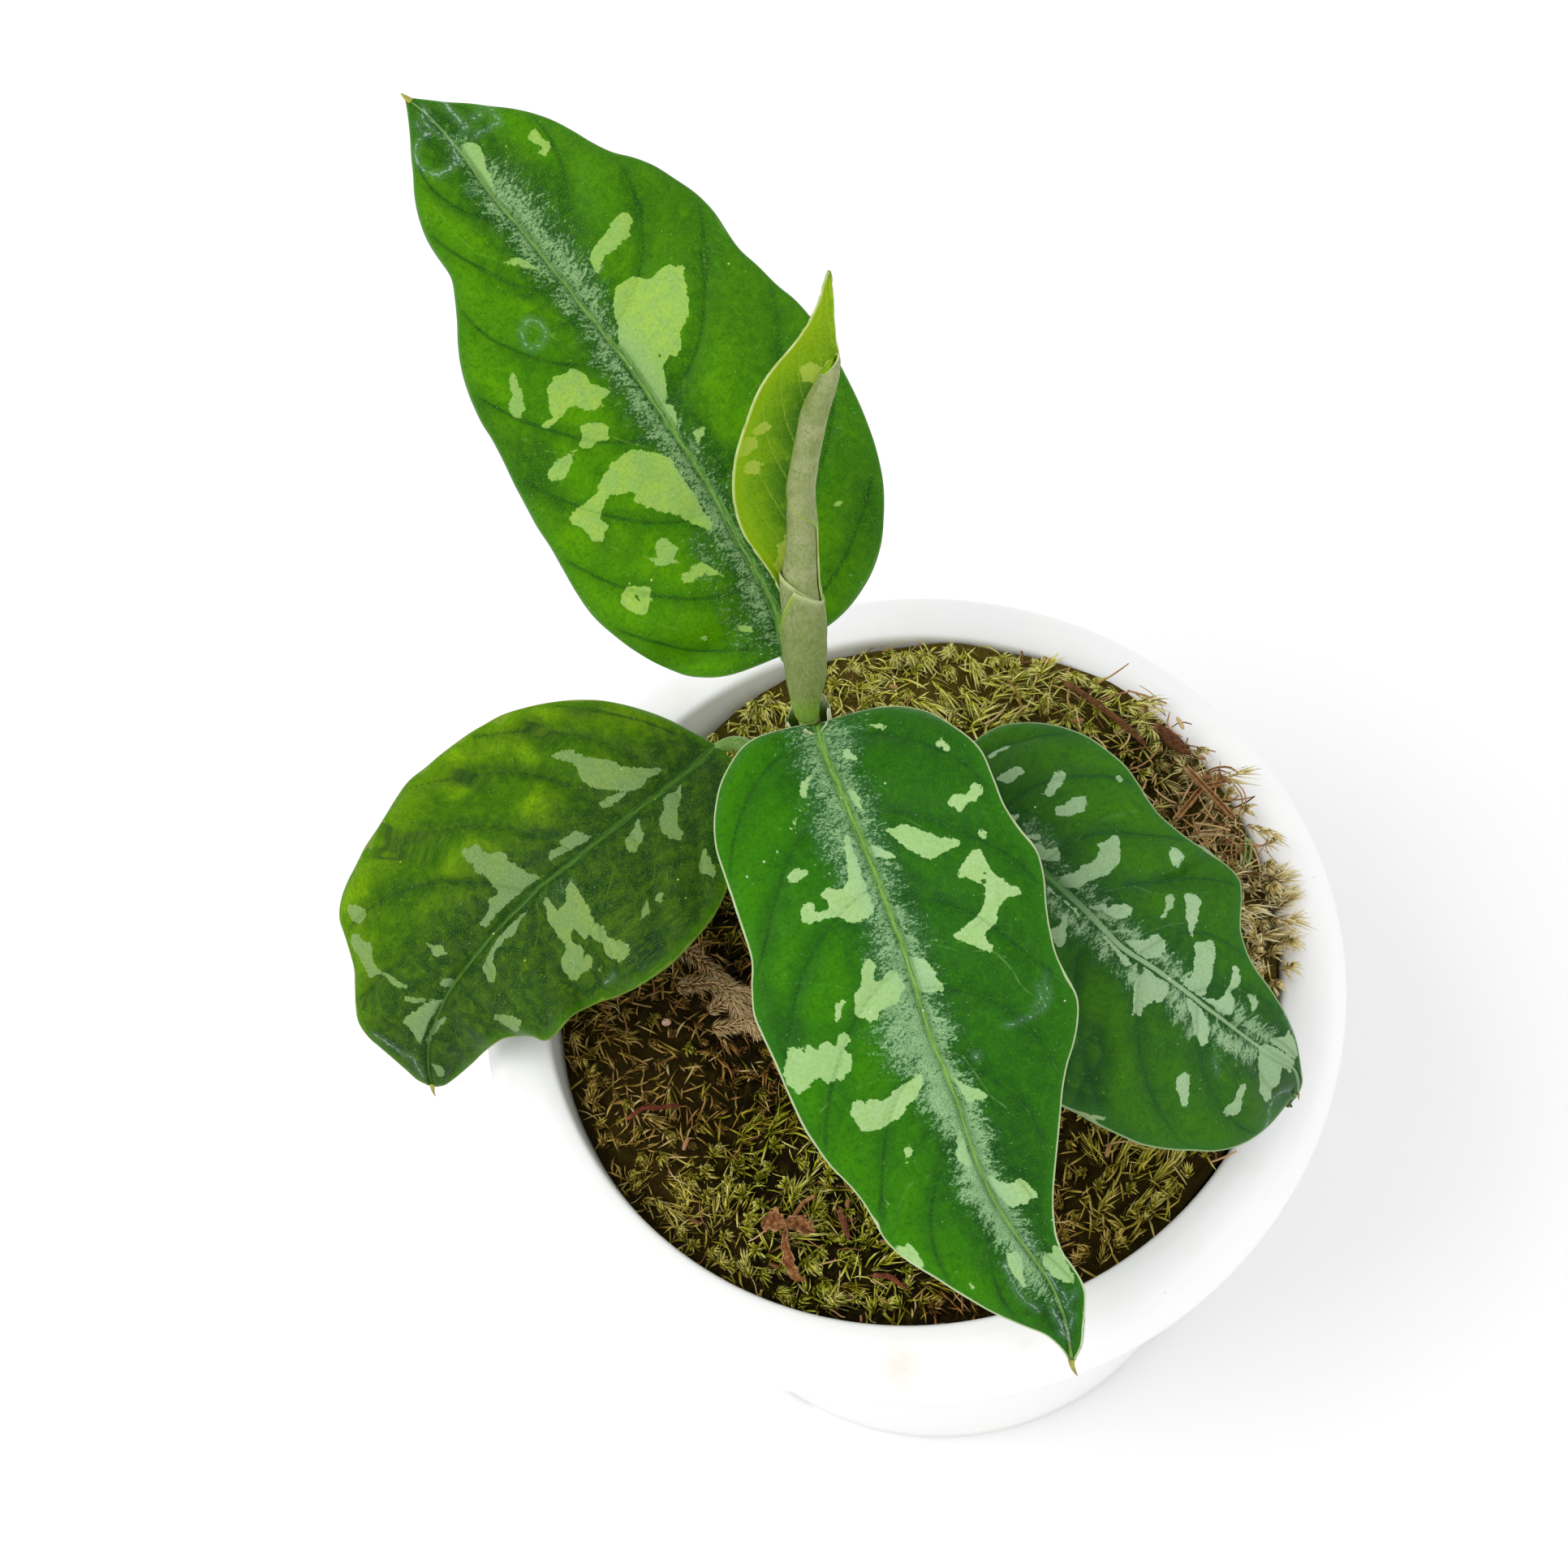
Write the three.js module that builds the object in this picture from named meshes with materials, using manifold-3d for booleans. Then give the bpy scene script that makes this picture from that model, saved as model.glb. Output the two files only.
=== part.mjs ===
// Potted bicolor aglaonema: a young foliage plant with four open leaves and one
// leaf still unrolling, in a round white plastic pot filled with potting mix and
// topped with live cushion moss. Millimetres, +Z up. The origin is the centre of
// the pot's base, on the surface that the pot stands on.

import * as THREE from 'three';
import { mergeVertices } from 'three/addons/utils/BufferGeometryUtils.js';
import Module from 'manifold-3d';

const wasm = await Module();
wasm.setup();

// ---------------------------------------------------------------- dimensions
const GAP = 0.3;            // clearance between solids that lie against each other
const POT_H = 88;           // pot height
const POT_R = 55;           // outside radius at the rim's lower bead
const RIM_IN_R = 46.4;      // mouth radius
const BASE_R = 37.1;        // radius of the base
const WALL_IN_R0 = 35.2;    // inside radius at the floor
const FLOOR_IN = 2.0;       // floor thickness
const WALL_SLOPE = (RIM_IN_R - WALL_IN_R0) / (POT_H - 1 - FLOOR_IN);
const POT_SEG = 48;
const HOLE_R = 4;           // drainage holes
const HOLE_PCR = 25;
const HOLES = 6;
const MIX_TOP = 76;         // top of the potting mix, under the moss
const MOSS_EDGE_R = 45.6;
const LEAF_T = 0.8;         // blade thickness as a solid

// Leaf blades. Each row is one station from base to tip: the midrib point, the
// margin on the left half and the margin on the right half.
const LEAF_A = [
  [[-8.1, 18.2, 147], [-8.1, 18.2, 147], [-8.1, 18.2, 147]],
  [[-8.1, 20.5, 148.1], [-14.5, 17.2, 146.6], [-1.5, 20.5, 148.9]],
  [[-8.3, 22.4, 149.5], [-18.8, 17.7, 146.7], [2.3, 23.2, 150.5]],
  [[-8.8, 24.3, 151.2], [-22.4, 19.3, 147.6], [4.9, 26.6, 152.1]],
  [[-9.5, 26.1, 152.8], [-25, 19, 153.5], [6.1, 29.7, 154.5]],
  [[-10.3, 28, 154.3], [-27.1, 20.3, 156.6], [6.7, 32.7, 156.8]],
  [[-11.1, 29.8, 155.7], [-28.9, 22.3, 158.5], [6.6, 35.4, 159.5]],
  [[-11.8, 31.8, 157.1], [-30.1, 24.4, 160.5], [6.1, 38.4, 161.3]],
  [[-12.5, 33.7, 158.4], [-31, 26.5, 162.5], [5.4, 41.4, 162.6]],
  [[-13.3, 35.5, 159.7], [-31.9, 28.7, 164.4], [4.5, 44.4, 163.8]],
  [[-14.2, 37.5, 161], [-32.9, 30.8, 165.8], [3.6, 47.3, 164.8]],
  [[-15.1, 39.4, 162.3], [-33.7, 33.1, 167], [2.4, 49.8, 166.2]],
  [[-16.1, 41.3, 163.4], [-34.5, 35.4, 168.3], [0.8, 52.1, 167.7]],
  [[-17, 43.2, 164.6], [-35.1, 37.4, 169.7], [-1, 53.8, 169.1]],
  [[-17.9, 45.1, 165.7], [-35.8, 39.4, 171.3], [-2.7, 55.8, 170.6]],
  [[-18.9, 47.1, 166.8], [-36.6, 41.1, 172.9], [-4.4, 57.6, 172]],
  [[-19.9, 49.1, 167.9], [-37.2, 43.2, 174.1], [-5.6, 59.9, 173.1]],
  [[-21, 50.9, 168.9], [-37.6, 45.5, 174.9], [-6.7, 62.9, 173.1]],
  [[-22.1, 52.8, 169.9], [-37.8, 48.2, 175.1], [-8.2, 65.7, 172.9]],
  [[-23.3, 54.8, 170.8], [-37.7, 50.9, 175.1], [-10.1, 67.1, 174.3]],
  [[-24.3, 56.7, 171.7], [-37.4, 53.6, 175.1], [-12.1, 67.9, 176.5]],
  [[-25.5, 58.7, 172.6], [-37.2, 56.2, 175.4], [-14.3, 68.8, 177.7]],
  [[-26.6, 60.7, 173.4], [-37.1, 58.1, 176.6], [-16.6, 69.9, 178]],
  [[-27.7, 62.8, 174.2], [-37.7, 59.6, 178], [-18.7, 71.6, 178.2]],
  [[-28.8, 64.7, 175], [-38.6, 61.7, 178.7], [-20.6, 73.7, 178.1]],
  [[-30.1, 66.8, 175.6], [-39.2, 64, 179], [-22.6, 75.6, 178.1]],
  [[-31.3, 68.9, 176.2], [-39.5, 66.6, 179.1], [-24.8, 77, 178.3]],
  [[-32.3, 71.1, 176.8], [-39.5, 69.1, 179.1], [-27.1, 78.1, 178.4]],
  [[-33.3, 73.4, 177.4], [-39.3, 71.7, 179], [-29.5, 79, 178.4]],
  [[-34.5, 75.7, 177.8], [-39.2, 74.4, 178.8], [-31.8, 79.9, 178.4]],
  [[-35.8, 78.1, 178], [-39, 77.1, 178.6], [-34.2, 80.7, 178.3]],
  [[-37.2, 80.3, 178.2], [-38.9, 79.8, 178.4], [-36.6, 81.6, 178.3]],
  [[-38.9, 82.5, 178.2], [-38.9, 82.5, 178.2], [-38.9, 82.5, 178.2]],
];
const LEAF_B = [
  [[-18.3, 24.9, 111.5], [-18.3, 24.9, 111.5], [-18.3, 24.9, 111.5]],
  [[-19.9, 23.7, 112], [-15.9, 20.6, 111.5], [-23.5, 29.1, 112.6]],
  [[-21.4, 22.5, 112.6], [-16.2, 16.3, 112.5], [-27.4, 31.3, 113.4]],
  [[-23, 21.3, 113.1], [-16.8, 12.8, 113.4], [-31, 32.8, 113.8]],
  [[-24.6, 20.3, 113.4], [-17.7, 9.7, 114.2], [-34.6, 33.9, 113.4]],
  [[-26.2, 19.3, 113.5], [-18.7, 6.9, 114.7], [-38, 34.6, 112.7]],
  [[-27.7, 18.5, 113.5], [-20.1, 4.8, 115], [-41.2, 34.9, 112]],
  [[-29.4, 17.7, 113.4], [-21.4, 2.7, 115.2], [-44.3, 34.8, 111.4]],
  [[-31, 16.8, 113.4], [-22.8, 0.9, 115.2], [-47.1, 34, 110.9]],
  [[-32.5, 16, 113.3], [-24.4, -0.6, 115.1], [-50, 33.8, 108.8]],
  [[-34.1, 15.1, 113.2], [-26, -1.8, 114.9], [-52.5, 32.9, 108]],
  [[-35.7, 14.3, 113], [-27.6, -2.8, 114.3], [-55, 31.8, 107.1]],
  [[-37.3, 13.4, 112.8], [-29.3, -3.7, 113.7], [-57.4, 30.8, 106.3]],
  [[-38.8, 12.7, 112.3], [-31.1, -4.4, 113.3], [-59.4, 29.4, 105.1]],
  [[-40.5, 12.1, 111.6], [-32.8, -4.8, 112.4], [-61.1, 27.7, 104.4]],
  [[-42.2, 11.6, 110.8], [-34.6, -4.3, 109.6], [-62.8, 26, 103.7]],
  [[-43.8, 11, 109.9], [-36.5, -4, 107.8], [-64.6, 24.6, 102.5]],
  [[-45.2, 10.3, 109], [-38.4, -3.8, 106.8], [-66.1, 22.9, 101.6]],
  [[-46.8, 9.6, 108.2], [-40.1, -4, 106.3], [-67.6, 21.1, 100.9]],
  [[-48.3, 8.9, 107.2], [-41.7, -4.7, 106.8], [-68.8, 19.2, 100.1]],
  [[-49.8, 8.2, 106.2], [-43.2, -5.6, 106.7], [-69.4, 17.1, 99.4]],
  [[-51.3, 7.4, 105.2], [-44.7, -5.9, 104.3], [-69.1, 14.8, 99.1]],
  [[-52.8, 6.6, 104], [-46.2, -5.7, 102.4], [-68.8, 12.5, 98.7]],
  [[-54.2, 5.8, 102.8], [-47.7, -4.6, 101.6], [-68.7, 10.4, 97.7]],
  [[-55.6, 5.1, 101.5], [-49.6, -2.9, 98.4], [-69.2, 8.9, 95.5]],
  [[-57, 4.3, 100.1], [-51.4, -2.4, 97.4], [-69.6, 7.2, 94.1]],
  [[-58.2, 3.4, 98.5], [-53, -2.3, 95.8], [-69.7, 5.4, 92.8]],
  [[-59.3, 2.5, 96.7], [-54.8, -1.5, 91.6], [-68.9, 3.6, 91.8]],
  [[-60.4, 1.6, 94.8], [-56.3, -1.6, 89.4], [-67.7, 2.2, 90.9]],
  [[-61.3, 0.6, 92.7], [-57.9, -1.5, 86.8], [-66.4, 0.9, 89.4]],
  [[-61.9, -0.4, 90.4], [-59.4, -1.8, 85.4], [-65.2, -0.3, 87.9]],
  [[-62.3, -1.3, 87.8], [-60.9, -2.3, 85], [-64, -1.5, 86.5]],
  [[-62.4, -2.2, 85], [-62.4, -2.2, 85], [-62.4, -2.2, 85]],
];
const LEAF_C = [
  [[-6.2, 12.4, 139.5], [-6.2, 12.5, 139.5], [-6, 12.3, 139.5]],
  [[-6, 9.3, 140], [-13.7, 12, 139.5], [1.3, 12.9, 139.5]],
  [[-5.7, 6.4, 140.7], [-17.7, 7.9, 140.5], [6.2, 11.1, 140.4]],
  [[-5.1, 3.4, 141.3], [-19.6, 3.1, 141.7], [9.4, 7.1, 142.8]],
  [[-4.6, 0.6, 141.5], [-20.3, -1.8, 142.9], [11.7, 3.4, 143.6]],
  [[-4.1, -2.1, 141.4], [-19.9, -6.1, 143.5], [12.5, -0.6, 143.8]],
  [[-3.6, -4.5, 141.1], [-19.4, -9.6, 143.1], [13.1, -4.2, 143.4]],
  [[-3.1, -7.1, 140.7], [-19, -12.5, 141.3], [14.3, -7, 142.3]],
  [[-2.7, -9.6, 140.3], [-18.7, -15.6, 140.2], [15.8, -9.4, 140.6]],
  [[-2.3, -12, 139.8], [-19.3, -18.9, 140], [16, -12.4, 139.7]],
  [[-1.9, -14.4, 139.3], [-19.6, -22.1, 139.8], [15.6, -15.5, 139.4]],
  [[-1.5, -16.8, 138.6], [-19, -24.8, 138.8], [15.4, -18.6, 139.2]],
  [[-1.2, -19.2, 137.7], [-18.3, -27.3, 137.4], [15.5, -21.5, 138.7]],
  [[-0.9, -21.4, 136.8], [-17.7, -30, 136.4], [16.1, -24, 137.9]],
  [[-0.7, -23.6, 135.7], [-17.1, -32.5, 135.5], [16.9, -26.3, 136.2]],
  [[-0.4, -25.9, 134.6], [-16.4, -34.7, 134], [16.5, -28.6, 135.1]],
  [[0, -28.1, 133.5], [-15.4, -36.6, 131.8], [15.6, -30.6, 133.5]],
  [[0.5, -30.2, 132.4], [-14.3, -38.4, 129.7], [14.4, -32.5, 131.8]],
  [[1, -32.4, 131.1], [-12.8, -40.3, 128.3], [13.5, -34.4, 130.1]],
  [[1.4, -34.5, 129.8], [-11.6, -42.2, 127], [12.8, -36.4, 128.6]],
  [[1.6, -36.6, 128.5], [-10.7, -44.4, 125.8], [12.1, -38.6, 127.4]],
  [[2, -38.7, 127], [-9.9, -46.5, 124.8], [11.4, -40.7, 126.4]],
  [[2.4, -40.8, 125.6], [-8.5, -48.4, 124], [10.7, -42.8, 125.3]],
  [[3, -42.9, 124.1], [-6.8, -50, 123.3], [10.1, -44.7, 123.7]],
  [[3.7, -44.8, 122.5], [-4.9, -51.5, 122.5], [9.7, -46.7, 122]],
  [[4.7, -46.7, 120.9], [-3.2, -52.8, 121.2], [9.6, -48.4, 119.8]],
  [[5.8, -48.6, 119.2], [-1.4, -54, 119.6], [10.1, -50.1, 117.6]],
  [[6.9, -50.3, 117.4], [0.4, -54.9, 117.2], [11.2, -51.7, 115.7]],
  [[7.9, -52.2, 115.5], [2.3, -55.6, 114.8], [11.8, -53.5, 114.5]],
  [[8.5, -54.2, 113.5], [4.4, -56.4, 112.7], [11.4, -55.6, 113.4]],
  [[8.9, -56.2, 111.4], [6.3, -57.2, 111.1], [10.7, -57.4, 112.1]],
  [[8.9, -58, 109.3], [7.8, -58.5, 109.2], [10.1, -58.9, 109.7]],
  [[8.8, -60, 107], [8.8, -60, 107], [8.8, -60, 107]],
];
const LEAF_D = [
  [[7.4, 9, 123], [7.4, 9, 123], [7.4, 9, 123]],
  [[8.4, 7.1, 123.5], [2.9, 4.1, 123.4], [11.6, 13.2, 122.9]],
  [[9.4, 5.4, 124.1], [1.3, -0.8, 124.7], [15.2, 14.9, 123.1]],
  [[10.5, 3.5, 124.8], [0.6, -5.1, 125.9], [18.4, 14.3, 124.3]],
  [[11.5, 1.7, 125.3], [0.4, -9.1, 126.8], [21.2, 12.8, 125.8]],
  [[12.6, 0.1, 125.5], [0.6, -12.6, 127.2], [23.7, 10.8, 127.2]],
  [[13.7, -1.4, 125.7], [1.1, -15.8, 127.6], [25.7, 8.8, 128]],
  [[14.8, -3, 125.8], [1.8, -18.8, 127.7], [27.4, 6.5, 128.4]],
  [[15.9, -4.6, 125.9], [2.7, -21.4, 127.4], [28.9, 4.6, 127.9]],
  [[16.9, -6.1, 125.9], [3.8, -23.5, 126.3], [30, 2.8, 126.6]],
  [[18, -7.6, 126], [5, -25.4, 125.1], [30.8, 0.8, 125.9]],
  [[19, -9.2, 126], [6.3, -27.3, 124.2], [31.7, -1.4, 125.7]],
  [[20, -10.7, 125.9], [7.8, -29.1, 123.7], [32.9, -3.4, 126]],
  [[21, -12.2, 125.7], [9.5, -30.7, 123.3], [34.2, -5.5, 126.7]],
  [[21.9, -13.6, 125.4], [11.2, -32.2, 122.9], [35.6, -7.3, 127]],
  [[22.9, -15.1, 124.9], [13, -33.3, 121.8], [37.3, -7.3, 123.3]],
  [[23.9, -16.5, 124.4], [14.8, -34.1, 120], [38.8, -8.4, 121.9]],
  [[25.1, -17.6, 123.8], [16.5, -35.2, 118.8], [39.8, -9.8, 120.7]],
  [[26.4, -18.7, 123.3], [18.2, -36.1, 117.5], [39.6, -11.7, 120.3]],
  [[27.7, -19.8, 122.6], [20, -37, 116.1], [39.1, -13.7, 120.2]],
  [[28.8, -20.8, 121.9], [21.8, -37.9, 115.1], [38.6, -15.7, 120.1]],
  [[30.1, -22, 121.1], [23.8, -38.4, 114], [38.6, -17.7, 120.1]],
  [[31.3, -23, 120.1], [25.8, -38.7, 112.9], [38.9, -19.5, 119.7]],
  [[32.5, -24.1, 119.1], [27.9, -38.8, 111.8], [39.6, -21, 118.6]],
  [[33.7, -25, 118], [30, -38.9, 110.5], [40.5, -22.2, 117.1]],
  [[35, -26, 116.7], [32.1, -38.6, 109.2], [41.3, -23.3, 115.3]],
  [[36.3, -26.9, 115.2], [34.2, -37.8, 107.6], [42.1, -24.3, 113.1]],
  [[37.6, -27.6, 113.4], [36.3, -36.5, 105.8], [42.7, -25.3, 110.9]],
  [[39, -28.3, 111.4], [38.2, -34.9, 103.9], [43.2, -26.3, 108.4]],
  [[40.5, -28.7, 108.9], [40.1, -32.9, 101.9], [43.4, -27.5, 106.3]],
  [[42.2, -28.9, 105.7], [42, -30.7, 99.8], [43.4, -28.7, 104.5]],
  [[42.9, -29.3, 102], [41.4, -31.2, 98], [43.4, -29.5, 101.6]],
  [[42.9, -29.9, 98], [42.9, -29.9, 98], [42.9, -29.9, 98]],
];

// ------------------------------------------------------------------- helpers
const V = (p) => new THREE.Vector3(p[0], p[1], p[2]);
const wallR = (z) => WALL_IN_R0 + WALL_SLOPE * (z - FLOOR_IN);

function clean(geometry) {
  const g = geometry.clone();
  g.deleteAttribute('normal');
  g.deleteAttribute('uv');
  const m = mergeVertices(g, 1e-4);
  const src = m.index.array, out = [];
  for (let i = 0; i < src.length; i += 3) {
    const [a, b, c] = [src[i], src[i + 1], src[i + 2]];
    if (a !== b && b !== c && a !== c) out.push(a, b, c);
  }
  m.setIndex(out);
  return m;
}

function solid(geometry) {
  const g = clean(geometry);
  const p = g.attributes.position.array, t = Uint32Array.from(g.index.array);
  let vol = 0;
  for (let i = 0; i < t.length; i += 3) {
    const [a, b, c] = [t[i] * 3, t[i + 1] * 3, t[i + 2] * 3];
    vol += p[a] * (p[b + 1] * p[c + 2] - p[b + 2] * p[c + 1])
         - p[a + 1] * (p[b] * p[c + 2] - p[b + 2] * p[c])
         + p[a + 2] * (p[b] * p[c + 1] - p[b + 1] * p[c]);
  }
  if (vol < 0) for (let i = 0; i < t.length; i += 3) [t[i + 1], t[i + 2]] = [t[i + 2], t[i + 1]];
  return new wasm.Manifold(new wasm.Mesh({ numProp: 3, vertProperties: Float32Array.from(p), triVerts: t }));
}

function toGeometry(m) {
  const mesh = m.getMesh(), g = new THREE.BufferGeometry();
  g.setAttribute('position', new THREE.BufferAttribute(Float32Array.from(mesh.vertProperties), 3));
  g.setIndex(Array.from(mesh.triVerts));
  g.computeVertexNormals();
  return g;
}

const join = (...m) => m.reduce((a, b) => a.add(b));
const cut = (m, ...tools) => tools.reduce((a, b) => a.subtract(b), m);

// Swept tube with a radius at each control point [x, y, z, r].
function tube(points, { sides = 10, steps = 3, grow = 0, flat = 1, flatDir = null } = {}) {
  const pts = points.map((p) => p.slice());
  if (grow > 0) {
    const n = pts.length;
    const a = V(pts[0]).sub(V(pts[1])).setLength(grow), b = V(pts[n - 1]).sub(V(pts[n - 2])).setLength(grow);
    pts[0] = [pts[0][0] + a.x, pts[0][1] + a.y, pts[0][2] + a.z, pts[0][3]];
    pts[n - 1] = [pts[n - 1][0] + b.x, pts[n - 1][1] + b.y, pts[n - 1][2] + b.z, pts[n - 1][3]];
  }
  const curve = new THREE.CatmullRomCurve3(pts.map(V), false, 'centripetal');
  const n = (pts.length - 1) * steps;
  let side = null;
  const verts = [], idx = [];
  for (let i = 0; i <= n; i++) {
    const u = i / n, f = u * (pts.length - 1), k = Math.min(Math.floor(f), pts.length - 2), w = f - k;
    const r = pts[k][3] * (1 - w) + pts[k + 1][3] * w + grow;
    const c = curve.getPoint(u), T = curve.getTangent(u).normalize();
    if (!side) side = flatDir ? V(flatDir) : (Math.abs(T.z) < 0.9 ? new THREE.Vector3(0, 0, 1) : new THREE.Vector3(1, 0, 0));
    const N = side.clone().addScaledVector(T, -side.dot(T)).normalize();
    side = N.clone();
    const B = new THREE.Vector3().crossVectors(T, N);
    for (let j = 0; j < sides; j++) {
      const a = (2 * Math.PI * j) / sides;
      const q = c.clone().addScaledVector(N, r * flat * Math.cos(a)).addScaledVector(B, r * Math.sin(a));
      verts.push(q.x, q.y, q.z);
    }
  }
  for (let i = 0; i < n; i++) for (let j = 0; j < sides; j++) {
    const a = i * sides + j, b = i * sides + ((j + 1) % sides), c = a + sides, d = b + sides;
    idx.push(a, b, c, b, d, c);
  }
  for (const [row, flip] of [[0, true], [n, false]]) {
    const o = row * sides;
    for (let j = 1; j < sides - 1; j++) flip ? idx.push(o, o + j + 1, o + j) : idx.push(o, o + j, o + j + 1);
  }
  const g = new THREE.BufferGeometry();
  g.setAttribute('position', new THREE.Float32BufferAttribute(verts, 3));
  g.setIndex(idx);
  return solid(g);
}

// Uniform Catmull-Rom interpolation of station rows.
function column(rows, k, t) {
  const n = rows.length - 1, f = Math.min(Math.max(t, 0), 1) * n, i = Math.min(Math.floor(f), n - 1), w = f - i;
  const at = (j) => rows[Math.min(Math.max(j, 0), n)][k];
  const [p0, p1, p2, p3] = [at(i - 1), at(i), at(i + 1), at(i + 2)], out = [];
  for (let a = 0; a < 3; a++) {
    out.push(0.5 * (2 * p1[a] + (p2[a] - p0[a]) * w + (2 * p0[a] - 5 * p1[a] + 4 * p2[a] - p3[a]) * w * w
      + (3 * p1[a] - p0[a] - 3 * p2[a] + p3[a]) * w * w * w));
  }
  return V(out);
}

// Point of a blade: t runs from base to tip, s from -1 (left margin) to 1.
function bladePoint(rows, t, s) {
  const w = Math.abs(s), m = column(rows, 0, t), e = column(rows, s < 0 ? 1 : 2, t);
  const T = column(rows, 0, Math.min(t + 0.02, 1)).sub(column(rows, 0, Math.max(t - 0.02, 0))).normalize();
  const k = m.clone().add(e).multiplyScalar(0.5).addScaledVector(T, -0.1 * e.distanceTo(m));
  return m.multiplyScalar((1 - w) * (1 - w)).addScaledVector(k, 2 * w * (1 - w)).addScaledVector(e, w * w);
}

function blade(rows, { nt = 22, ns = 4, thick = LEAF_T, crown = 0.05 } = {}) {
  const top = [], bottom = [], t0 = 0.012, t1 = 0.985;
  for (let i = 0; i <= nt; i++) {
    const t = t0 + ((t1 - t0) * i) / nt;
    for (let j = -ns; j <= ns; j++) {
      const s = j / ns, d = 0.01;
      const p = bladePoint(rows, t, s);
      const dt = bladePoint(rows, Math.min(t + d, 1), s).sub(bladePoint(rows, Math.max(t - d, 0), s));
      const ds = bladePoint(rows, t, Math.min(s + 0.05, 1)).sub(bladePoint(rows, t, Math.max(s - 0.05, -1)));
      const N = new THREE.Vector3().crossVectors(ds, dt).normalize();
      if (N.z < 0) N.negate();
      const half = column(rows, s < 0 ? 1 : 2, t).distanceTo(column(rows, 0, t));
      p.addScaledVector(N, crown * half * 4 * Math.abs(s) * (1 - Math.abs(s)));
      top.push(p);
      bottom.push(p.clone().addScaledVector(N, -thick * (1 - 0.35 * s * s)));
    }
  }
  const w = 2 * ns + 1, verts = [], idx = [], off = top.length;
  for (const p of [...top, ...bottom]) verts.push(p.x, p.y, p.z);
  const quad = (a, b, c, d) => idx.push(a, b, c, a, c, d);
  for (let i = 0; i < nt; i++) for (let j = 0; j < w - 1; j++) {
    const a = i * w + j, b = a + 1, c = b + w, d = a + w;
    quad(a, b, c, d);
    quad(off + a, off + d, off + c, off + b);
  }
  for (let i = 0; i < nt; i++) {
    const a = i * w, b = a + w, c = a + w - 1, d = c + w;
    quad(a, b, off + b, off + a);
    quad(d, c, off + c, off + d);
  }
  for (let j = 0; j < w - 1; j++) {
    const a = j, b = j + 1, c = nt * w + j, d = c + 1;
    quad(b, a, off + a, off + b);
    quad(c, d, off + d, off + c);
  }
  const g = new THREE.BufferGeometry();
  g.setAttribute('position', new THREE.Float32BufferAttribute(verts, 3));
  g.setIndex(idx);
  return solid(g);
}

function lathe(profile, seg) {
  return solid(new THREE.LatheGeometry(profile.map(([r, z]) => new THREE.Vector2(r, z)), seg).rotateX(Math.PI / 2));
}

// ----------------------------------------------------------------------- pot
// One moulded shell: flat centre and ring on the ground, a raised annulus with
// the drainage holes between them, a tapered wall and a convex rolled rim that
// is open underneath.
let pot = lathe([
  [0, 0], [19, 0], [19.8, 1.6], [30.2, 1.6], [31, 0], [BASE_R - 0.7, 0], [BASE_R, 0.7],
  [47.4, 79], [47.6, 85.4], [51.6, 85.0], [53.0, 83.2], [53.3, 80.2],
  [54.5, 80.2], [POT_R, 80.6], [POT_R, 82.0], [54.6, 82.4], [54.3, 83.8], [53.2, 85.8],
  [51.4, 87.2], [49.2, 87.95], [47.4, POT_H], [46.6, 87.7], [RIM_IN_R, 87.0],
  [wallR(FLOOR_IN + 0.3), FLOOR_IN + 0.3], [31.6, 1.95], [30.6, 3.4], [19.4, 3.4], [18.4, 1.95], [0, 1.95],
], POT_SEG);
for (let i = 0; i < HOLES; i++) {
  const a = (2 * Math.PI * (i + 0.5)) / HOLES;
  pot = pot.subtract(solid(new THREE.CylinderGeometry(HOLE_R, HOLE_R, 8, 14)
    .rotateX(Math.PI / 2).translate(HOLE_PCR * Math.cos(a), HOLE_PCR * Math.sin(a), 2)));
}
for (let i = 0; i < 4; i++) {
  pot = pot.subtract(solid(new THREE.BoxGeometry(10, 5, 1.6).translate(35, 0, 0).rotateZ((Math.PI * i) / 2 + Math.PI / 4)));
}

// --------------------------------------------------------- stem and its roots
const STEM = [[-4.6, 7.6, 66, 4.4], [-4.8, 8.1, 74, 4.9], [-5.2, 9.0, 84, 4.5], [-5.6, 10.0, 94, 3.9], [-5.8, 10.8, 103, 3.3], [-5.8, 11.3, 110, 2.5]];
const stem = tube(STEM, { sides: 12 });
const stemClear = tube(STEM, { sides: 12, grow: GAP });

const ROOTS = [
  [[-4.6, 7.6, 63, 1.6], [6, 10, 58, 1.4], [18, 14, 46, 1.1], [26, 18, 30, 0.8], [27, 20, 16, 0.5]],
  [[-4.6, 7.6, 63, 1.6], [-2, 18, 57, 1.4], [4, 29, 46, 1.1], [6, 33, 30, 0.8], [3, 31, 14, 0.5]],
  [[-4.6, 7.6, 62, 1.6], [-15, 13, 56, 1.4], [-26, 19, 44, 1.0], [-29, 21, 28, 0.7], [-25, 19, 15, 0.5]],
  [[-4.6, 7.6, 62, 1.6], [-14, 1, 55, 1.3], [-26, -6, 44, 1.0], [-31, -9, 28, 0.7], [-28, -12, 14, 0.5]],
  [[-4.6, 7.6, 62, 1.6], [-6, -6, 55, 1.3], [-10, -22, 43, 1.0], [-13, -31, 28, 0.7], [-10, -30, 13, 0.5]],
  [[-4.6, 7.6, 63, 1.6], [5, -4, 55, 1.3], [15, -16, 44, 1.0], [20, -24, 29, 0.7], [19, -27, 15, 0.5]],
  [[-4.6, 7.6, 61, 1.7], [-3, 6, 48, 1.4], [0, 2, 34, 1.1], [-2, -3, 20, 0.8], [3, -6, 9, 0.5]],
];
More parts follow.
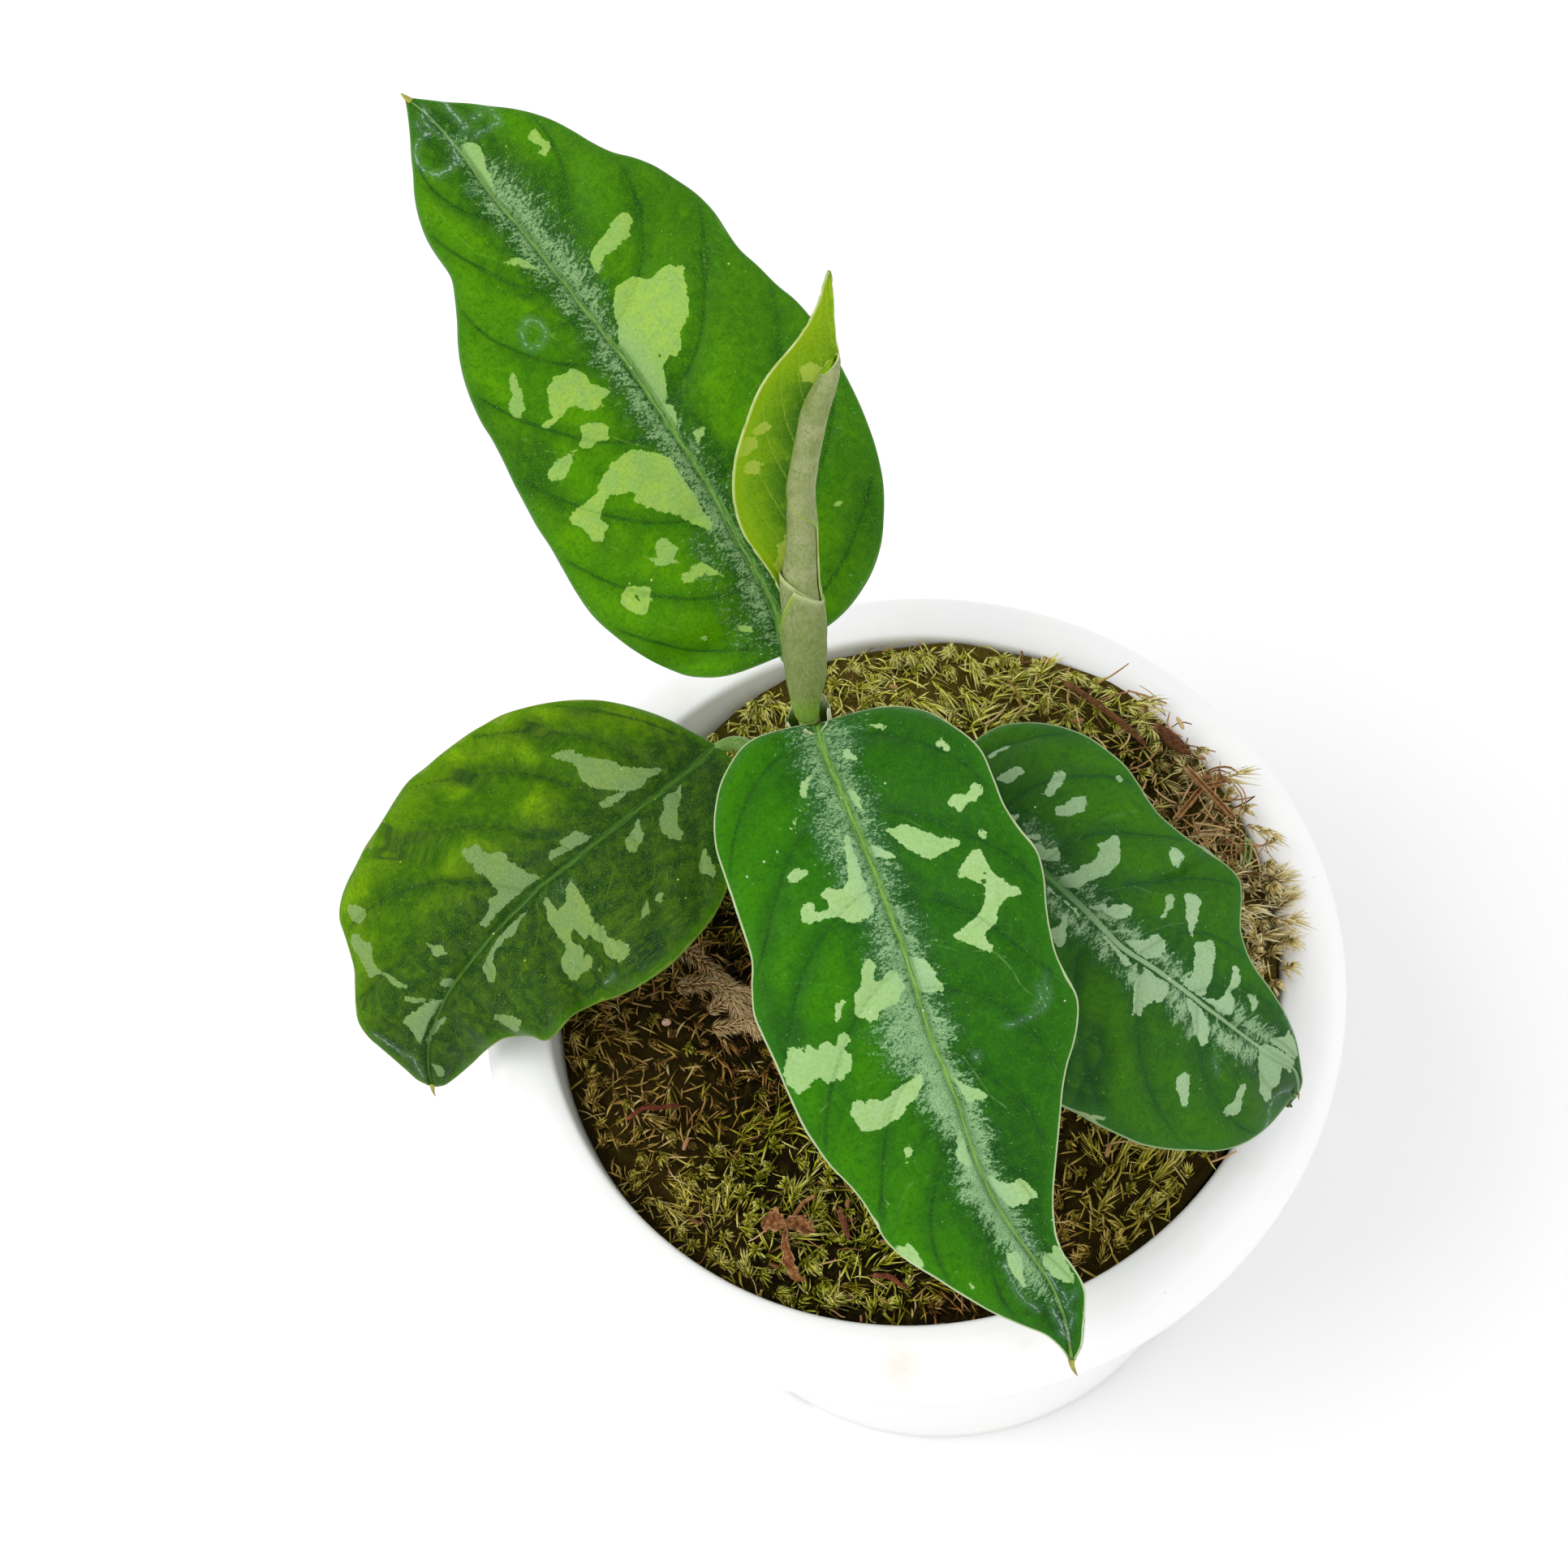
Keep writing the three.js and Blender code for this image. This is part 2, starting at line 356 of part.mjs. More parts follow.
const CROWN = [[-4.6, 7.6, 58.5, 2.2], [-4.6, 7.6, 61, 4.4], [-4.6, 7.6, 65.6, 4.6]];
const rootMass = (grow) => join(tube(CROWN, { sides: 10, steps: 2, grow }),
  ...ROOTS.map((r) => tube(r, { sides: 6, steps: 2, grow })));
const roots = rootMass(0);

// -------------------------------------------------------- potting mix and moss
let mix = lathe([
  [0, 2.25], [18.2, 2.25], [19.2, 3.75], [30.8, 3.75], [31.8, 2.25], [wallR(2.6) - 0.4, 2.6],
  [wallR(MIX_TOP) - 0.4, MIX_TOP], [0, MIX_TOP],
], POT_SEG);
mix = cut(mix, stemClear, rootMass(GAP));

const step = (a, b, x) => { const t = Math.min(Math.max((x - a) / (b - a), 0), 1); return t * t * (3 - 2 * t); };
function mossZ(x, y) {
  const r = Math.hypot(x, y);
  let z = 88 + 0.07 * x + 0.02 * y + 1.3 * Math.exp(-r * r / (2 * 22 * 22));
  z -= 5.0 * Math.exp(-((x + 27) ** 2 + (y - 36) ** 2) / 288);
  z += 1.6 * Math.exp(-((x - 36) ** 2 + (y - 26) ** 2) / 288);
  z += 0.9 * Math.sin(0.21 * x + 0.6) * Math.cos(0.19 * y - 0.4) + 0.5 * Math.sin(0.43 * x - 1.1) * Math.sin(0.39 * y + 0.7);
  const side = Math.min(Math.max((0.75 * x + 0.35 * y) / 46, 0), 1);
  return z - (2.6 - 2.6 * side) * step(38, 46.4, r);
}
function mossSolid() {
  const seg = 40, rings = [6, 12, 18, 24, 30, 35.5, 40.5, 43.8, MOSS_EDGE_R];
  const verts = [0, 0, mossZ(0, 0)], idx = [];
  for (const r of rings) for (let j = 0; j < seg; j++) {
    const a = (2 * Math.PI * j) / seg, z = mossZ(r * Math.cos(a), r * Math.sin(a));
    const q = Math.min(r, wallR(z) - 0.45);   // stays off the wall where the moss lies low
    verts.push(q * Math.cos(a), q * Math.sin(a), z);
  }
  const base = 1 + rings.length * seg;
  for (let j = 0; j < seg; j++) {
    const a = (2 * Math.PI * j) / seg, r = wallR(MIX_TOP + GAP) - 0.5;
    verts.push(r * Math.cos(a), r * Math.sin(a), MIX_TOP + GAP);
  }
  verts.push(0, 0, MIX_TOP + GAP);
  const low = base + seg;
  for (let j = 0; j < seg; j++) {
    const k = (j + 1) % seg;
    idx.push(0, 1 + j, 1 + k);
    for (let i = 0; i < rings.length; i++) {
      const a = 1 + i * seg + j, b = 1 + i * seg + k, c = a + seg, d = b + seg;
      idx.push(a, c, b, b, c, d);
    }
    idx.push(low, base + k, base + j);
  }
  const g = new THREE.BufferGeometry();
  g.setAttribute('position', new THREE.Float32BufferAttribute(verts, 3));
  g.setIndex(idx);
  return solid(g);
}
const moss = cut(mossSolid(), stemClear);

// ------------------------------------------------------------ unrolling leaf
// A slim petiole rises inside the front leaf's sheath. Above it the blade is
// still rolled: a tube that narrows to the tip, with its left half laid open.
const NEW_AXIS = [
  [-5.7, 12.3, 111.6, 1.4], [-6.1, 13.2, 120, 1.35], [-6.5, 13.5, 130, 1.3], [-6.9, 13.6, 140, 1.3], [-6.8, 13.9, 143.3, 1.55],
  [-6.3, 14.8, 146.3, 2.1], [-5.9, 16.0, 150.4, 2.36], [-5.5, 17.3, 154.5, 2.44], [-5.3, 18.4, 158, 2.5],
  [-5.0, 19.6, 161.8, 2.4], [-4.2, 21.1, 166.7, 2.0], [-3.7, 22.3, 170.5, 1.92], [-3.2, 23.7, 174.8, 1.79],
  [-2.3, 24.9, 178.6, 1.7], [-1.1, 26.2, 182.8, 1.75], [-0.1, 27.2, 186.2, 1.75], [1.4, 28.4, 190, 1.45],
  [2.7, 29.7, 194.2, 0.95], [3.6, 31.2, 199, 0.6], [4.0, 33.0, 204.8, 0.25]];
const NEW_OPEN = [   // [left margin, where the open half meets the roll]
  [[-8.2, 20.6, 164.4], [-5.2, 19.4, 161.2]], [[-9.8, 21.9, 169.2], [-4.2, 21.0, 166.4]], [[-10.5, 23.0, 172.8], [-3.8, 22.1, 170]],
  [[-10.5, 24.2, 176.7], [-3.2, 23.5, 174.2]], [[-9.9, 25.4, 180.3], [-2.6, 24.6, 177.6]], [[-9.1, 26.2, 183.0], [-1.9, 25.4, 180.2]],
  [[-7.7, 27.3, 186.3], [-1.0, 26.3, 183.2]], [[-6.2, 28.3, 189.6], [-0.1, 27.2, 186.2]], [[-4.8, 29.0, 191.9], [0.7, 27.9, 188.4]],
  [[-2.3, 29.9, 194.6], [1.6, 28.6, 190.6]], [[-0.3, 30.5, 196.8], [2.4, 29.4, 193.2]], [[1.6, 31.6, 200.3], [3.1, 30.4, 196.6]],
  [[3.0, 32.4, 202.6], [3.8, 31.8, 201]]];
const newTube = (grow) => tube(NEW_AXIS, { sides: 10, steps: 2, grow });
function newBlade(grow = 0) {
  const th = 0.7 + 2 * grow, verts = [], idx = [], n = NEW_OPEN.length;
  NEW_OPEN.forEach(([e, m]) => {
    const a = V(e), b = V(m), back = new THREE.Vector3(0, 0.86, -0.5);
    for (const q of [a, a.clone().lerp(b, 0.5).addScaledVector(back, 0.5), b]) {
      verts.push(q.x, q.y, q.z);
      q.addScaledVector(back, th);
      verts.push(q.x, q.y, q.z);
    }
  });
  for (let i = 0; i < n - 1; i++) {
    const o = i * 6, ring = [0, 2, 4, 5, 3, 1];
    for (let j = 0; j < 6; j++) {
      const a = o + ring[j], b = o + ring[(j + 1) % 6];
      idx.push(a, b, b + 6, a, b + 6, a + 6);
    }
  }
  for (const o of [0, (n - 1) * 6]) {
    const f = [o, o + 2, o + 3, o, o + 3, o + 1, o + 2, o + 4, o + 5, o + 2, o + 5, o + 3];
    idx.push(...(o ? f : f.reverse()));
  }
  const g = new THREE.BufferGeometry();
  g.setAttribute('position', new THREE.Float32BufferAttribute(verts, 3));
  g.setIndex(idx);
  return solid(g);
}
const newLeaf = join(newTube(0), newBlade());
const newClear = newTube(GAP);

// -------------------------------------------------------- four open leaves
// Every leaf is a petiole, which is a sheath round the stem at its foot, and the
// blade that it carries.
const FRONT_PET = [[-5.8, 8.6, 101, 1.9], [-5.9, 8.8, 106, 1.8], [-6.1, 9.8, 116, 1.6], [-6.2, 10.6, 127, 1.45], [-6.2, 10.9, 135, 1.4], [-6.2, 10.9, 139.2, 1.35]];
const FRONT_SHEATH = [[-5.8, 11.4, 106.5, 3.9], [-5.9, 12.2, 113, 3.2], [-6.2, 12.9, 121, 2.6], [-6.5, 13.2, 130, 2.3], [-6.9, 13.4, 139.0, 2.1]];
const BACK_PET = [[-5.9, 12.4, 96.5, 1.9], [-6.2, 15.2, 101, 1.9], [-6.6, 17.0, 107, 1.7], [-6.9, 17.6, 116, 1.5], [-7.0, 17.9, 128, 1.35], [-7.1, 18.4, 139, 1.3], [-7.3, 18.7, 144, 1.2], [-8.1, 18.6, 147.0, 1.05], [-8.3, 20.2, 147.9, 0.9]];
const LEFT_PET = [[-6.6, 10.4, 92.5, 1.9], [-8.6, 12.6, 96.5, 1.8], [-10.4, 16.4, 102, 1.6], [-12.4, 21.0, 108.5, 1.45], [-15.2, 24.4, 111.6, 1.3], [-18.3, 24.8, 111.2, 1.15], [-20.6, 23.2, 111.9, 0.95]];
const RIGHT_PET = [[-5.0, 10.2, 95.5, 1.9], [-2.2, 9.6, 99.5, 1.8], [0.6, 9.4, 106, 1.6], [3.4, 9.6, 114, 1.4], [6.0, 9.5, 120.6, 1.25], [7.6, 8.6, 122.6, 1.1], [9.0, 6.2, 123.4, 0.9]];

const sheathSlot = solid(new THREE.BoxGeometry(1.3, 6, 40).translate(-6.4, 16.2, 122));
const frontSheath = cut(tube(FRONT_SHEATH, { sides: 12 }), newClear, stemClear, sheathSlot);
const frontPet = tube(FRONT_PET, {});
const frontClear = join(tube(FRONT_SHEATH, { sides: 12, grow: GAP }), tube(FRONT_PET, { grow: GAP }));
const backClear = tube(BACK_PET, { grow: GAP });

const leafFront = cut(join(blade(LEAF_C), frontPet, frontSheath), stemClear, newClear);
const leafBack = cut(join(blade(LEAF_A), tube(BACK_PET)), stemClear, frontClear, newClear);
const leafLeft = cut(join(blade(LEAF_B, { crown: 0.06 }), tube(LEFT_PET)), stemClear, backClear, frontClear);
const leafRight = cut(join(blade(LEAF_D, { crown: 0.04 }), tube(RIGHT_PET)), stemClear, backClear, frontClear);

// ------------------------------------------------ bits lying on the moss
// Path over the moss: each point is [x, y, radius].
function laid(path, opt = {}) {
  return tube(path.map(([x, y, r, up = 0]) => [x, y, mossZ(x, y) + r * (opt.flat ?? 1) + 0.5 + up, r]), { sides: 6, steps: 2, flatDir: [0, 0, 1], ...opt });
}
const twigLong = laid([[26.9, 33.2, 0.45], [28.7, 30.8, 0.5], [30.5, 28.2, 0.5], [33.0, 25.3, 0.55], [34.9, 22.4, 0.4]]);
const straw1 = laid([[36.9, 11.6, 0.45], [38.8, 13.1, 0.45], [40.9, 14.7, 0.45], [43.4, 14.8, 0.4]]);
const straw2 = laid([[39.3, 17.6, 0.45, 1.1], [41.0, 14.3, 0.45, 1.3], [42.3, 12.2, 0.45, 0.5], [43.7, 9.8, 0.4, 0.2]]);
const straw3 = laid([[39.2, 8.6, 0.5], [40.6, 8.4, 0.5], [42.0, 8.2, 0.5]]);
const straw4 = laid([[45.0, 6.9, 0.5], [44.7, 5.4, 0.55], [44.0, 3.7, 0.5]]);
const barkStrip = laid([[36.8, 24.6, 0.8], [38.3, 22.3, 1.1], [39.6, 20.4, 1.0]], { flat: 0.5 });
const rootTwig = laid([[-38.5, -12.0, 0.4], [-36.4, -11.2, 0.45], [-34.6, -11.4, 0.45], [-32.0, -11.4, 0.35]]);
const stick = laid([[-14.6, -29.3, 0.45], [-14.4, -31.0, 0.5], [-14.2, -32.6, 0.4]]);
const splinter = laid([[-12.0, -38.3, 0.35], [-10.1, -38.9, 0.45], [-8.8, -40.3, 0.35]]);
const deadLeaf = join(
  laid([[-24.3, -29.8, 0.7], [-22.4, -30.3, 1.5], [-20.7, -30.6, 1.2], [-19.4, -31.0, 1.5], [-18.3, -31.9, 0.6]], { flat: 0.6 }),
  laid([[-20.9, -30.4, 1.0], [-21.8, -32.2, 1.1], [-22.0, -34.0, 0.9], [-21.8, -35.5, 0.6], [-20.9, -36.6, 0.4]], { flat: 0.8 }),
  laid([[-20.8, -30.6, 0.6, 0.3], [-19.8, -28.7, 0.4], [-18.6, -27.5, 0.35], [-17.4, -27.0, 0.3]]));
const dryMoss = join(
  laid([[-28.2, 8.5, 0.9], [-26.5, 6.8, 1.2], [-24.9, 4.3, 1.3], [-23.1, 2.0, 1.0]]),
  laid([[-29.3, 3.6, 0.8], [-26.7, 3.0, 1.0], [-24.2, 2.2, 1.1], [-22.7, 0.7, 1.0]]),
  laid([[-25.8, -0.9, 0.8], [-23.7, -0.1, 1.1], [-22.1, -0.7, 1.1], [-21.2, -2.4, 0.9]]),
  laid([[-25.8, -2.9, 0.8], [-23.5, -3.3, 1.0], [-21.5, -3.2, 1.1], [-20.7, -5.0, 0.8]]),
  laid([[-23.6, 3.4, 0.9], [-22.9, 0.4, 1.1], [-22.2, -2.2, 1.1], [-21.8, -3.6, 0.9]]));
const grain = solid(new THREE.IcosahedronGeometry(0.85, 1).scale(1, 0.85, 0.75).translate(-31.6, -0.5, mossZ(-31.6, -0.5) + 1.1));

// ------------------------------------------------------------------ the model
const group = new THREE.Group();
function piece(name, m, color, roughness) {
  const mesh = new THREE.Mesh(toGeometry(m), new THREE.MeshStandardMaterial({ color, roughness, metalness: 0 }));
  mesh.name = name;
  group.add(mesh);
}
piece('pot', pot, 0xf1f1ef, 0.35);
piece('potting_mix', mix, 0x3b2a1c, 0.95);
piece('moss_bed', moss, 0x55601f, 0.95);
piece('stem', stem, 0x6f7f3c, 0.6);
piece('roots', roots, 0xc9b48a, 0.8);
piece('leaf_back_left', leafBack, 0x2f8a1e, 0.4);
piece('leaf_left', leafLeft, 0x2b6b22, 0.4);
piece('leaf_front', leafFront, 0x24702a, 0.4);
piece('leaf_right', leafRight, 0x245f2c, 0.4);
piece('new_leaf', newLeaf, 0x9fb83a, 0.45);
piece('dry_moss_tuft', dryMoss, 0xa88a5a, 0.95);
piece('dead_leaf_curl', deadLeaf, 0x8a5a3c, 0.9);
piece('twig', twigLong, 0x8c6142, 0.9);
piece('straw_1', straw1, 0xc79a6a, 0.8);
piece('straw_2', straw2, 0xcaa070, 0.8);
piece('straw_3', straw3, 0xd8bd90, 0.8);
piece('straw_4', straw4, 0xa9b87a, 0.8);
piece('bark_strip', barkStrip, 0x7a4630, 0.95);
piece('root_twig', rootTwig, 0x8f3f30, 0.85);
piece('stick', stick, 0x9c5a44, 0.85);
piece('wood_splinter', splinter, 0x94493a, 0.85);
piece('perlite_grain', grain, 0xe6c6b4, 0.9);

export default group;
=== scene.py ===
# Potted bicolor aglaonema: finish of the plant, its pot and the moss, built
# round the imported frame. Lengths in the tables are millimetres.
import math
import bpy
import numpy as np
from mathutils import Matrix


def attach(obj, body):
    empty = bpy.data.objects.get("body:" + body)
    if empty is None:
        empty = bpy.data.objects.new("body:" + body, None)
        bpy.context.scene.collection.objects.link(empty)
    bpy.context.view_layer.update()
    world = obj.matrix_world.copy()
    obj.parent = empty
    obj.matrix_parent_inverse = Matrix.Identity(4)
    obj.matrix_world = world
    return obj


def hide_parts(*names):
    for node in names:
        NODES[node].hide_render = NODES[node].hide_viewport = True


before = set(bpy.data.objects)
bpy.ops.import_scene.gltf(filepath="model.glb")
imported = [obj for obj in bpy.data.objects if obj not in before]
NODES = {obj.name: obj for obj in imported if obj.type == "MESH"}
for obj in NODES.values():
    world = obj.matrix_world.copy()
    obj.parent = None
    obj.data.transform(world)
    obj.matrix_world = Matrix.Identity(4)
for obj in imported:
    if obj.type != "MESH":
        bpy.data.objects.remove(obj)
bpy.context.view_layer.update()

MM = 0.001
TAU = 2 * math.pi

# Blade stations from base to tip: midrib, left margin, right margin (mm).
LEAVES = {
    "A": [
        [[-8.1, 18.2, 147], [-8.1, 18.2, 147], [-8.1, 18.2, 147]],
        [[-8.1, 20.5, 148.1], [-14.5, 17.2, 146.6], [-1.5, 20.5, 148.9]],
        [[-8.3, 22.4, 149.5], [-18.8, 17.7, 146.7], [2.3, 23.2, 150.5]],
        [[-8.8, 24.3, 151.2], [-22.4, 19.3, 147.6], [4.9, 26.6, 152.1]],
        [[-9.5, 26.1, 152.8], [-25, 19, 153.5], [6.1, 29.7, 154.5]],
        [[-10.3, 28, 154.3], [-27.1, 20.3, 156.6], [6.7, 32.7, 156.8]],
        [[-11.1, 29.8, 155.7], [-28.9, 22.3, 158.5], [6.6, 35.4, 159.5]],
        [[-11.8, 31.8, 157.1], [-30.1, 24.4, 160.5], [6.1, 38.4, 161.3]],
        [[-12.5, 33.7, 158.4], [-31, 26.5, 162.5], [5.4, 41.4, 162.6]],
        [[-13.3, 35.5, 159.7], [-31.9, 28.7, 164.4], [4.5, 44.4, 163.8]],
        [[-14.2, 37.5, 161], [-32.9, 30.8, 165.8], [3.6, 47.3, 164.8]],
        [[-15.1, 39.4, 162.3], [-33.7, 33.1, 167], [2.4, 49.8, 166.2]],
        [[-16.1, 41.3, 163.4], [-34.5, 35.4, 168.3], [0.8, 52.1, 167.7]],
        [[-17, 43.2, 164.6], [-35.1, 37.4, 169.7], [-1, 53.8, 169.1]],
        [[-17.9, 45.1, 165.7], [-35.8, 39.4, 171.3], [-2.7, 55.8, 170.6]],
        [[-18.9, 47.1, 166.8], [-36.6, 41.1, 172.9], [-4.4, 57.6, 172]],
        [[-19.9, 49.1, 167.9], [-37.2, 43.2, 174.1], [-5.6, 59.9, 173.1]],
        [[-21, 50.9, 168.9], [-37.6, 45.5, 174.9], [-6.7, 62.9, 173.1]],
        [[-22.1, 52.8, 169.9], [-37.8, 48.2, 175.1], [-8.2, 65.7, 172.9]],
        [[-23.3, 54.8, 170.8], [-37.7, 50.9, 175.1], [-10.1, 67.1, 174.3]],
        [[-24.3, 56.7, 171.7], [-37.4, 53.6, 175.1], [-12.1, 67.9, 176.5]],
        [[-25.5, 58.7, 172.6], [-37.2, 56.2, 175.4], [-14.3, 68.8, 177.7]],
        [[-26.6, 60.7, 173.4], [-37.1, 58.1, 176.6], [-16.6, 69.9, 178]],
        [[-27.7, 62.8, 174.2], [-37.7, 59.6, 178], [-18.7, 71.6, 178.2]],
        [[-28.8, 64.7, 175], [-38.6, 61.7, 178.7], [-20.6, 73.7, 178.1]],
        [[-30.1, 66.8, 175.6], [-39.2, 64, 179], [-22.6, 75.6, 178.1]],
        [[-31.3, 68.9, 176.2], [-39.5, 66.6, 179.1], [-24.8, 77, 178.3]],
        [[-32.3, 71.1, 176.8], [-39.5, 69.1, 179.1], [-27.1, 78.1, 178.4]],
        [[-33.3, 73.4, 177.4], [-39.3, 71.7, 179], [-29.5, 79, 178.4]],
        [[-34.5, 75.7, 177.8], [-39.2, 74.4, 178.8], [-31.8, 79.9, 178.4]],
        [[-35.8, 78.1, 178], [-39, 77.1, 178.6], [-34.2, 80.7, 178.3]],
        [[-37.2, 80.3, 178.2], [-38.9, 79.8, 178.4], [-36.6, 81.6, 178.3]],
        [[-38.9, 82.5, 178.2], [-38.9, 82.5, 178.2], [-38.9, 82.5, 178.2]],
    ],
    "B": [
        [[-18.3, 24.9, 111.5], [-18.3, 24.9, 111.5], [-18.3, 24.9, 111.5]],
        [[-19.9, 23.7, 112], [-15.9, 20.6, 111.5], [-23.5, 29.1, 112.6]],
        [[-21.4, 22.5, 112.6], [-16.2, 16.3, 112.5], [-27.4, 31.3, 113.4]],
        [[-23, 21.3, 113.1], [-16.8, 12.8, 113.4], [-31, 32.8, 113.8]],
        [[-24.6, 20.3, 113.4], [-17.7, 9.7, 114.2], [-34.6, 33.9, 113.4]],
        [[-26.2, 19.3, 113.5], [-18.7, 6.9, 114.7], [-38, 34.6, 112.7]],
        [[-27.7, 18.5, 113.5], [-20.1, 4.8, 115], [-41.2, 34.9, 112]],
        [[-29.4, 17.7, 113.4], [-21.4, 2.7, 115.2], [-44.3, 34.8, 111.4]],
        [[-31, 16.8, 113.4], [-22.8, 0.9, 115.2], [-47.1, 34, 110.9]],
        [[-32.5, 16, 113.3], [-24.4, -0.6, 115.1], [-50, 33.8, 108.8]],
        [[-34.1, 15.1, 113.2], [-26, -1.8, 114.9], [-52.5, 32.9, 108]],
        [[-35.7, 14.3, 113], [-27.6, -2.8, 114.3], [-55, 31.8, 107.1]],
        [[-37.3, 13.4, 112.8], [-29.3, -3.7, 113.7], [-57.4, 30.8, 106.3]],
        [[-38.8, 12.7, 112.3], [-31.1, -4.4, 113.3], [-59.4, 29.4, 105.1]],
        [[-40.5, 12.1, 111.6], [-32.8, -4.8, 112.4], [-61.1, 27.7, 104.4]],
        [[-42.2, 11.6, 110.8], [-34.6, -4.3, 109.6], [-62.8, 26, 103.7]],
        [[-43.8, 11, 109.9], [-36.5, -4, 107.8], [-64.6, 24.6, 102.5]],
        [[-45.2, 10.3, 109], [-38.4, -3.8, 106.8], [-66.1, 22.9, 101.6]],
        [[-46.8, 9.6, 108.2], [-40.1, -4, 106.3], [-67.6, 21.1, 100.9]],
        [[-48.3, 8.9, 107.2], [-41.7, -4.7, 106.8], [-68.8, 19.2, 100.1]],
        [[-49.8, 8.2, 106.2], [-43.2, -5.6, 106.7], [-69.4, 17.1, 99.4]],
        [[-51.3, 7.4, 105.2], [-44.7, -5.9, 104.3], [-69.1, 14.8, 99.1]],
        [[-52.8, 6.6, 104], [-46.2, -5.7, 102.4], [-68.8, 12.5, 98.7]],
        [[-54.2, 5.8, 102.8], [-47.7, -4.6, 101.6], [-68.7, 10.4, 97.7]],
        [[-55.6, 5.1, 101.5], [-49.6, -2.9, 98.4], [-69.2, 8.9, 95.5]],
        [[-57, 4.3, 100.1], [-51.4, -2.4, 97.4], [-69.6, 7.2, 94.1]],
        [[-58.2, 3.4, 98.5], [-53, -2.3, 95.8], [-69.7, 5.4, 92.8]],
        [[-59.3, 2.5, 96.7], [-54.8, -1.5, 91.6], [-68.9, 3.6, 91.8]],
        [[-60.4, 1.6, 94.8], [-56.3, -1.6, 89.4], [-67.7, 2.2, 90.9]],
        [[-61.3, 0.6, 92.7], [-57.9, -1.5, 86.8], [-66.4, 0.9, 89.4]],
        [[-61.9, -0.4, 90.4], [-59.4, -1.8, 85.4], [-65.2, -0.3, 87.9]],
        [[-62.3, -1.3, 87.8], [-60.9, -2.3, 85], [-64, -1.5, 86.5]],
        [[-62.4, -2.2, 85], [-62.4, -2.2, 85], [-62.4, -2.2, 85]],
    ],
    "C": [
        [[-6.2, 12.4, 139.5], [-6.2, 12.5, 139.5], [-6, 12.3, 139.5]],
        [[-6, 9.3, 140], [-13.7, 12, 139.5], [1.3, 12.9, 139.5]],
        [[-5.7, 6.4, 140.7], [-17.7, 7.9, 140.5], [6.2, 11.1, 140.4]],
        [[-5.1, 3.4, 141.3], [-19.6, 3.1, 141.7], [9.4, 7.1, 142.8]],
        [[-4.6, 0.6, 141.5], [-20.3, -1.8, 142.9], [11.7, 3.4, 143.6]],
        [[-4.1, -2.1, 141.4], [-19.9, -6.1, 143.5], [12.5, -0.6, 143.8]],
        [[-3.6, -4.5, 141.1], [-19.4, -9.6, 143.1], [13.1, -4.2, 143.4]],
        [[-3.1, -7.1, 140.7], [-19, -12.5, 141.3], [14.3, -7, 142.3]],
        [[-2.7, -9.6, 140.3], [-18.7, -15.6, 140.2], [15.8, -9.4, 140.6]],
        [[-2.3, -12, 139.8], [-19.3, -18.9, 140], [16, -12.4, 139.7]],
        [[-1.9, -14.4, 139.3], [-19.6, -22.1, 139.8], [15.6, -15.5, 139.4]],
        [[-1.5, -16.8, 138.6], [-19, -24.8, 138.8], [15.4, -18.6, 139.2]],
        [[-1.2, -19.2, 137.7], [-18.3, -27.3, 137.4], [15.5, -21.5, 138.7]],
        [[-0.9, -21.4, 136.8], [-17.7, -30, 136.4], [16.1, -24, 137.9]],
        [[-0.7, -23.6, 135.7], [-17.1, -32.5, 135.5], [16.9, -26.3, 136.2]],
        [[-0.4, -25.9, 134.6], [-16.4, -34.7, 134], [16.5, -28.6, 135.1]],
        [[0, -28.1, 133.5], [-15.4, -36.6, 131.8], [15.6, -30.6, 133.5]],
        [[0.5, -30.2, 132.4], [-14.3, -38.4, 129.7], [14.4, -32.5, 131.8]],
        [[1, -32.4, 131.1], [-12.8, -40.3, 128.3], [13.5, -34.4, 130.1]],
        [[1.4, -34.5, 129.8], [-11.6, -42.2, 127], [12.8, -36.4, 128.6]],
        [[1.6, -36.6, 128.5], [-10.7, -44.4, 125.8], [12.1, -38.6, 127.4]],
        [[2, -38.7, 127], [-9.9, -46.5, 124.8], [11.4, -40.7, 126.4]],
        [[2.4, -40.8, 125.6], [-8.5, -48.4, 124], [10.7, -42.8, 125.3]],
        [[3, -42.9, 124.1], [-6.8, -50, 123.3], [10.1, -44.7, 123.7]],
        [[3.7, -44.8, 122.5], [-4.9, -51.5, 122.5], [9.7, -46.7, 122]],
        [[4.7, -46.7, 120.9], [-3.2, -52.8, 121.2], [9.6, -48.4, 119.8]],
        [[5.8, -48.6, 119.2], [-1.4, -54, 119.6], [10.1, -50.1, 117.6]],
        [[6.9, -50.3, 117.4], [0.4, -54.9, 117.2], [11.2, -51.7, 115.7]],
        [[7.9, -52.2, 115.5], [2.3, -55.6, 114.8], [11.8, -53.5, 114.5]],
        [[8.5, -54.2, 113.5], [4.4, -56.4, 112.7], [11.4, -55.6, 113.4]],
        [[8.9, -56.2, 111.4], [6.3, -57.2, 111.1], [10.7, -57.4, 112.1]],
        [[8.9, -58, 109.3], [7.8, -58.5, 109.2], [10.1, -58.9, 109.7]],
        [[8.8, -60, 107], [8.8, -60, 107], [8.8, -60, 107]],
    ],
    "D": [
        [[7.4, 9, 123], [7.4, 9, 123], [7.4, 9, 123]],
        [[8.4, 7.1, 123.5], [2.9, 4.1, 123.4], [11.6, 13.2, 122.9]],
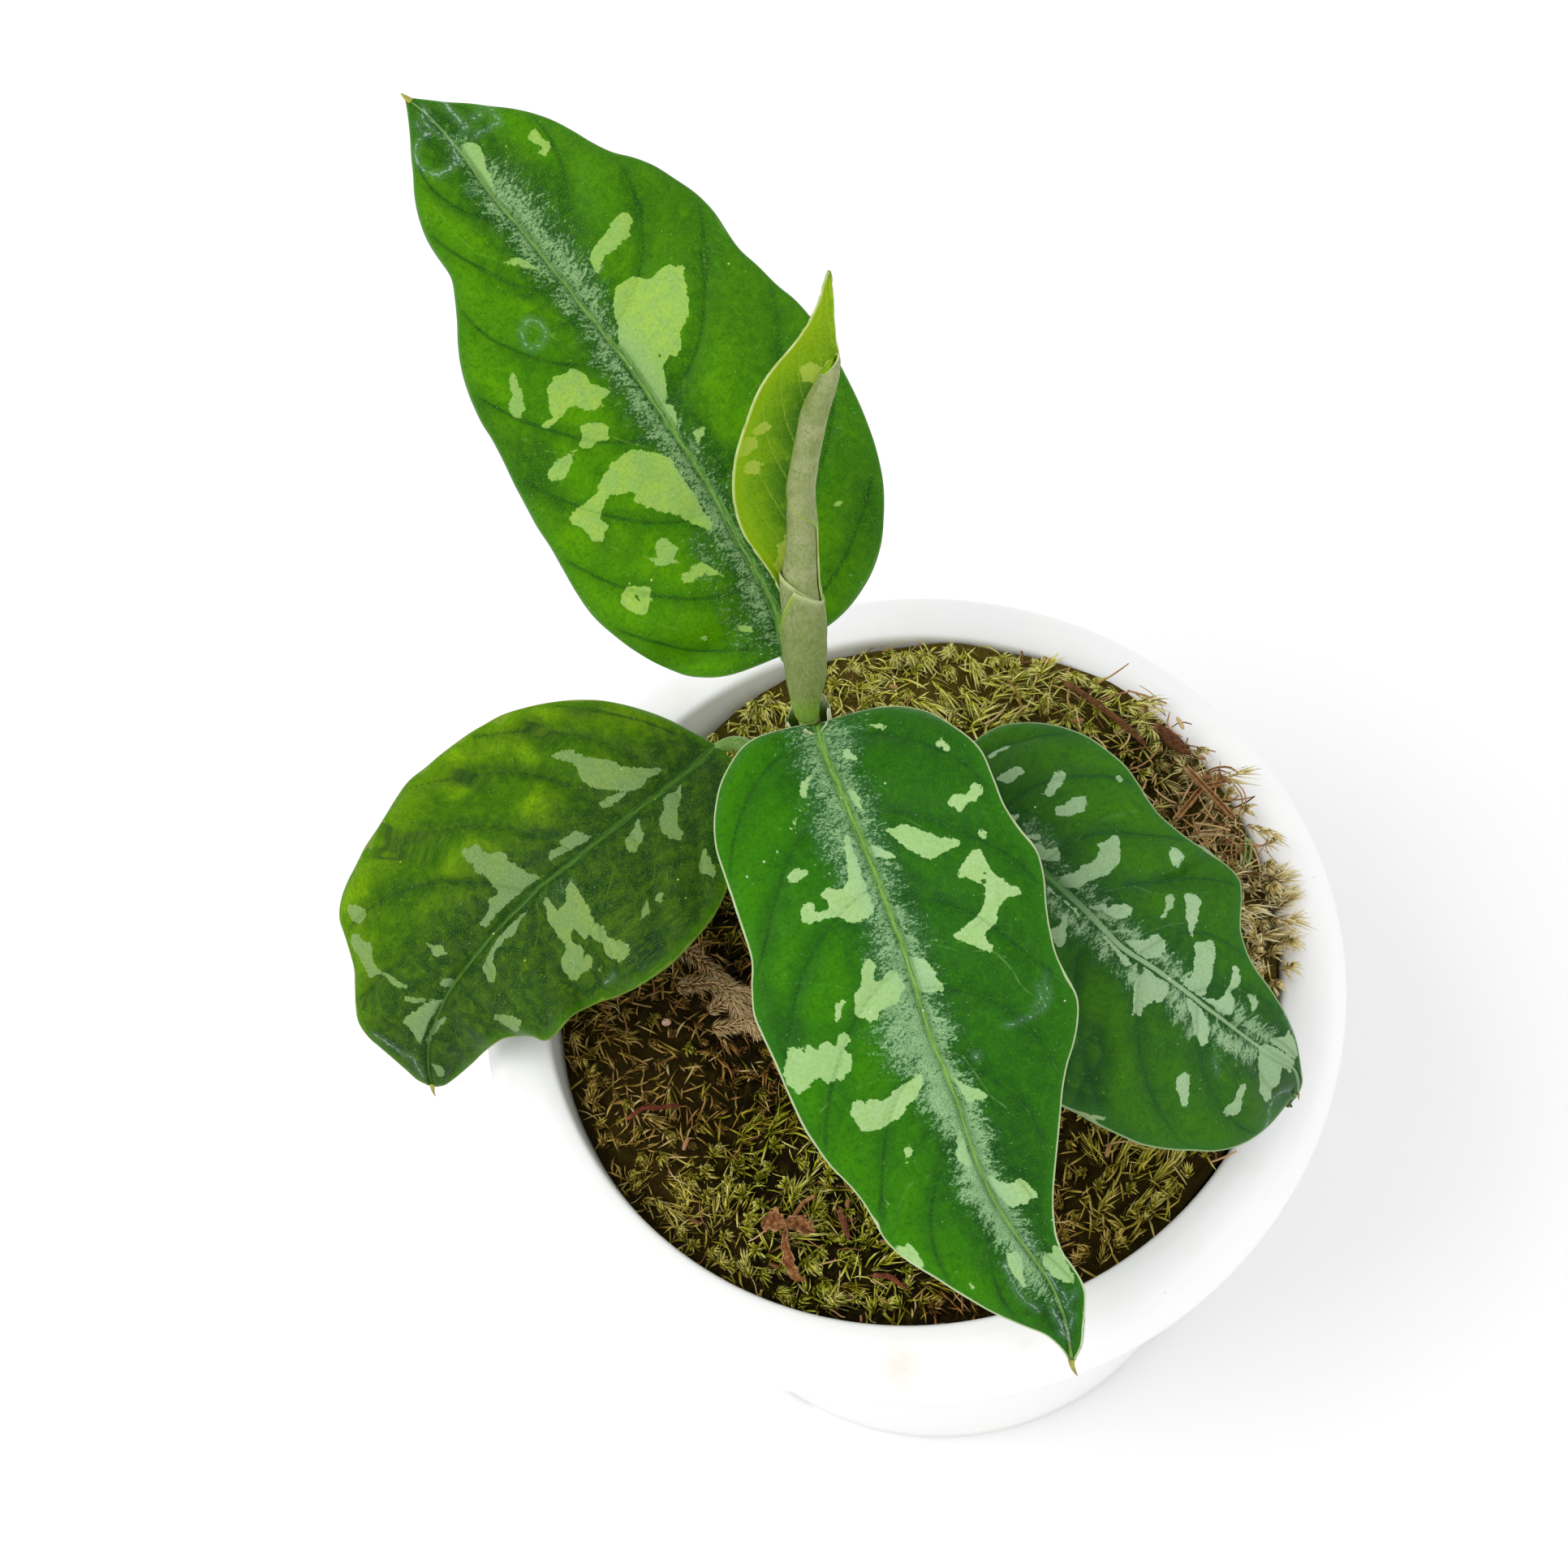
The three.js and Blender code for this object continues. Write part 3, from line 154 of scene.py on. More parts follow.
        [[9.4, 5.4, 124.1], [1.3, -0.8, 124.7], [15.2, 14.9, 123.1]],
        [[10.5, 3.5, 124.8], [0.6, -5.1, 125.9], [18.4, 14.3, 124.3]],
        [[11.5, 1.7, 125.3], [0.4, -9.1, 126.8], [21.2, 12.8, 125.8]],
        [[12.6, 0.1, 125.5], [0.6, -12.6, 127.2], [23.7, 10.8, 127.2]],
        [[13.7, -1.4, 125.7], [1.1, -15.8, 127.6], [25.7, 8.8, 128]],
        [[14.8, -3, 125.8], [1.8, -18.8, 127.7], [27.4, 6.5, 128.4]],
        [[15.9, -4.6, 125.9], [2.7, -21.4, 127.4], [28.9, 4.6, 127.9]],
        [[16.9, -6.1, 125.9], [3.8, -23.5, 126.3], [30, 2.8, 126.6]],
        [[18, -7.6, 126], [5, -25.4, 125.1], [30.8, 0.8, 125.9]],
        [[19, -9.2, 126], [6.3, -27.3, 124.2], [31.7, -1.4, 125.7]],
        [[20, -10.7, 125.9], [7.8, -29.1, 123.7], [32.9, -3.4, 126]],
        [[21, -12.2, 125.7], [9.5, -30.7, 123.3], [34.2, -5.5, 126.7]],
        [[21.9, -13.6, 125.4], [11.2, -32.2, 122.9], [35.6, -7.3, 127]],
        [[22.9, -15.1, 124.9], [13, -33.3, 121.8], [37.3, -7.3, 123.3]],
        [[23.9, -16.5, 124.4], [14.8, -34.1, 120], [38.8, -8.4, 121.9]],
        [[25.1, -17.6, 123.8], [16.5, -35.2, 118.8], [39.8, -9.8, 120.7]],
        [[26.4, -18.7, 123.3], [18.2, -36.1, 117.5], [39.6, -11.7, 120.3]],
        [[27.7, -19.8, 122.6], [20, -37, 116.1], [39.1, -13.7, 120.2]],
        [[28.8, -20.8, 121.9], [21.8, -37.9, 115.1], [38.6, -15.7, 120.1]],
        [[30.1, -22, 121.1], [23.8, -38.4, 114], [38.6, -17.7, 120.1]],
        [[31.3, -23, 120.1], [25.8, -38.7, 112.9], [38.9, -19.5, 119.7]],
        [[32.5, -24.1, 119.1], [27.9, -38.8, 111.8], [39.6, -21, 118.6]],
        [[33.7, -25, 118], [30, -38.9, 110.5], [40.5, -22.2, 117.1]],
        [[35, -26, 116.7], [32.1, -38.6, 109.2], [41.3, -23.3, 115.3]],
        [[36.3, -26.9, 115.2], [34.2, -37.8, 107.6], [42.1, -24.3, 113.1]],
        [[37.6, -27.6, 113.4], [36.3, -36.5, 105.8], [42.7, -25.3, 110.9]],
        [[39, -28.3, 111.4], [38.2, -34.9, 103.9], [43.2, -26.3, 108.4]],
        [[40.5, -28.7, 108.9], [40.1, -32.9, 101.9], [43.4, -27.5, 106.3]],
        [[42.2, -28.9, 105.7], [42, -30.7, 99.8], [43.4, -28.7, 104.5]],
        [[42.9, -29.3, 102], [41.4, -31.2, 98], [43.4, -29.5, 101.6]],
        [[42.9, -29.9, 98], [42.9, -29.9, 98], [42.9, -29.9, 98]],
    ],
}

# Markings of each blade as closed outlines or open lines of [along, across] in
# thousandths: along from base to tip, across from -1000 (left) to 1000 (right).
MARKS = {
    "A": {
        "blot": [
            [[803,715],[804,822],[799,857],[791,836],[785,797],[774,800],[769,786],[769,735],[767,692],[770,644],[780,646],[778,707],[782,737],[788,706],[797,719]],
            [[638,264],[641,325],[642,386],[639,424],[641,489],[641,553],[639,603],[635,641],[627,652],[616,609],[617,561],[612,536],[617,485],[615,439],[619,387],[622,319],[619,277],[613,224],[617,205],[629,223]],
            [[580,230],[580,262],[577,304],[574,339],[569,374],[558,394],[549,423],[545,471],[544,510],[540,551],[540,586],[532,590],[527,593],[526,636],[517,640],[506,607],[492,556],[478,501],[473,463],[472,421],[465,368],[452,327],[450,269],[456,252],[455,195],[451,166],[434,127],[414,80],[408,57],[401,83],[387,69],[374,49],[370,18],[382,16],[398,10],[409,-19],[430,-11],[455,-9],[479,-11],[501,-14],[518,23],[536,86],[552,115],[566,154]],
            [[523,-767],[531,-733],[532,-710],[523,-715],[512,-728],[501,-722],[487,-738],[480,-738],[472,-774],[468,-778],[469,-819],[478,-829],[489,-827],[496,-796],[502,-779],[511,-783]],
            [[500,-576],[504,-531],[514,-497],[511,-454],[512,-413],[516,-371],[515,-334],[507,-308],[498,-296],[486,-303],[480,-273],[472,-239],[463,-212],[460,-263],[457,-306],[451,-328],[449,-379],[450,-416],[456,-438],[464,-463],[463,-498],[463,-534],[454,-582],[449,-636],[444,-685],[446,-711],[451,-709],[456,-663],[458,-623],[466,-624],[478,-609],[488,-581]],
            [[434,-504],[434,-450],[428,-382],[423,-343],[410,-370],[401,-379],[405,-431],[401,-492],[399,-544],[404,-589],[413,-546],[418,-523],[427,-515]],
            [[403,-592],[403,-622],[401,-666],[396,-709],[397,-745],[386,-775],[384,-807],[375,-824],[368,-805],[365,-767],[369,-728],[379,-699],[387,-659],[398,-627]],
            [[375,-311],[368,-246],[359,-207],[349,-151],[337,-119],[322,-125],[295,-122],[274,-111],[251,-111],[230,-99],[222,-113],[221,-145],[234,-177],[243,-215],[261,-256],[269,-284],[275,-325],[285,-367],[294,-411],[303,-442],[309,-464],[314,-429],[321,-433],[322,-475],[324,-530],[328,-563],[319,-604],[309,-644],[300,-682],[293,-671],[288,-654],[283,-696],[272,-731],[274,-782],[284,-792],[294,-796],[300,-809],[302,-832],[312,-836],[319,-794],[325,-754],[327,-702],[333,-651],[338,-600],[344,-603],[352,-558],[361,-494],[368,-455],[369,-399],[374,-353]],
            [[243,-479],[247,-442],[245,-403],[236,-383],[225,-364],[219,-389],[215,-416],[206,-400],[211,-450],[215,-516],[222,-532],[230,-544],[225,-497],[234,-488]],
            [[192,-428],[190,-375],[195,-332],[193,-294],[189,-257],[180,-253],[169,-230],[155,-207],[164,-249],[173,-296],[177,-355],[175,-395],[180,-446]],
            [[198,-798],[206,-737],[204,-695],[200,-655],[198,-624],[192,-621],[187,-652],[178,-659],[176,-688],[168,-724],[165,-768],[168,-798],[176,-803],[181,-826],[190,-822]],
            [[116,-595],[113,-562],[107,-541],[105,-584],[113,-603]],
            [[93,-329],[88,-292],[82,-277],[76,-241],[68,-274],[75,-309],[82,-342]],
            [[350,76],[355,108],[349,122],[353,178],[343,139],[339,101],[331,75],[333,66],[342,78]],
            [[700,-445],[703,-340],[700,-253],[688,-188],[675,-145],[667,-120],[678,-201],[688,-306]],
            [[886,165],[873,312],[861,304],[850,265],[840,169],[819,122],[803,32],[822,30],[842,24],[859,-10],[872,14],[886,25]],
            [[175,631],[168,691],[165,674],[169,631]],
        ],
        "holes": [
            [[192,-731],[192,-709],[188,-700],[186,-717],[188,-736]],
            [[519,223],[517,238],[513,238],[515,222]],
            [[470,187],[468,202],[464,201],[466,186]],
            [[468,285],[466,300],[463,295],[464,280]],
        ],
        "silver": [
            [[879,-199],[850,-155],[824,-236],[784,-247],[763,-234],[741,-233],[713,-290],[686,-316],[659,-230],[643,-122],[615,-210],[587,-166],[578,-111],[541,-174],[514,-205],[478,-187],[443,-179],[418,-204],[369,-184],[297,-170],[223,-166],[192,-172],[143,-164],[127,-226],[74,-270],[40,-382],[0,-1020],[9,323],[43,13],[81,32],[158,53],[229,70],[277,68],[321,84],[340,51],[365,74],[440,18],[496,17],[544,81],[587,166],[620,235],[644,237],[668,266],[695,282],[718,311],[742,334],[773,354],[791,385],[811,355],[831,350],[850,265],[884,211],[916,70],[915,-156]],
            [[233,-281],[216,-196],[183,-200],[159,-192],[154,-298],[172,-326],[202,-330]],
            [[742,-21],[720,104],[695,108],[665,81],[668,1],[689,-152],[715,-217]],
            [[138,-303],[121,-248],[85,-242],[48,-282],[66,-412],[96,-386],[125,-386]],
        ],
        "lines": [
            [[812,-800],[763,-725],[725,-634],[700,-445],[677,-206],[651,-85],[622,-38]],
            [[606,-533],[578,-413],[550,-288],[523,-217]],
            [[560,-436],[572,-353],[568,-288]],
            [[440,315],[417,219],[392,123],[374,62]],
            [[445,-557],[423,-450],[398,-340],[365,-196]],
            [[268,-730],[248,-653],[230,-540],[201,-391]],
            [[166,-832],[136,-684],[115,-529],[87,-378]],
            [[438,-862],[415,-778],[400,-653]],
            [[515,564],[491,401],[456,238]],
        ],
        "crust": [
            [[928,-284],[919,-76],[905,-12],[888,-101],[873,-257],[865,-447],[864,-638],[873,-797],[887,-897],[906,-922],[921,-824],[928,-600],[928,-284]],
            [[888,-101],[875,-122],[868,-246],[863,-426],[860,-611],[870,-763]],
            [[943,1016],[932,728],[917,583],[905,477],[895,400]],
            [[940,1025],[927,704],[911,557],[898,410],[896,297]],
            [[887,940],[884,805],[888,721],[895,701]],
            [[898,530],[892,466],[891,326]],
            [[876,413],[872,550],[864,605],[860,704],[849,769],[855,823],[864,865]],
            [[878,992],[868,938]],
            [[954,-665],[939,-632],[930,-456],[932,-109]],
            [[970,198],[961,79],[952,-132],[943,-33]],
            [[963,-192],[949,-378],[936,-301]],
            [[823,-293],[821,-199]],
            [[603,-472],[594,-392],[577,-385],[563,-454],[559,-532],[569,-570],[587,-557],[603,-472]],
        ],
    },
    "B": {
        "blot": [
            [[602,934],[604,887],[609,843],[620,833],[634,851],[640,877],[634,905],[622,938],[613,939]],
            [[653,936],[662,873],[673,858],[674,809],[686,804],[703,815],[717,793],[725,750],[738,621],[754,520],[760,454],[768,458],[761,558],[750,636],[738,698],[731,748],[730,793],[735,852],[726,876],[713,892],[696,918],[683,957],[669,971]],
            [[674,410],[677,339],[673,282],[683,251],[691,208],[698,276],[695,332],[684,357]],
            [[474,487],[466,459],[456,439],[458,401],[466,374],[464,339],[456,321],[449,288],[454,258],[462,240],[464,187],[466,133],[471,90],[464,72],[462,37],[490,44],[507,57],[517,59],[541,54],[566,61],[589,66],[620,58],[617,94],[611,120],[590,112],[571,131],[556,167],[539,145],[529,172],[520,229],[511,256],[507,311],[497,358],[489,419],[479,470]],
            [[248,546],[238,546],[228,537],[218,492],[215,433],[205,386],[193,348],[185,305],[186,271],[172,227],[154,197],[134,158],[124,113],[140,107],[157,118],[175,99],[187,84],[204,94],[221,138],[238,184],[247,224],[253,273],[250,327],[243,378],[238,422],[240,458],[245,502]],
            [[266,163],[251,152],[229,136],[212,105],[227,93],[248,103],[269,113],[270,137]],
            [[380,126],[365,111],[346,107],[338,75],[340,60],[329,34],[344,30],[358,38],[378,51],[397,61],[410,62],[422,78],[416,106],[404,114],[383,100]],
            [[294,-145],[274,-119],[258,-114],[237,-68],[234,-82],[256,-165],[252,-193],[266,-228],[281,-232],[295,-267],[306,-234],[303,-188]],
            [[156,-47],[139,-92],[120,-81],[142,-171],[169,-237],[189,-306],[200,-361],[197,-416],[210,-456],[219,-445],[227,-383],[230,-322],[220,-230],[209,-193],[190,-160],[176,-95]],
            [[225,-708],[211,-673],[190,-653],[190,-720],[195,-762],[195,-808],[199,-849],[210,-844],[214,-792],[222,-741]],
            [[323,-599],[307,-598],[304,-622],[320,-671],[326,-631]],
            [[357,-611],[336,-580],[349,-674],[359,-659],[371,-668],[366,-628]],
            [[275,-525],[279,-571],[288,-588]],
            [[428,-110],[430,-138],[432,-201],[435,-277],[436,-334],[440,-403],[444,-460],[440,-505],[436,-520],[437,-578],[435,-619],[432,-658],[425,-686],[420,-723],[417,-757],[420,-786],[430,-796],[439,-801],[446,-797],[447,-765],[456,-730],[459,-687],[454,-643],[453,-618],[462,-590],[464,-550],[462,-511],[479,-536],[482,-471],[483,-416],[496,-439],[506,-495],[500,-538],[491,-556],[493,-596],[504,-633],[512,-664],[500,-641],[490,-631],[490,-673],[499,-730],[516,-746],[533,-748],[546,-769],[560,-763],[567,-737],[565,-694],[568,-659],[562,-603],[553,-571],[536,-541],[526,-516],[522,-476],[525,-404],[519,-336],[521,-281],[516,-228],[503,-164],[503,-131],[492,-96],[487,-112],[488,-194],[489,-239],[476,-241],[463,-229],[451,-170],[446,-137]],
            [[549,-64],[534,-60],[573,-112],[592,-157],[603,-164],[616,-120],[634,-149],[641,-130],[657,-134],[669,-178],[674,-236],[681,-267],[701,-324],[706,-286],[704,-226],[696,-144],[685,-106],[665,-97],[651,-81],[630,-78],[608,-70],[588,-70],[568,-69]],
            [[755,150],[751,120],[747,60],[760,3],[772,18],[774,63],[767,111]],
            [[786,466],[787,388],[796,237],[803,121],[804,189],[802,334],[796,421]],
            [[835,514],[828,442],[819,322],[808,219],[804,118],[802,18],[818,39],[836,68],[853,106],[875,123],[894,190],[883,275],[866,327],[846,416]],
            [[832,-116],[837,-168],[856,-103],[874,-66],[899,-23],[904,48],[893,99],[874,35],[852,-18]],
            [[765,-693],[751,-634],[730,-651],[716,-692],[706,-745],[704,-794],[723,-874],[741,-916],[742,-823],[753,-755]],
            [[938,-132],[929,-329],[933,-570],[943,-646],[954,-531],[952,-371]],
            [[496,-756],[486,-752],[488,-776],[498,-787]],
        ],
        "holes": [
            [[483,-432],[481,-487],[479,-536],[463,-524],[465,-576],[457,-616],[459,-659],[463,-694],[492,-713],[487,-636],[493,-609],[490,-572],[498,-527],[502,-488],[494,-446]],
        ],
        "silver": [
            [[449,-76],[428,-110],[432,-201],[462,-233],[489,-239],[487,-130],[490,-86]],
        ],
        "lines": [
            [[25,121],[122,296],[154,441],[196,638],[236,803],[264,895],[304,955]],
            [[99,37],[165,87],[227,144],[276,329],[323,508],[359,600],[388,705]],
            [[231,3],[327,93],[381,257],[420,457],[473,621],[531,700]],
            [[403,19],[445,164],[479,323],[544,465],[607,581],[673,734]],
            [[566,61],[628,250],[687,481],[746,658]],
            [[189,5],[239,-298],[318,-516],[412,-663]],
            [[299,28],[353,-247],[422,-422],[505,-647],[597,-780]],
            [[485,25],[543,-235],[618,-447],[718,-578]],
        ],
        "crust": [
            [[502,-879],[485,-871],[474,-862],[465,-850]],
            [[843,880],[867,840],[895,757],[918,444],[966,409]],
        ],
    },
    "C": {
        "blot": [
            [[109,757],[105,825],[108,828],[121,821],[123,790],[119,773],[115,781],[113,748]],
            [[53,511],[59,561],[64,587],[70,598],[71,555],[64,533],[55,516]],
            [[162,840],[161,890],[166,905],[172,903],[176,860],[182,838],[181,807],[181,775],[188,736],[189,683],[182,662],[178,649],[172,686],[169,714],[172,774],[168,819]],
            [[186,180],[187,251],[186,294],[191,342],[197,385],[203,424],[211,460],[217,497],[219,558],[222,596],[232,580],[232,517],[238,437],[240,396],[243,353],[237,324],[229,300],[221,263],[210,234],[196,209]],
            [[217,730],[215,773],[220,789],[226,756],[225,718]],
            [[237,674],[244,679],[262,674],[271,692],[280,713],[285,758],[293,787],[293,821],[299,849],[306,836],[306,775],[312,741],[320,692],[328,674],[334,683],[342,637],[347,597],[355,560],[361,579],[369,601],[378,577],[370,523],[367,483],[361,426],[347,334],[346,392],[342,431],[333,497],[328,546],[320,577],[312,616],[300,626],[290,623],[288,599],[283,568],[277,524],[274,476],[265,499],[255,544],[243,612]],
            [[196,-605],[190,-546],[189,-518],[194,-492],[196,-439],[203,-444],[204,-484],[204,-535],[205,-557],[202,-582]],
            [[146,-463],[137,-407],[130,-356],[141,-402],[146,-439]],
            [[175,-673],[168,-629],[163,-586],[169,-613],[175,-663]],
            [[101,-302],[95,-275],[88,-228],[83,-180],[80,-143],[89,-190],[97,-222],[106,-248],[115,-274],[114,-315]],
            [[68,144],[66,171],[70,224],[77,210],[87,230],[88,209],[80,163],[74,137]],
            [[107,40],[120,91],[130,98],[137,90],[150,93],[143,68],[131,49],[118,40]],
            [[195,13],[196,48],[205,103],[213,134],[225,169],[224,131],[218,74],[212,38],[204,18]],
            [[167,-93],[173,-81],[185,-88],[202,-86],[220,-92],[234,-100],[245,-83],[257,-91],[275,-84],[286,-96],[292,-144],[291,-187],[291,-234],[286,-273],[280,-299],[274,-315],[269,-357],[267,-403],[265,-462],[262,-503],[263,-528],[253,-584],[243,-597],[237,-573],[232,-538],[236,-489],[244,-477],[250,-486],[256,-417],[254,-383],[245,-377],[240,-394],[237,-427],[231,-403],[230,-351],[236,-299],[238,-254],[232,-199],[219,-181],[206,-168],[190,-145],[176,-118]],
            [[343,-263],[340,-230],[349,-218],[352,-201],[357,-205],[367,-252],[373,-244],[375,-189],[372,-165],[368,-123],[373,-85],[383,-83],[394,-72],[403,-69],[405,-109],[413,-127],[416,-163],[413,-196],[414,-233],[412,-286],[419,-317],[418,-364],[408,-382],[402,-430],[393,-430],[384,-407],[376,-411],[372,-386],[369,-344],[359,-320],[350,-302]],
            [[366,-530],[371,-510],[370,-465],[376,-465],[379,-494],[385,-518],[392,-550],[387,-570],[377,-544]],
            [[372,-889],[381,-854],[386,-815],[397,-822],[388,-788],[391,-757],[397,-759],[400,-734],[406,-736],[400,-704],[403,-654],[412,-631],[421,-631],[408,-584],[405,-552],[413,-516],[422,-521],[425,-564],[431,-573],[436,-551],[455,-588],[454,-638],[456,-676],[447,-699],[450,-720],[447,-757],[438,-775],[432,-798],[431,-833],[432,-867],[429,-911],[433,-942],[427,-958],[419,-958],[408,-984],[395,-982],[389,-961],[383,-923]],
            [[488,-686],[486,-665],[490,-615],[499,-599],[498,-563],[505,-512],[515,-483],[516,-443],[514,-408],[515,-326],[518,-264],[518,-196],[519,-143],[529,-159],[536,-215],[544,-268],[543,-306],[542,-360],[549,-399],[549,-447],[546,-509],[546,-545],[543,-601],[534,-657],[528,-695],[519,-709],[505,-710],[495,-706]],
            [[586,-541],[586,-485],[596,-484],[601,-509],[597,-555]],
            [[598,-574],[601,-560],[611,-564],[606,-576]],
            [[345,-38],[351,-8],[359,26],[364,41],[370,127],[378,143],[387,157],[393,176],[397,147],[405,163],[415,192],[422,164],[420,107],[418,41],[411,15],[403,4],[390,-12],[372,-18],[359,-33]],
            [[530,-5],[538,33],[551,76],[559,133],[566,213],[571,279],[579,337],[582,246],[581,176],[587,156],[581,96],[572,76],[562,67],[550,20]],
            [[621,-76],[618,-36],[633,-35],[644,-47],[659,-51],[671,-50],[667,-112],[655,-149],[644,-154],[635,-109]],
            [[676,-26],[687,1],[696,109],[702,208],[707,316],[707,439],[701,487],[699,535],[701,590],[709,650],[715,715],[725,778],[731,642],[737,564],[739,433],[745,293],[738,206],[727,135],[717,72],[704,25],[694,-3]],
            [[798,858],[799,921],[809,964],[825,942],[843,862],[860,801],[873,710],[872,563],[873,417],[869,318],[862,157],[854,106],[849,50],[830,315],[816,593],[812,730]],
            [[676,-980],[677,-944],[683,-927],[681,-895],[686,-882],[699,-887],[711,-911],[722,-943],[729,-978],[721,-1008],[707,-1010],[692,-1004],[681,-990]],
            [[802,-250],[807,-208],[807,-145],[819,-150],[829,-175],[839,-279],[846,-335],[857,-386],[856,-432],[843,-405],[833,-405],[822,-373],[809,-315]],
            [[791,-847],[796,-820],[804,-871],[797,-888]],
            [[622,-848],[626,-837],[629,-857]],
        ],
        "holes": [
            [[281,611],[281,637],[285,652],[289,633],[288,609]],
            [[273,640],[272,656],[277,651],[276,637]],
        ],
        "silver": [
            [[20,-1040],[29,-512],[50,-360],[72,-316],[88,-285],[103,-336],[116,-234],[130,-318],[150,-333],[177,-333],[192,-349],[232,-292],[260,-239],[296,-179],[328,-261],[345,-239],[378,-252],[409,-297],[433,-419],[463,-370],[485,-357],[517,-226],[539,-267],[560,-298],[589,-234],[612,-227],[626,-131],[673,-269],[690,-289],[713,-272],[734,-239],[758,-263],[786,-290],[816,-374],[858,-459],[897,-261],[895,-84],[863,56],[832,237],[794,354],[759,445],[722,334],[686,279],[656,294],[620,260],[589,194],[557,153],[527,127],[501,118],[485,189],[450,165],[424,128],[394,146],[367,142],[355,190],[326,168],[280,109],[258,143],[234,150],[204,160],[181,171],[151,173],[132,200],[99,183],[84,273],[61,382],[41,580],[13,907],[0,-1040],[12,-1040]],
        ],
        "lines": [
            [[210,-66],[156,-196],[118,-358],[108,-499]],
            [[342,-28],[348,161],[369,358],[374,582],[407,673],[442,750]],
            [[496,-10],[516,179],[579,337],[597,466]],
            [[394,-269],[350,-483],[323,-653],[305,-798]],
            [[126,50],[160,199],[184,359],[219,491]],
            [[680,-153],[646,-319],[629,-622],[641,-795]],
            [[517,-241],[485,-458],[469,-683],[467,-874]],
            [[353,268],[360,483],[384,663]],
        ],
        "crust": [
            [[417,846],[435,829],[453,794],[464,731],[471,656],[477,590],[478,536]],
            [[423,791],[441,776],[454,733]],
            [[515,276],[523,287],[515,321]],
            [[814,-390],[832,-453],[851,-527],[871,-559],[898,-514]],
            [[899,-47],[915,-26],[926,-241],[947,-236],[969,55]],
            [[886,697],[902,460],[914,195],[922,516],[944,224]],
            [[887,271],[898,364],[908,42]],
            [[908,-232],[924,-252],[939,-58],[958,-3]],
            [[860,89],[876,114],[890,140]],
            [[934,-82],[944,-387],[959,-156]],
            [[788,243],[809,164],[823,180]],
        ],
    },
    "D": {
        "blot": [
            [[77,524],[79,574],[82,635],[91,679],[98,721],[103,659],[93,632],[91,584],[86,532]],
            [[113,342],[115,391],[124,451],[134,520],[142,531],[150,498],[145,454],[142,402],[137,366],[126,353]],
            [[191,420],[197,455],[190,525],[188,605],[191,664],[202,659],[206,626],[210,568],[208,518],[211,473],[206,441],[197,438]],
            [[230,387],[225,419],[233,463],[235,521],[241,579],[248,629],[260,581],[265,534],[258,481],[250,414],[235,359]],
            [[157,149],[180,204],[184,180],[180,129],[168,128]],
            [[256,890],[259,917],[269,919],[266,890],[261,878]],
            [[328,447],[333,510],[333,576],[336,616],[350,599],[365,540],[379,499],[384,441],[383,376],[383,302],[373,229],[364,171],[362,120],[359,75],[343,40],[331,14],[314,6],[316,59],[330,122],[335,181],[335,241],[346,311],[345,372],[339,423]],
            [[214,94],[214,128],[226,162],[233,190],[241,170],[238,149],[222,117]],
            [[225,69],[241,127],[259,140],[273,199],[285,194],[295,140],[285,108],[266,67],[259,55],[250,57]],
            [[424,771],[414,833],[416,860],[435,851],[438,800],[446,743],[440,731],[431,750]],
            [[396,39],[406,84],[420,147],[428,133],[436,204],[448,263],[458,264],[470,198],[465,153],[454,112],[441,97],[426,84],[409,52]],
            [[485,482],[485,521],[494,533],[502,511],[510,464],[512,411],[519,372],[514,342],[509,351],[506,407],[498,446]],
            [[501,603],[510,652],[530,665],[537,644],[544,610],[565,572],[570,527],[583,487],[592,444],[576,468],[562,478],[543,489],[525,538],[509,568]],
            [[500,43],[515,104],[529,148],[530,209],[538,256],[546,237],[556,256],[575,182],[575,101],[568,54],[557,34],[540,38],[522,41]],
            [[598,457],[612,569],[610,614],[622,657],[647,607],[659,513],[674,427],[687,309],[699,136],[694,61],[677,55],[655,54],[640,65],[651,166],[647,246],[633,324],[619,403],[602,435]],
            [[696,77],[707,124],[720,219],[721,339],[713,485],[698,636],[685,704],[686,766],[696,757],[714,688],[723,602],[722,489],[727,423],[734,441],[749,337],[761,179],[761,107],[747,51],[721,79]],
            [[748,626],[756,732],[773,673],[778,590],[783,471],[771,510]],
            [[556,-26],[567,-27],[584,-39],[605,-35],[623,-19],[631,-65],[629,-123],[623,-144],[614,-180],[601,-163],[600,-203],[586,-252],[586,-312],[581,-316],[571,-302],[566,-261],[563,-204],[556,-143],[559,-106],[568,-58]],
            [[450,-26],[470,-21],[504,-31],[525,-35],[537,-58],[529,-83],[518,-92],[500,-61],[480,-52],[461,-45]],
            [[291,-38],[307,-50],[328,-59],[359,-40],[385,-36],[405,-66],[395,-58],[367,-55],[339,-66],[309,-71]],
            [[666,-36],[687,-30],[708,-31],[722,-61],[731,-107],[735,-172],[736,-233],[726,-284],[721,-281],[715,-243],[703,-209],[696,-163],[689,-119],[674,-79]],
            [[857,0],[858,183],[879,313],[902,495],[925,533],[935,-81],[925,-217],[919,-154],[909,-82],[905,-277],[901,-457],[887,-548],[880,-654],[865,-673],[860,-617],[851,-529],[856,-433],[858,-315],[855,-183],[855,-88]],
            [[856,339],[859,502],[863,714],[850,874],[866,897],[877,936],[891,926],[909,907],[917,647],[907,516],[886,402],[869,310]],
            [[675,-561],[690,-504],[702,-512],[704,-596],[705,-649],[699,-727],[693,-731],[687,-684],[683,-647],[677,-621]],
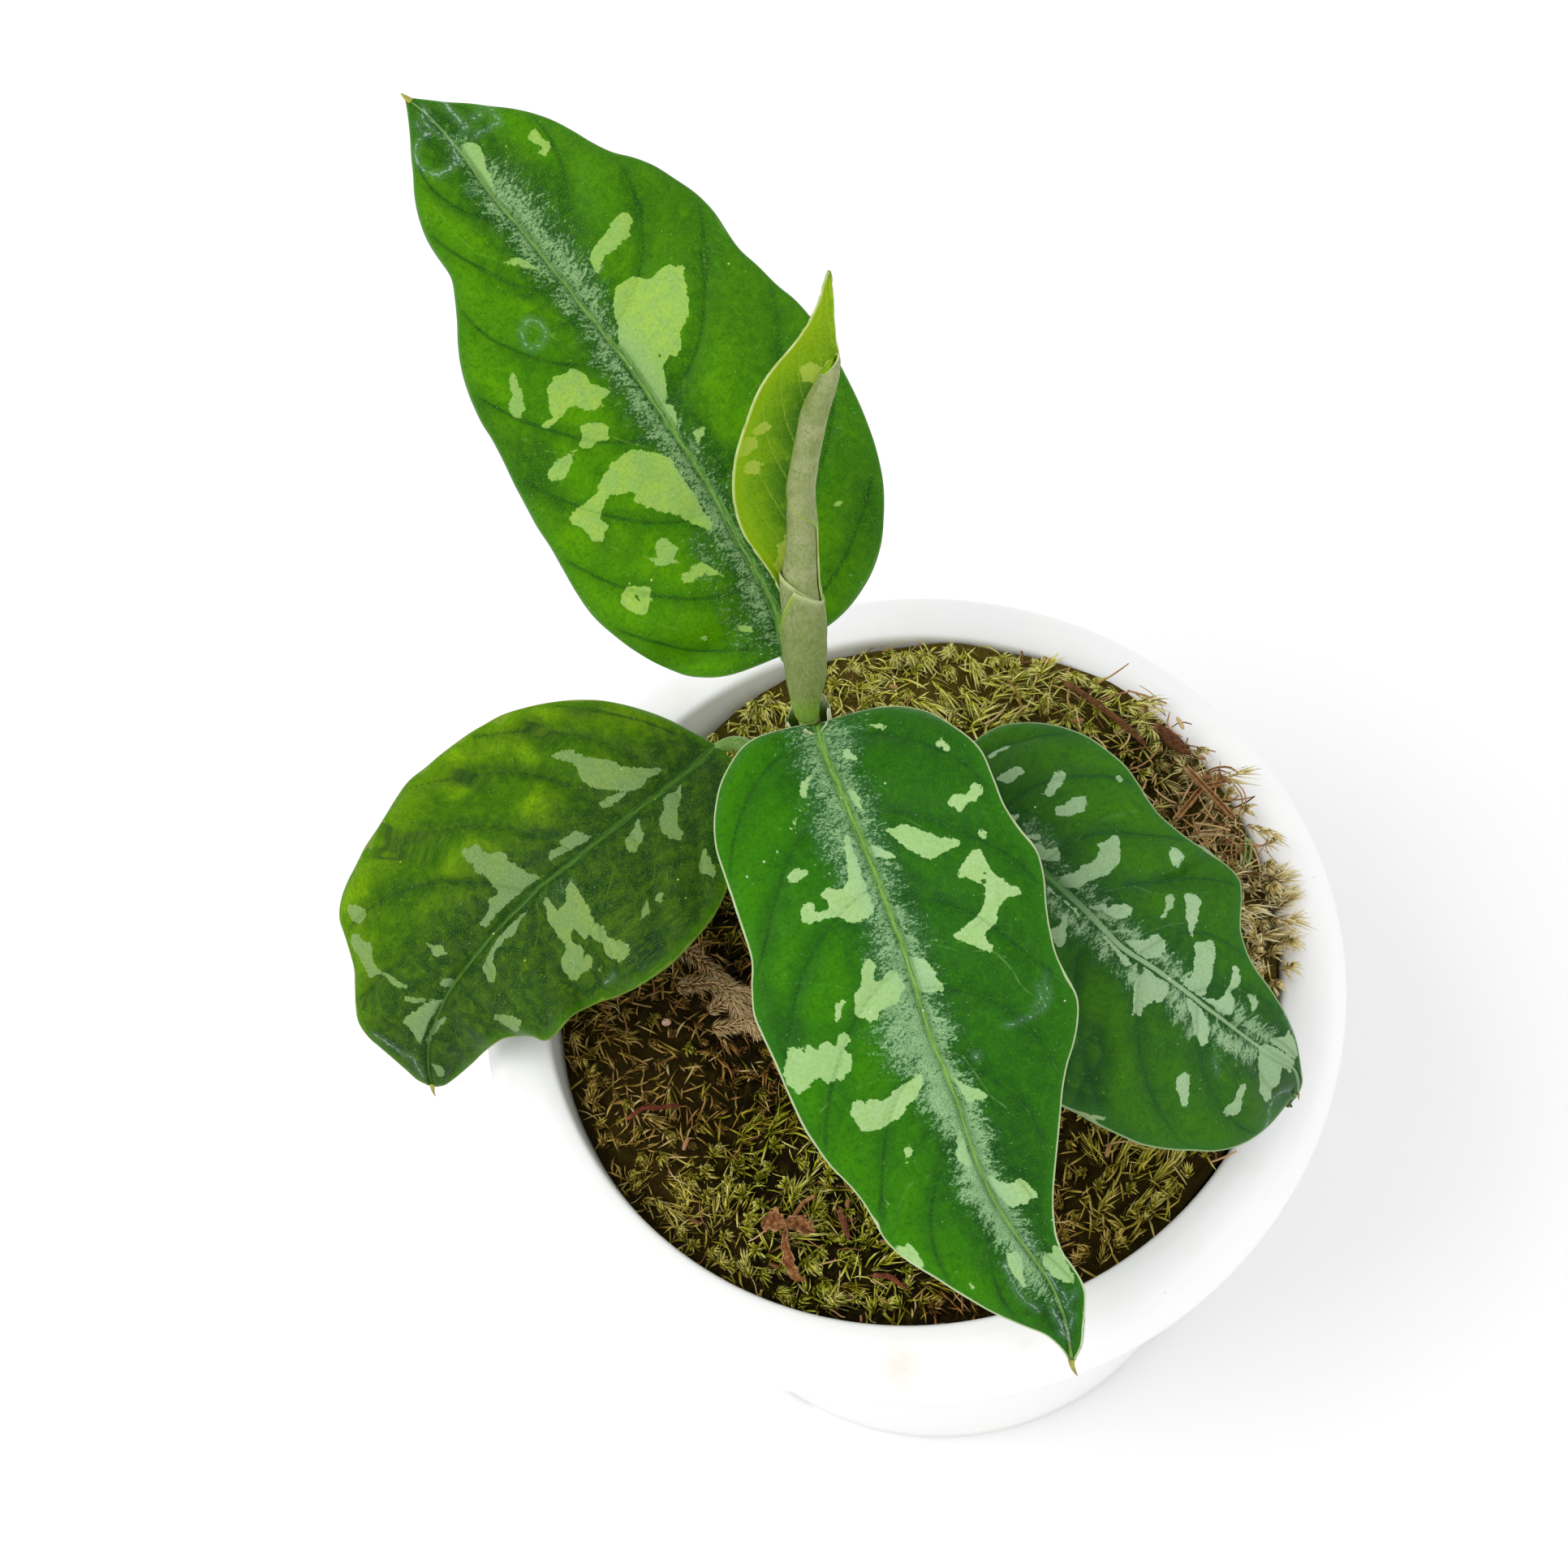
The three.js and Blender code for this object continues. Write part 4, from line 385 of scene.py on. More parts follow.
            [[803,-476],[816,-460],[817,-497],[810,-573],[808,-701],[796,-746],[783,-744],[775,-726],[781,-662],[793,-619],[800,-548]],
            [[359,-109],[371,-104],[382,-133],[383,-165],[394,-206],[395,-255],[389,-280],[375,-270],[357,-236],[370,-173],[366,-137]],
        ],
        "holes": [
        ],
        "silver": [
            [[184,171],[212,240],[245,228],[274,220],[274,156],[246,100],[208,104]],
            [[254,56],[282,121],[327,158],[331,76],[306,26],[271,20]],
            [[356,85],[376,169],[414,169],[427,97],[400,52],[372,37]],
            [[414,52],[437,115],[469,148],[498,184],[521,177],[522,92],[500,59],[468,44],[436,26]],
            [[566,105],[582,192],[620,213],[648,160],[646,4],[621,11],[587,42]],
            [[751,127],[760,323],[798,393],[836,488],[861,538],[861,148],[824,79],[784,53]],
            [[301,-90],[322,-73],[369,-62],[415,-67],[438,-105],[423,-140],[390,-149],[349,-156],[314,-141]],
            [[407,-52],[435,-30],[473,-60],[504,-86],[493,-154],[465,-146],[430,-112]],
            [[518,-92],[543,-69],[565,-95],[569,-162],[548,-167],[522,-149]],
            [[617,-24],[643,-5],[675,-42],[698,-125],[715,-232],[694,-259],[664,-207],[638,-138]],
            [[723,-84],[759,-37],[807,-27],[857,0],[868,-130],[842,-246],[800,-251],[760,-229],[732,-190]],
        ],
        "lines": [
            [[387,-29],[430,-90],[462,-214]],
            [[400,207],[434,411],[486,516],[525,748]],
            [[516,179],[536,350],[570,595]],
            [[273,79],[291,295],[301,611],[323,858]],
            [[554,-94],[593,-286],[657,-439]],
            [[714,-128],[758,-296],[810,-500]],
        ],
        "crust": [
            [[862,-1025],[865,-892],[871,-755],[886,-669],[908,-637],[931,-752]],
            [[754,-308],[751,-349],[754,-376],[758,-438]],
            [[644,-31],[650,-52]],
            [[819,974],[843,979],[866,970]],
        ],
    },
}

# ---------------------------------------------------------------- small helpers
def arr(x):
    return np.asarray(x, float)


def unit(v):
    return v / np.maximum(np.linalg.norm(v, axis=-1, keepdims=True), 1e-9)


def smooth(a, b, x):
    t = np.clip((x - a) / (b - a), 0, 1)
    return t * t * (3 - 2 * t)


def lattice(ix, iy, iz, seed):
    h = (ix * 374761393 + iy * 668265263 + iz * 2147483647 + seed * 974634777) & 0xFFFFFFFF
    h = ((h ^ (h >> 13)) * 1274126177) & 0xFFFFFFFF
    return ((h ^ (h >> 16)) & 0xFFFFFF) / float(0xFFFFFF)


def vnoise(p, seed=0):
    """Smooth value noise in -1..1 at the points p, one cell per unit."""
    p = arr(p)
    i = np.floor(p).astype(np.int64)
    f = p - i
    f = f * f * (3 - 2 * f)
    out = 0
    for a in (0, 1):
        for b in (0, 1):
            for c in (0, 1):
                w = ((f[..., 0] if a else 1 - f[..., 0]) * (f[..., 1] if b else 1 - f[..., 1])
                     * (f[..., 2] if c else 1 - f[..., 2]))
                out = out + w * lattice(i[..., 0] + a, i[..., 1] + b, i[..., 2] + c, seed)
    return out * 2 - 1


def fbm(p, octaves=4, seed=0, gain=0.5):
    total, amp, norm = 0, 1.0, 0.0
    p = arr(p)
    for k in range(octaves):
        total = total + amp * vnoise(p * 2 ** k, seed + 17 * k)
        norm += amp
        amp *= gain
    return total / norm


def mesh_object(name, verts, faces, mats, slots=None, points=None, vectors=None, uv=None, sharp=None):
    """A mesh object from vertices in mm and a list of (n, k) face arrays."""
    verts = arr(verts).reshape(-1, 3) * MM
    me = bpy.data.meshes.new(name)
    me.vertices.add(len(verts))
    me.vertices.foreach_set("co", verts.astype(np.float32).ravel())
    blocks = [np.asarray(f, np.int32) for f in faces if len(f)]
    counts = np.concatenate([np.full(len(f), f.shape[1], np.int32) for f in blocks])
    loops = np.concatenate([f.ravel() for f in blocks])
    me.loops.add(len(loops))
    me.loops.foreach_set("vertex_index", loops)
    me.polygons.add(len(counts))
    me.polygons.foreach_set("loop_start", np.concatenate([[0], np.cumsum(counts)[:-1]]).astype(np.int32))
    me.polygons.foreach_set("loop_total", counts)
    me.polygons.foreach_set("use_smooth", np.ones(len(counts), bool))
    if slots is not None:
        me.polygons.foreach_set("material_index", np.concatenate([np.full(len(f), s, np.int32) for f, s in zip(faces, slots) if len(f)]))
    me.update(calc_edges=True)
    for k, v in (points or {}).items():
        me.attributes.new(k, "FLOAT", "POINT").data.foreach_set("value", arr(v).astype(np.float32).ravel())
    for k, v in (vectors or {}).items():
        me.attributes.new(k, "FLOAT_VECTOR", "POINT").data.foreach_set("vector", arr(v).astype(np.float32).ravel())
    if uv is not None:
        layer = me.uv_layers.new(name="UVMap")
        layer.data.foreach_set("uv", arr(uv)[loops].astype(np.float32).ravel())
    if me.validate():
        print("mesh repaired:", name)
    for m in mats if isinstance(mats, (list, tuple)) else [mats]:
        me.materials.append(m)
    if sharp is not None:
        me.set_sharp_from_angle(angle=math.radians(sharp))
    ob = bpy.data.objects.new(name, me)
    bpy.context.scene.collection.objects.link(ob)
    return ob


def piece(ob, slot, *replaced):
    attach(ob, "root")
    if replaced:
        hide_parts(*replaced)
    return ob


class Parts:
    """Collects vertices, faces and point values of several shapes into one mesh."""

    def __init__(self):
        self.v, self.f, self.n, self.at = [], [], 0, {}

    def add(self, verts, faces, slot=0, closed=True, **values):
        verts = arr(verts).reshape(-1, 3)
        faces = [np.asarray(f, np.int64) for f in faces]
        slots = slot if isinstance(slot, (list, tuple)) else [slot] * len(faces)
        if closed:
            vol = 0.0
            for f in faces:
                if len(f):
                    for k in range(1, f.shape[1] - 1):
                        vol += np.einsum("ij,ij->i", verts[f[:, 0]], np.cross(verts[f[:, k]], verts[f[:, k + 1]])).sum()
            if vol < 0:
                faces = [f[:, ::-1] for f in faces]
        for f, k in zip(faces, slots):
            if len(f):
                self.f.append((f + self.n, k))
        for k in set(self.at) | set(values):
            col = np.broadcast_to(arr(values.get(k, 0.0)).ravel() if np.ndim(values.get(k, 0.0)) else arr(values.get(k, 0.0)), (len(verts),))
            self.at.setdefault(k, [np.zeros(self.n)] if self.n else []).append(col)
        self.v.append(verts)
        self.n += len(verts)

    def build(self, name, mats, **kw):
        return mesh_object(name, np.concatenate(self.v), [f for f, _ in self.f], mats,
                           slots=[s for _, s in self.f],
                           points={k: np.concatenate(c) for k, c in self.at.items()}, **kw)


def spline(points, n):
    """n points on a centripetal-like Catmull-Rom curve through rows of any width."""
    p = arr(points)
    d = np.r_[0, np.cumsum(np.sqrt(np.linalg.norm(np.diff(p[:, :3], axis=0), axis=1)) + 1e-6)]
    q = np.vstack([2 * p[0] - p[1], p, 2 * p[-1] - p[-2]])
    m = len(p) - 1
    x = np.linspace(0, d[-1], n)
    i = np.clip(np.searchsorted(d, x, side="right") - 1, 0, m - 1)
    w = ((x - d[i]) / (d[i + 1] - d[i]))[:, None]
    p0, p1, p2, p3 = q[i], q[i + 1], q[i + 2], q[i + 3]
    return 0.5 * (2 * p1 + (p2 - p0) * w + (2 * p0 - 5 * p1 + 4 * p2 - p3) * w ** 2 + (3 * p1 - p0 - 3 * p2 + p3) * w ** 3)


def frames(c, side=(0, 0, 1)):
    """Tangent, normal and binormal along a curve, without twist."""
    T = unit(np.gradient(c, axis=0))
    s = arr(side)
    if abs(T[0] @ unit(s)) > 0.95:
        s = arr((1, 0, 0))
    N = np.zeros_like(c)
    for k in range(len(c)):
        s = s - T[k] * (s @ T[k])
        s = s / np.linalg.norm(s)
        N[k] = s
    return T, N, np.cross(T, N)


def ring_faces(rows, sides, close=True):
    a = (np.arange(rows - 1)[:, None] * sides + np.arange(sides if close else sides - 1)[None]).ravel()
    j = a % sides
    b = a - j + (j + 1) % sides
    return np.stack([a, b, b + sides, a + sides], 1)


def tube(points, n=24, sides=12, flat=1.0, side=(0, 0, 1), lump=0.0, seed=0, profile=None, scale=1.0, ends=True):
    """A closed tube through [x, y, z, r] rows; returns vertices, faces, and how far along each vertex is."""
    c = spline(points, n)
    r = np.maximum(c[:, 3], 0.02) * scale
    c = c[:, :3]
    T, N, B = frames(c, side)
    a = np.arange(sides) * TAU / sides
    pr = np.ones(sides) if profile is None else profile(a)
    R = r[:, None] * pr[None]
    P = c[:, None] + N[:, None] * (R * flat * np.cos(a))[..., None] + B[:, None] * (R * np.sin(a))[..., None]
    if lump:
        k = fbm(P * (0.9 / max(r.mean(), 0.2)) + seed * 7.3, 3, seed)
        out = unit(P - c[:, None])
        P = P + out * (lump * r[:, None] * k)[..., None]
    along = np.repeat(np.linspace(0, 1, n), sides)
    V = P.reshape(-1, 3)
    F = [ring_faces(n, sides)[:, ::-1]]
    if ends:
        V = np.vstack([V, c[0] - T[0] * r[0] * 0.3, c[-1] + T[-1] * r[-1] * 0.3])
        k = np.arange(sides)
        last = (n - 1) * sides
        F.append(np.stack([k, (k + 1) % sides, np.full(sides, n * sides)], 1))
        F.append(np.stack([last + (k + 1) % sides, last + k, np.full(sides, n * sides + 1)], 1))
        along = np.r_[along, 0, 1]
    return V, F, along


def segment_distance(x, y, line, closed=False):
    line = arr(line)
    a = line
    b = np.roll(line, -1, axis=0)
    if not closed:
        a, b = a[:-1], b[:-1]
    best = np.full(x.shape, 1e9)
    for (ax, ay), (bx, by) in zip(a, b):
        dx, dy = bx - ax, by - ay
        L = dx * dx + dy * dy + 1e-12
        w = np.clip(((x - ax) * dx + (y - ay) * dy) / L, 0, 1)
        best = np.minimum(best, (x - ax - w * dx) ** 2 + (y - ay - w * dy) ** 2)
    return np.sqrt(best)


def inside(x, y, line):
    line = arr(line)
    b = np.roll(line, -1, axis=0)
    odd = np.zeros(x.shape, bool)
    for (ax, ay), (bx, by) in zip(line, b):
        if ay == by:
            continue
        odd ^= ((ay > y) != (by > y)) & (x < (bx - ax) * (y - ay) / (by - ay) + ax)
    return odd


def signed(x, y, line):
    """Distance to a closed outline, positive inside."""
    d = segment_distance(x, y, line, True)
    return np.where(inside(x, y, line), d, -d)


# ------------------------------------------------------------------- materials
def lin(rgb):
    out = []
    for c in rgb:
        c = c / 255.0
        out.append(c / 12.92 if c <= 0.04045 else ((c + 0.055) / 1.055) ** 2.4)
    return (out[0], out[1], out[2], 1.0)


class Shade:
    """Builds one node material. Plain tuples are sRGB colours in 0..255."""

    def __init__(self, name, rough=0.5, spec=0.5, **sockets):
        self.mat = bpy.data.materials.new(name)
        self.mat.use_nodes = True
        self.t = self.mat.node_tree
        self.t.nodes.clear()
        self.out = self.t.nodes.new("ShaderNodeOutputMaterial")
        self.b = self.t.nodes.new("ShaderNodeBsdfPrincipled")
        self.t.links.new(self.b.outputs["BSDF"], self.out.inputs["Surface"])
        self.b.inputs["Roughness"].default_value = rough
        self.b.inputs["Specular IOR Level"].default_value = spec
        for k, v in sockets.items():
            self.b.inputs[k.replace("_", " ")].default_value = v

    def put(self, socket, v):
        if isinstance(v, bpy.types.NodeSocket):
            self.t.links.new(v, socket)
        elif isinstance(v, (tuple, list)) and len(v) == 3 and socket.type == "RGBA":
            socket.default_value = lin(v)
        else:
            socket.default_value = v

    def attr(self, name, kind="Fac"):
        n = self.t.nodes.new("ShaderNodeAttribute")
        n.attribute_name = name
        return n.outputs[kind]

    def vec(self, name):
        return self.attr(name, "Vector")

    def obj(self):
        """Position in mm."""
        n = self.t.nodes.new("ShaderNodeTexCoord")
        return self.scale(n.outputs["Object"], (1000, 1000, 1000))

    def scale(self, v, s, shift=(0, 0, 0)):
        n = self.t.nodes.new("ShaderNodeMapping")
        self.put(n.inputs["Vector"], v)
        n.inputs["Scale"].default_value = s
        n.inputs["Location"].default_value = shift
        return n.outputs["Vector"]

    def m(self, op, a, b=0.0, c=0.0, clamp=False):
        n = self.t.nodes.new("ShaderNodeMath")
        n.operation = op
        n.use_clamp = clamp
        self.put(n.inputs[0], a)
        self.put(n.inputs[1], b)
        if op in ("MULTIPLY_ADD", "COMPARE", "SMOOTH_MIN", "SMOOTH_MAX"):
            self.put(n.inputs[2], c)
        return n.outputs[0]

    def add(self, a, b): return self.m("ADD", a, b)
    def sub(self, a, b): return self.m("SUBTRACT", a, b)
    def mul(self, a, b): return self.m("MULTIPLY", a, b)

    def step(self, a, b, x, lo=0.0, hi=1.0):
        """x from a..b smoothly to lo..hi."""
        n = self.t.nodes.new("ShaderNodeMapRange")
        n.interpolation_type = "SMOOTHSTEP"
        self.put(n.inputs["Value"], x)
        self.put(n.inputs["From Min"], a)
        self.put(n.inputs["From Max"], b)
        self.put(n.inputs["To Min"], lo)
        self.put(n.inputs["To Max"], hi)
        return n.outputs["Result"]

    def xyz(self, x, y, z=0.0):
        n = self.t.nodes.new("ShaderNodeCombineXYZ")
        for i, v in enumerate((x, y, z)):
            self.put(n.inputs[i], v)
        return n.outputs["Vector"]

    def noise(self, v, scale, detail=3.0, rough=0.5, distort=0.0, kind="FBM"):
        n = self.t.nodes.new("ShaderNodeTexNoise")
        n.noise_dimensions = "3D"
        n.noise_type = kind
        self.put(n.inputs["Vector"], v)
        n.inputs["Scale"].default_value = scale
        n.inputs["Detail"].default_value = detail
        n.inputs["Roughness"].default_value = rough
        n.inputs["Distortion"].default_value = distort
        return n.outputs["Fac"]

    def cells(self, v, scale, feature="F1", out="Distance", random=1.0):
        n = self.t.nodes.new("ShaderNodeTexVoronoi")
        n.feature = feature
        self.put(n.inputs["Vector"], v)
        n.inputs["Scale"].default_value = scale
        n.inputs["Randomness"].default_value = random
        return n.outputs[out]

    def mix(self, f, a, b, blend="MIX"):
        n = self.t.nodes.new("ShaderNodeMix")
        n.data_type = "RGBA"
        n.blend_type = blend
        n.clamp_factor = True
        self.put(n.inputs[0], f)
        self.put(n.inputs[6], a)
        self.put(n.inputs[7], b)
        return n.outputs[2]

    def ramp(self, f, *stops):
        n = self.t.nodes.new("ShaderNodeValToRGB")
        r = n.color_ramp
        while len(r.elements) < len(stops):
            r.elements.new(0.5)
        for e, (p, c) in zip(r.elements, stops):
            e.position = p
            e.color = lin(c)
        self.put(n.inputs["Fac"], f)
        return n.outputs["Color"]

    def split(self, v, k):
        n = self.t.nodes.new("ShaderNodeSeparateXYZ")
        self.put(n.inputs[0], v)
        return n.outputs[k]

    def bump(self, h, dist, strength=1.0, after=None):
        n = self.t.nodes.new("ShaderNodeBump")
        n.inputs["Strength"].default_value = strength
        n.inputs["Distance"].default_value = dist * MM
        self.put(n.inputs["Height"], h)
        if after is not None:
            self.put(n.inputs["Normal"], after)
        return n.outputs["Normal"]

    def done(self, colour, rough=None, normal=None):
        self.put(self.b.inputs["Base Color"], colour)
        if rough is not None:
            self.put(self.b.inputs["Roughness"], rough)
        if normal is not None:
            self.put(self.b.inputs["Normal"], normal)
        return self.mat


def _add_vec(self, v, f, k):
    """v pushed along its diagonal by the value f times k."""
    n = self.t.nodes.new("ShaderNodeVectorMath")
    n.operation = "MULTIPLY_ADD"
    n.inputs[0].default_value = (k, k * 0.6, 0)
    c = self.t.nodes.new("ShaderNodeCombineXYZ")
    for i in range(3):
        self.put(c.inputs[i], f)
    self.put(n.inputs[1], c.outputs[0])
    self.put(n.inputs[2], v)
    return n.outputs[0]


Shade.add_vec = _add_vec


# ---------------------------------------------------------------- leaf surfaces
def column(rows, k, t):
    n = len(rows) - 1
    f = np.clip(t, 0, 1) * n
    i = np.minimum(np.floor(f).astype(int), n - 1)
    w = (f - i)[..., None]
    p0, p1, p2, p3 = [rows[np.clip(i + d, 0, n), k] for d in (-1, 0, 1, 2)]
    return 0.5 * (2 * p1 + (p2 - p0) * w + (2 * p0 - 5 * p1 + 4 * p2 - p3) * w ** 2 + (3 * p1 - p0 - 3 * p2 + p3) * w ** 3)


def blade_point(rows, t, s):
    w = np.abs(s)[..., None]
    m = column(rows, 0, t)
    e = np.where((s < 0)[..., None], column(rows, 1, t), column(rows, 2, t))
    T = unit(column(rows, 0, np.minimum(t + 0.02, 1)) - column(rows, 0, np.maximum(t - 0.02, 0)))
    k = (m + e) * 0.5 - 0.1 * np.linalg.norm(e - m, axis=-1, keepdims=True) * T
    return m * (1 - w) ** 2 + k * 2 * w * (1 - w) + e * w * w


class Blade:
    """One leaf blade. Flat coordinates (u across, v along, in mm) carry its markings."""

    def __init__(self, key, crown, veins, lean=(0.03, 0.12)):
        self.rows = arr(LEAVES[key])
        self.marks = MARKS[key]
        self.crown = crown
        tt = np.linspace(0, 1, 401)
        mid = column(self.rows, 0, tt)
        self.tt = tt
        self.arc = np.r_[0, np.cumsum(np.linalg.norm(np.diff(mid, axis=0), axis=1))]
        self.length = self.arc[-1]
        self.veins = []
        for side, ts in zip((-1, 1), veins):
            for t0 in ts:
                q = np.linspace(0, 0.96, 22)
                self.veins.append(self.flat(np.clip(t0 + lean[0] * q + lean[1] * q ** 2.2, 0, 0.995), side * q))
        self.rim = [self.flat(np.linspace(0.0, 1, 160), np.full(160, float(e))) for e in (-1, 1)]

    def frame(self, t, s):
        t, s = np.broadcast_arrays(arr(t), arr(s))
        d = 0.01
        p = blade_point(self.rows, t, s)
        dt = blade_point(self.rows, np.minimum(t + d, 1), s) - blade_point(self.rows, np.maximum(t - d, 0), s)
        ds = blade_point(self.rows, t, np.minimum(s + 0.05, 1)) - blade_point(self.rows, t, np.maximum(s - 0.05, -1))
        N = unit(np.cross(ds, dt))
        N = np.where(N[..., 2:] < 0, -N, N)
        half = self.half(t, s)
        a = np.abs(s)
        return p + N * (self.crown * half * 4 * a * (1 - a))[..., None], N, half

    def half(self, t, s):
        e = np.where((s < 0)[..., None], column(self.rows, 1, t), column(self.rows, 2, t))
        return np.linalg.norm(e - column(self.rows, 0, t), axis=-1)

    def flat(self, t, s):
        t, s = np.broadcast_arrays(arr(t), arr(s))
        p = blade_point(self.rows, t, s)
        m = column(self.rows, 0, t)
        T = unit(column(self.rows, 0, np.minimum(t + 0.01, 1)) - column(self.rows, 0, np.maximum(t - 0.01, 0)))
        along = ((p - m) * T).sum(-1)
        across = np.linalg.norm(p - m - along[..., None] * T, axis=-1) * np.where(s < 0, -1, 1)
        return np.stack([across, np.interp(t, self.tt, self.arc) + along], -1)

    def outline(self, poly):
        q = arr(poly) / 1000
        return self.flat(q[:, 0], q[:, 1])

    def field(self, t, s):
        """The values that the leaf's material reads, at each (t, s)."""
        f = self.flat(t, s)
        x, y = f[..., 0], f[..., 1]
        blot = np.full(x.shape, -9.0)
        tint = np.zeros(x.shape)
        for k, poly in enumerate(self.marks["blot"]):
            d = signed(x, y, self.outline(poly))
            near = d > -1.5
            tint = np.where(near & (d > blot), (k * 0.618) % 1, tint)
            blot = np.maximum(blot, d)
        for poly in self.marks["holes"]:
            blot = np.minimum(blot, -signed(x, y, self.outline(poly)))
        silv = np.full(x.shape, -9.0)
        for poly in self.marks["silver"]:
            silv = np.maximum(silv, signed(x, y, self.outline(poly)))
        line = np.full(x.shape, 9.0)
        for poly in self.marks["lines"]:
            line = np.minimum(line, segment_distance(x, y, self.outline(poly)))
        crust = np.full(x.shape, 9.0)
        for poly in self.marks["crust"]:
            crust = np.minimum(crust, segment_distance(x, y, self.outline(poly)))
        vein = np.full(x.shape, 9.0)
        for v in self.veins:
            same = (np.sign(x) == np.sign(v[-1, 0])) | (np.abs(x) < 0.2)
            vein = np.where(same, np.minimum(vein, segment_distance(x, y, v)), vein)
        edge = np.full(x.shape, 99.0)
        for r in self.rim:
            edge = np.minimum(edge, segment_distance(x, y, r))
        return dict(blot=blot, tint=tint, silv=silv, line=line, crust=crust, vein=vein, edge=edge,
                    mid=np.abs(x), along=np.broadcast_to(t, x.shape)), f


def build_blade(name, blade, mats, nt=200, ns=56, thick=0.5, seed=1, tip=None, nb=14):
    tt = 0.006 + (0.998 - 0.006) * (np.linspace(0, 1, nt + 1) ** 1.0)
    sa = np.linspace(-1, 1, 2 * ns + 1)
    ss = np.sign(sa) * (0.35 * np.abs(sa) + 0.65 * np.abs(sa) ** 1.25)
    T, S = np.meshgrid(tt, ss, indexing="ij")
    P, N, half = blade.frame(T, S)
    data, F = blade.field(T, S)
    wide = 0.95 * (1 - T) ** 0.8 + 0.24
    d = data["mid"]
    # midrib channel, sunken lateral veins with the tissue quilted between them
    lift = -0.26 * np.exp(-(d / wide) ** 2) * smooth(0.0, 0.04, T) + 0.07 * np.exp(-((d - wide * 1.7) / (0.8 * wide)) ** 2) + 0.07 * np.exp(-(d / (0.35 * wide)) ** 2)
    fade = smooth(0.0, 1.0, d) * smooth(0.0, 2.0, data["edge"])
    lift += fade * (-0.30 * np.exp(-(data["vein"] / 0.60) ** 2) + 0.24 * smooth(0.5, 3.4, data["vein"]))
    G = np.stack([F[..., 0], F[..., 1], np.zeros_like(T)], -1)
    lift += fade * (0.20 * fbm(G * 0.22 + seed, 2, seed) + 0.055 * fbm(G * 0.9 + seed, 2, seed + 3))
    # the margin is drawn down a little and slightly rolled
    lift -= 0.16 * (1 - smooth(0.0, 0.9, data["edge"]))
    top = P + N * lift[..., None]
    # underside: the same sheet a leaf's thickness below, with a keeled midrib and raised veins
    sb = np.linspace(-1, 1, 2 * nb + 1)
    sb = np.sign(sb) * np.abs(sb) ** 1.7
    pick = np.abs(ss[None, :] - sb[:, None]).argmin(1)
    pick[0], pick[-1] = 0, 2 * ns
    keel = (0.95 * (1 - tt) ** 0.8 + 0.10)[:, None] * np.exp(-(data["mid"][:, pick] / (0.75 * wide[:, pick])) ** 2)
    body = thick * (1 - 0.45 * np.abs(ss[pick]) ** 3)[None] + keel + 0.10 * np.exp(-(data["vein"][:, pick] / 0.5) ** 2)
    low = top[:, pick] - N[:, pick] * body[..., None]
    w, wb = 2 * ns + 1, len(pick)
    i = np.arange(nt)[:, None]
    j = np.arange(w - 1)[None]
    a = (i * w + j).ravel()
    quads_top = np.stack([a, a + w, a + w + 1, a + 1], 1)
    off = (nt + 1) * w
    j = np.arange(wb - 1)[None]
    b = (off + i * wb + j).ravel()
    quads_low = np.stack([b, b + 1, b + wb + 1, b + wb], 1)
    k = np.arange(nt)
    left = np.stack([k * w, off + k * wb, off + (k + 1) * wb, (k + 1) * w], 1)
    right = np.stack([k * w + w - 1, (k + 1) * w + w - 1, off + (k + 1) * wb + wb - 1, off + k * wb + wb - 1], 1)
    caps = []
    for row, flip in ((0, False), (nt, True)):
        for q in range(wb - 1):
            line = list(range(row * w + pick[q], row * w + pick[q + 1] + 1))
            lowq = [off + row * wb + q + 1, off + row * wb + q]
            # a fan keeps every face small
            for x0, x1 in zip(line[:-1], line[1:]):
                caps.append((x0, x1, lowq[1]) if not flip else (x1, x0, lowq[1]))
            caps.append((line[-1], lowq[0], lowq[1]) if not flip else (lowq[0], line[-1], lowq[1]))
    V = np.vstack([top.reshape(-1, 3), low.reshape(-1, 3)])
    pts = {k2: np.concatenate([v.ravel(), v[:, pick].ravel()]) for k2, v in data.items()}
    flat = np.concatenate([F.reshape(-1, 2), F[:, pick].reshape(-1, 2)])
    parts = Parts()
    parts.add(V, [quads_top, quads_low, np.vstack([left, right]), np.asarray(caps)], [0, 1, 2, 2], **pts)
    fl = [np.c_[flat, np.zeros(len(flat))]]
    if tip is not None:
        tv, tf, al = tube(tip, n=12, sides=10, flat=0.6)
        parts.add(tv, tf, 3, along=al)
        fl.append(tv[:, :3] * 1.0)
    flat3 = np.concatenate(fl)
    return parts.build(name, mats, vectors={"flat": flat3}, uv=flat3[:, :2] / 120 + 0.5)


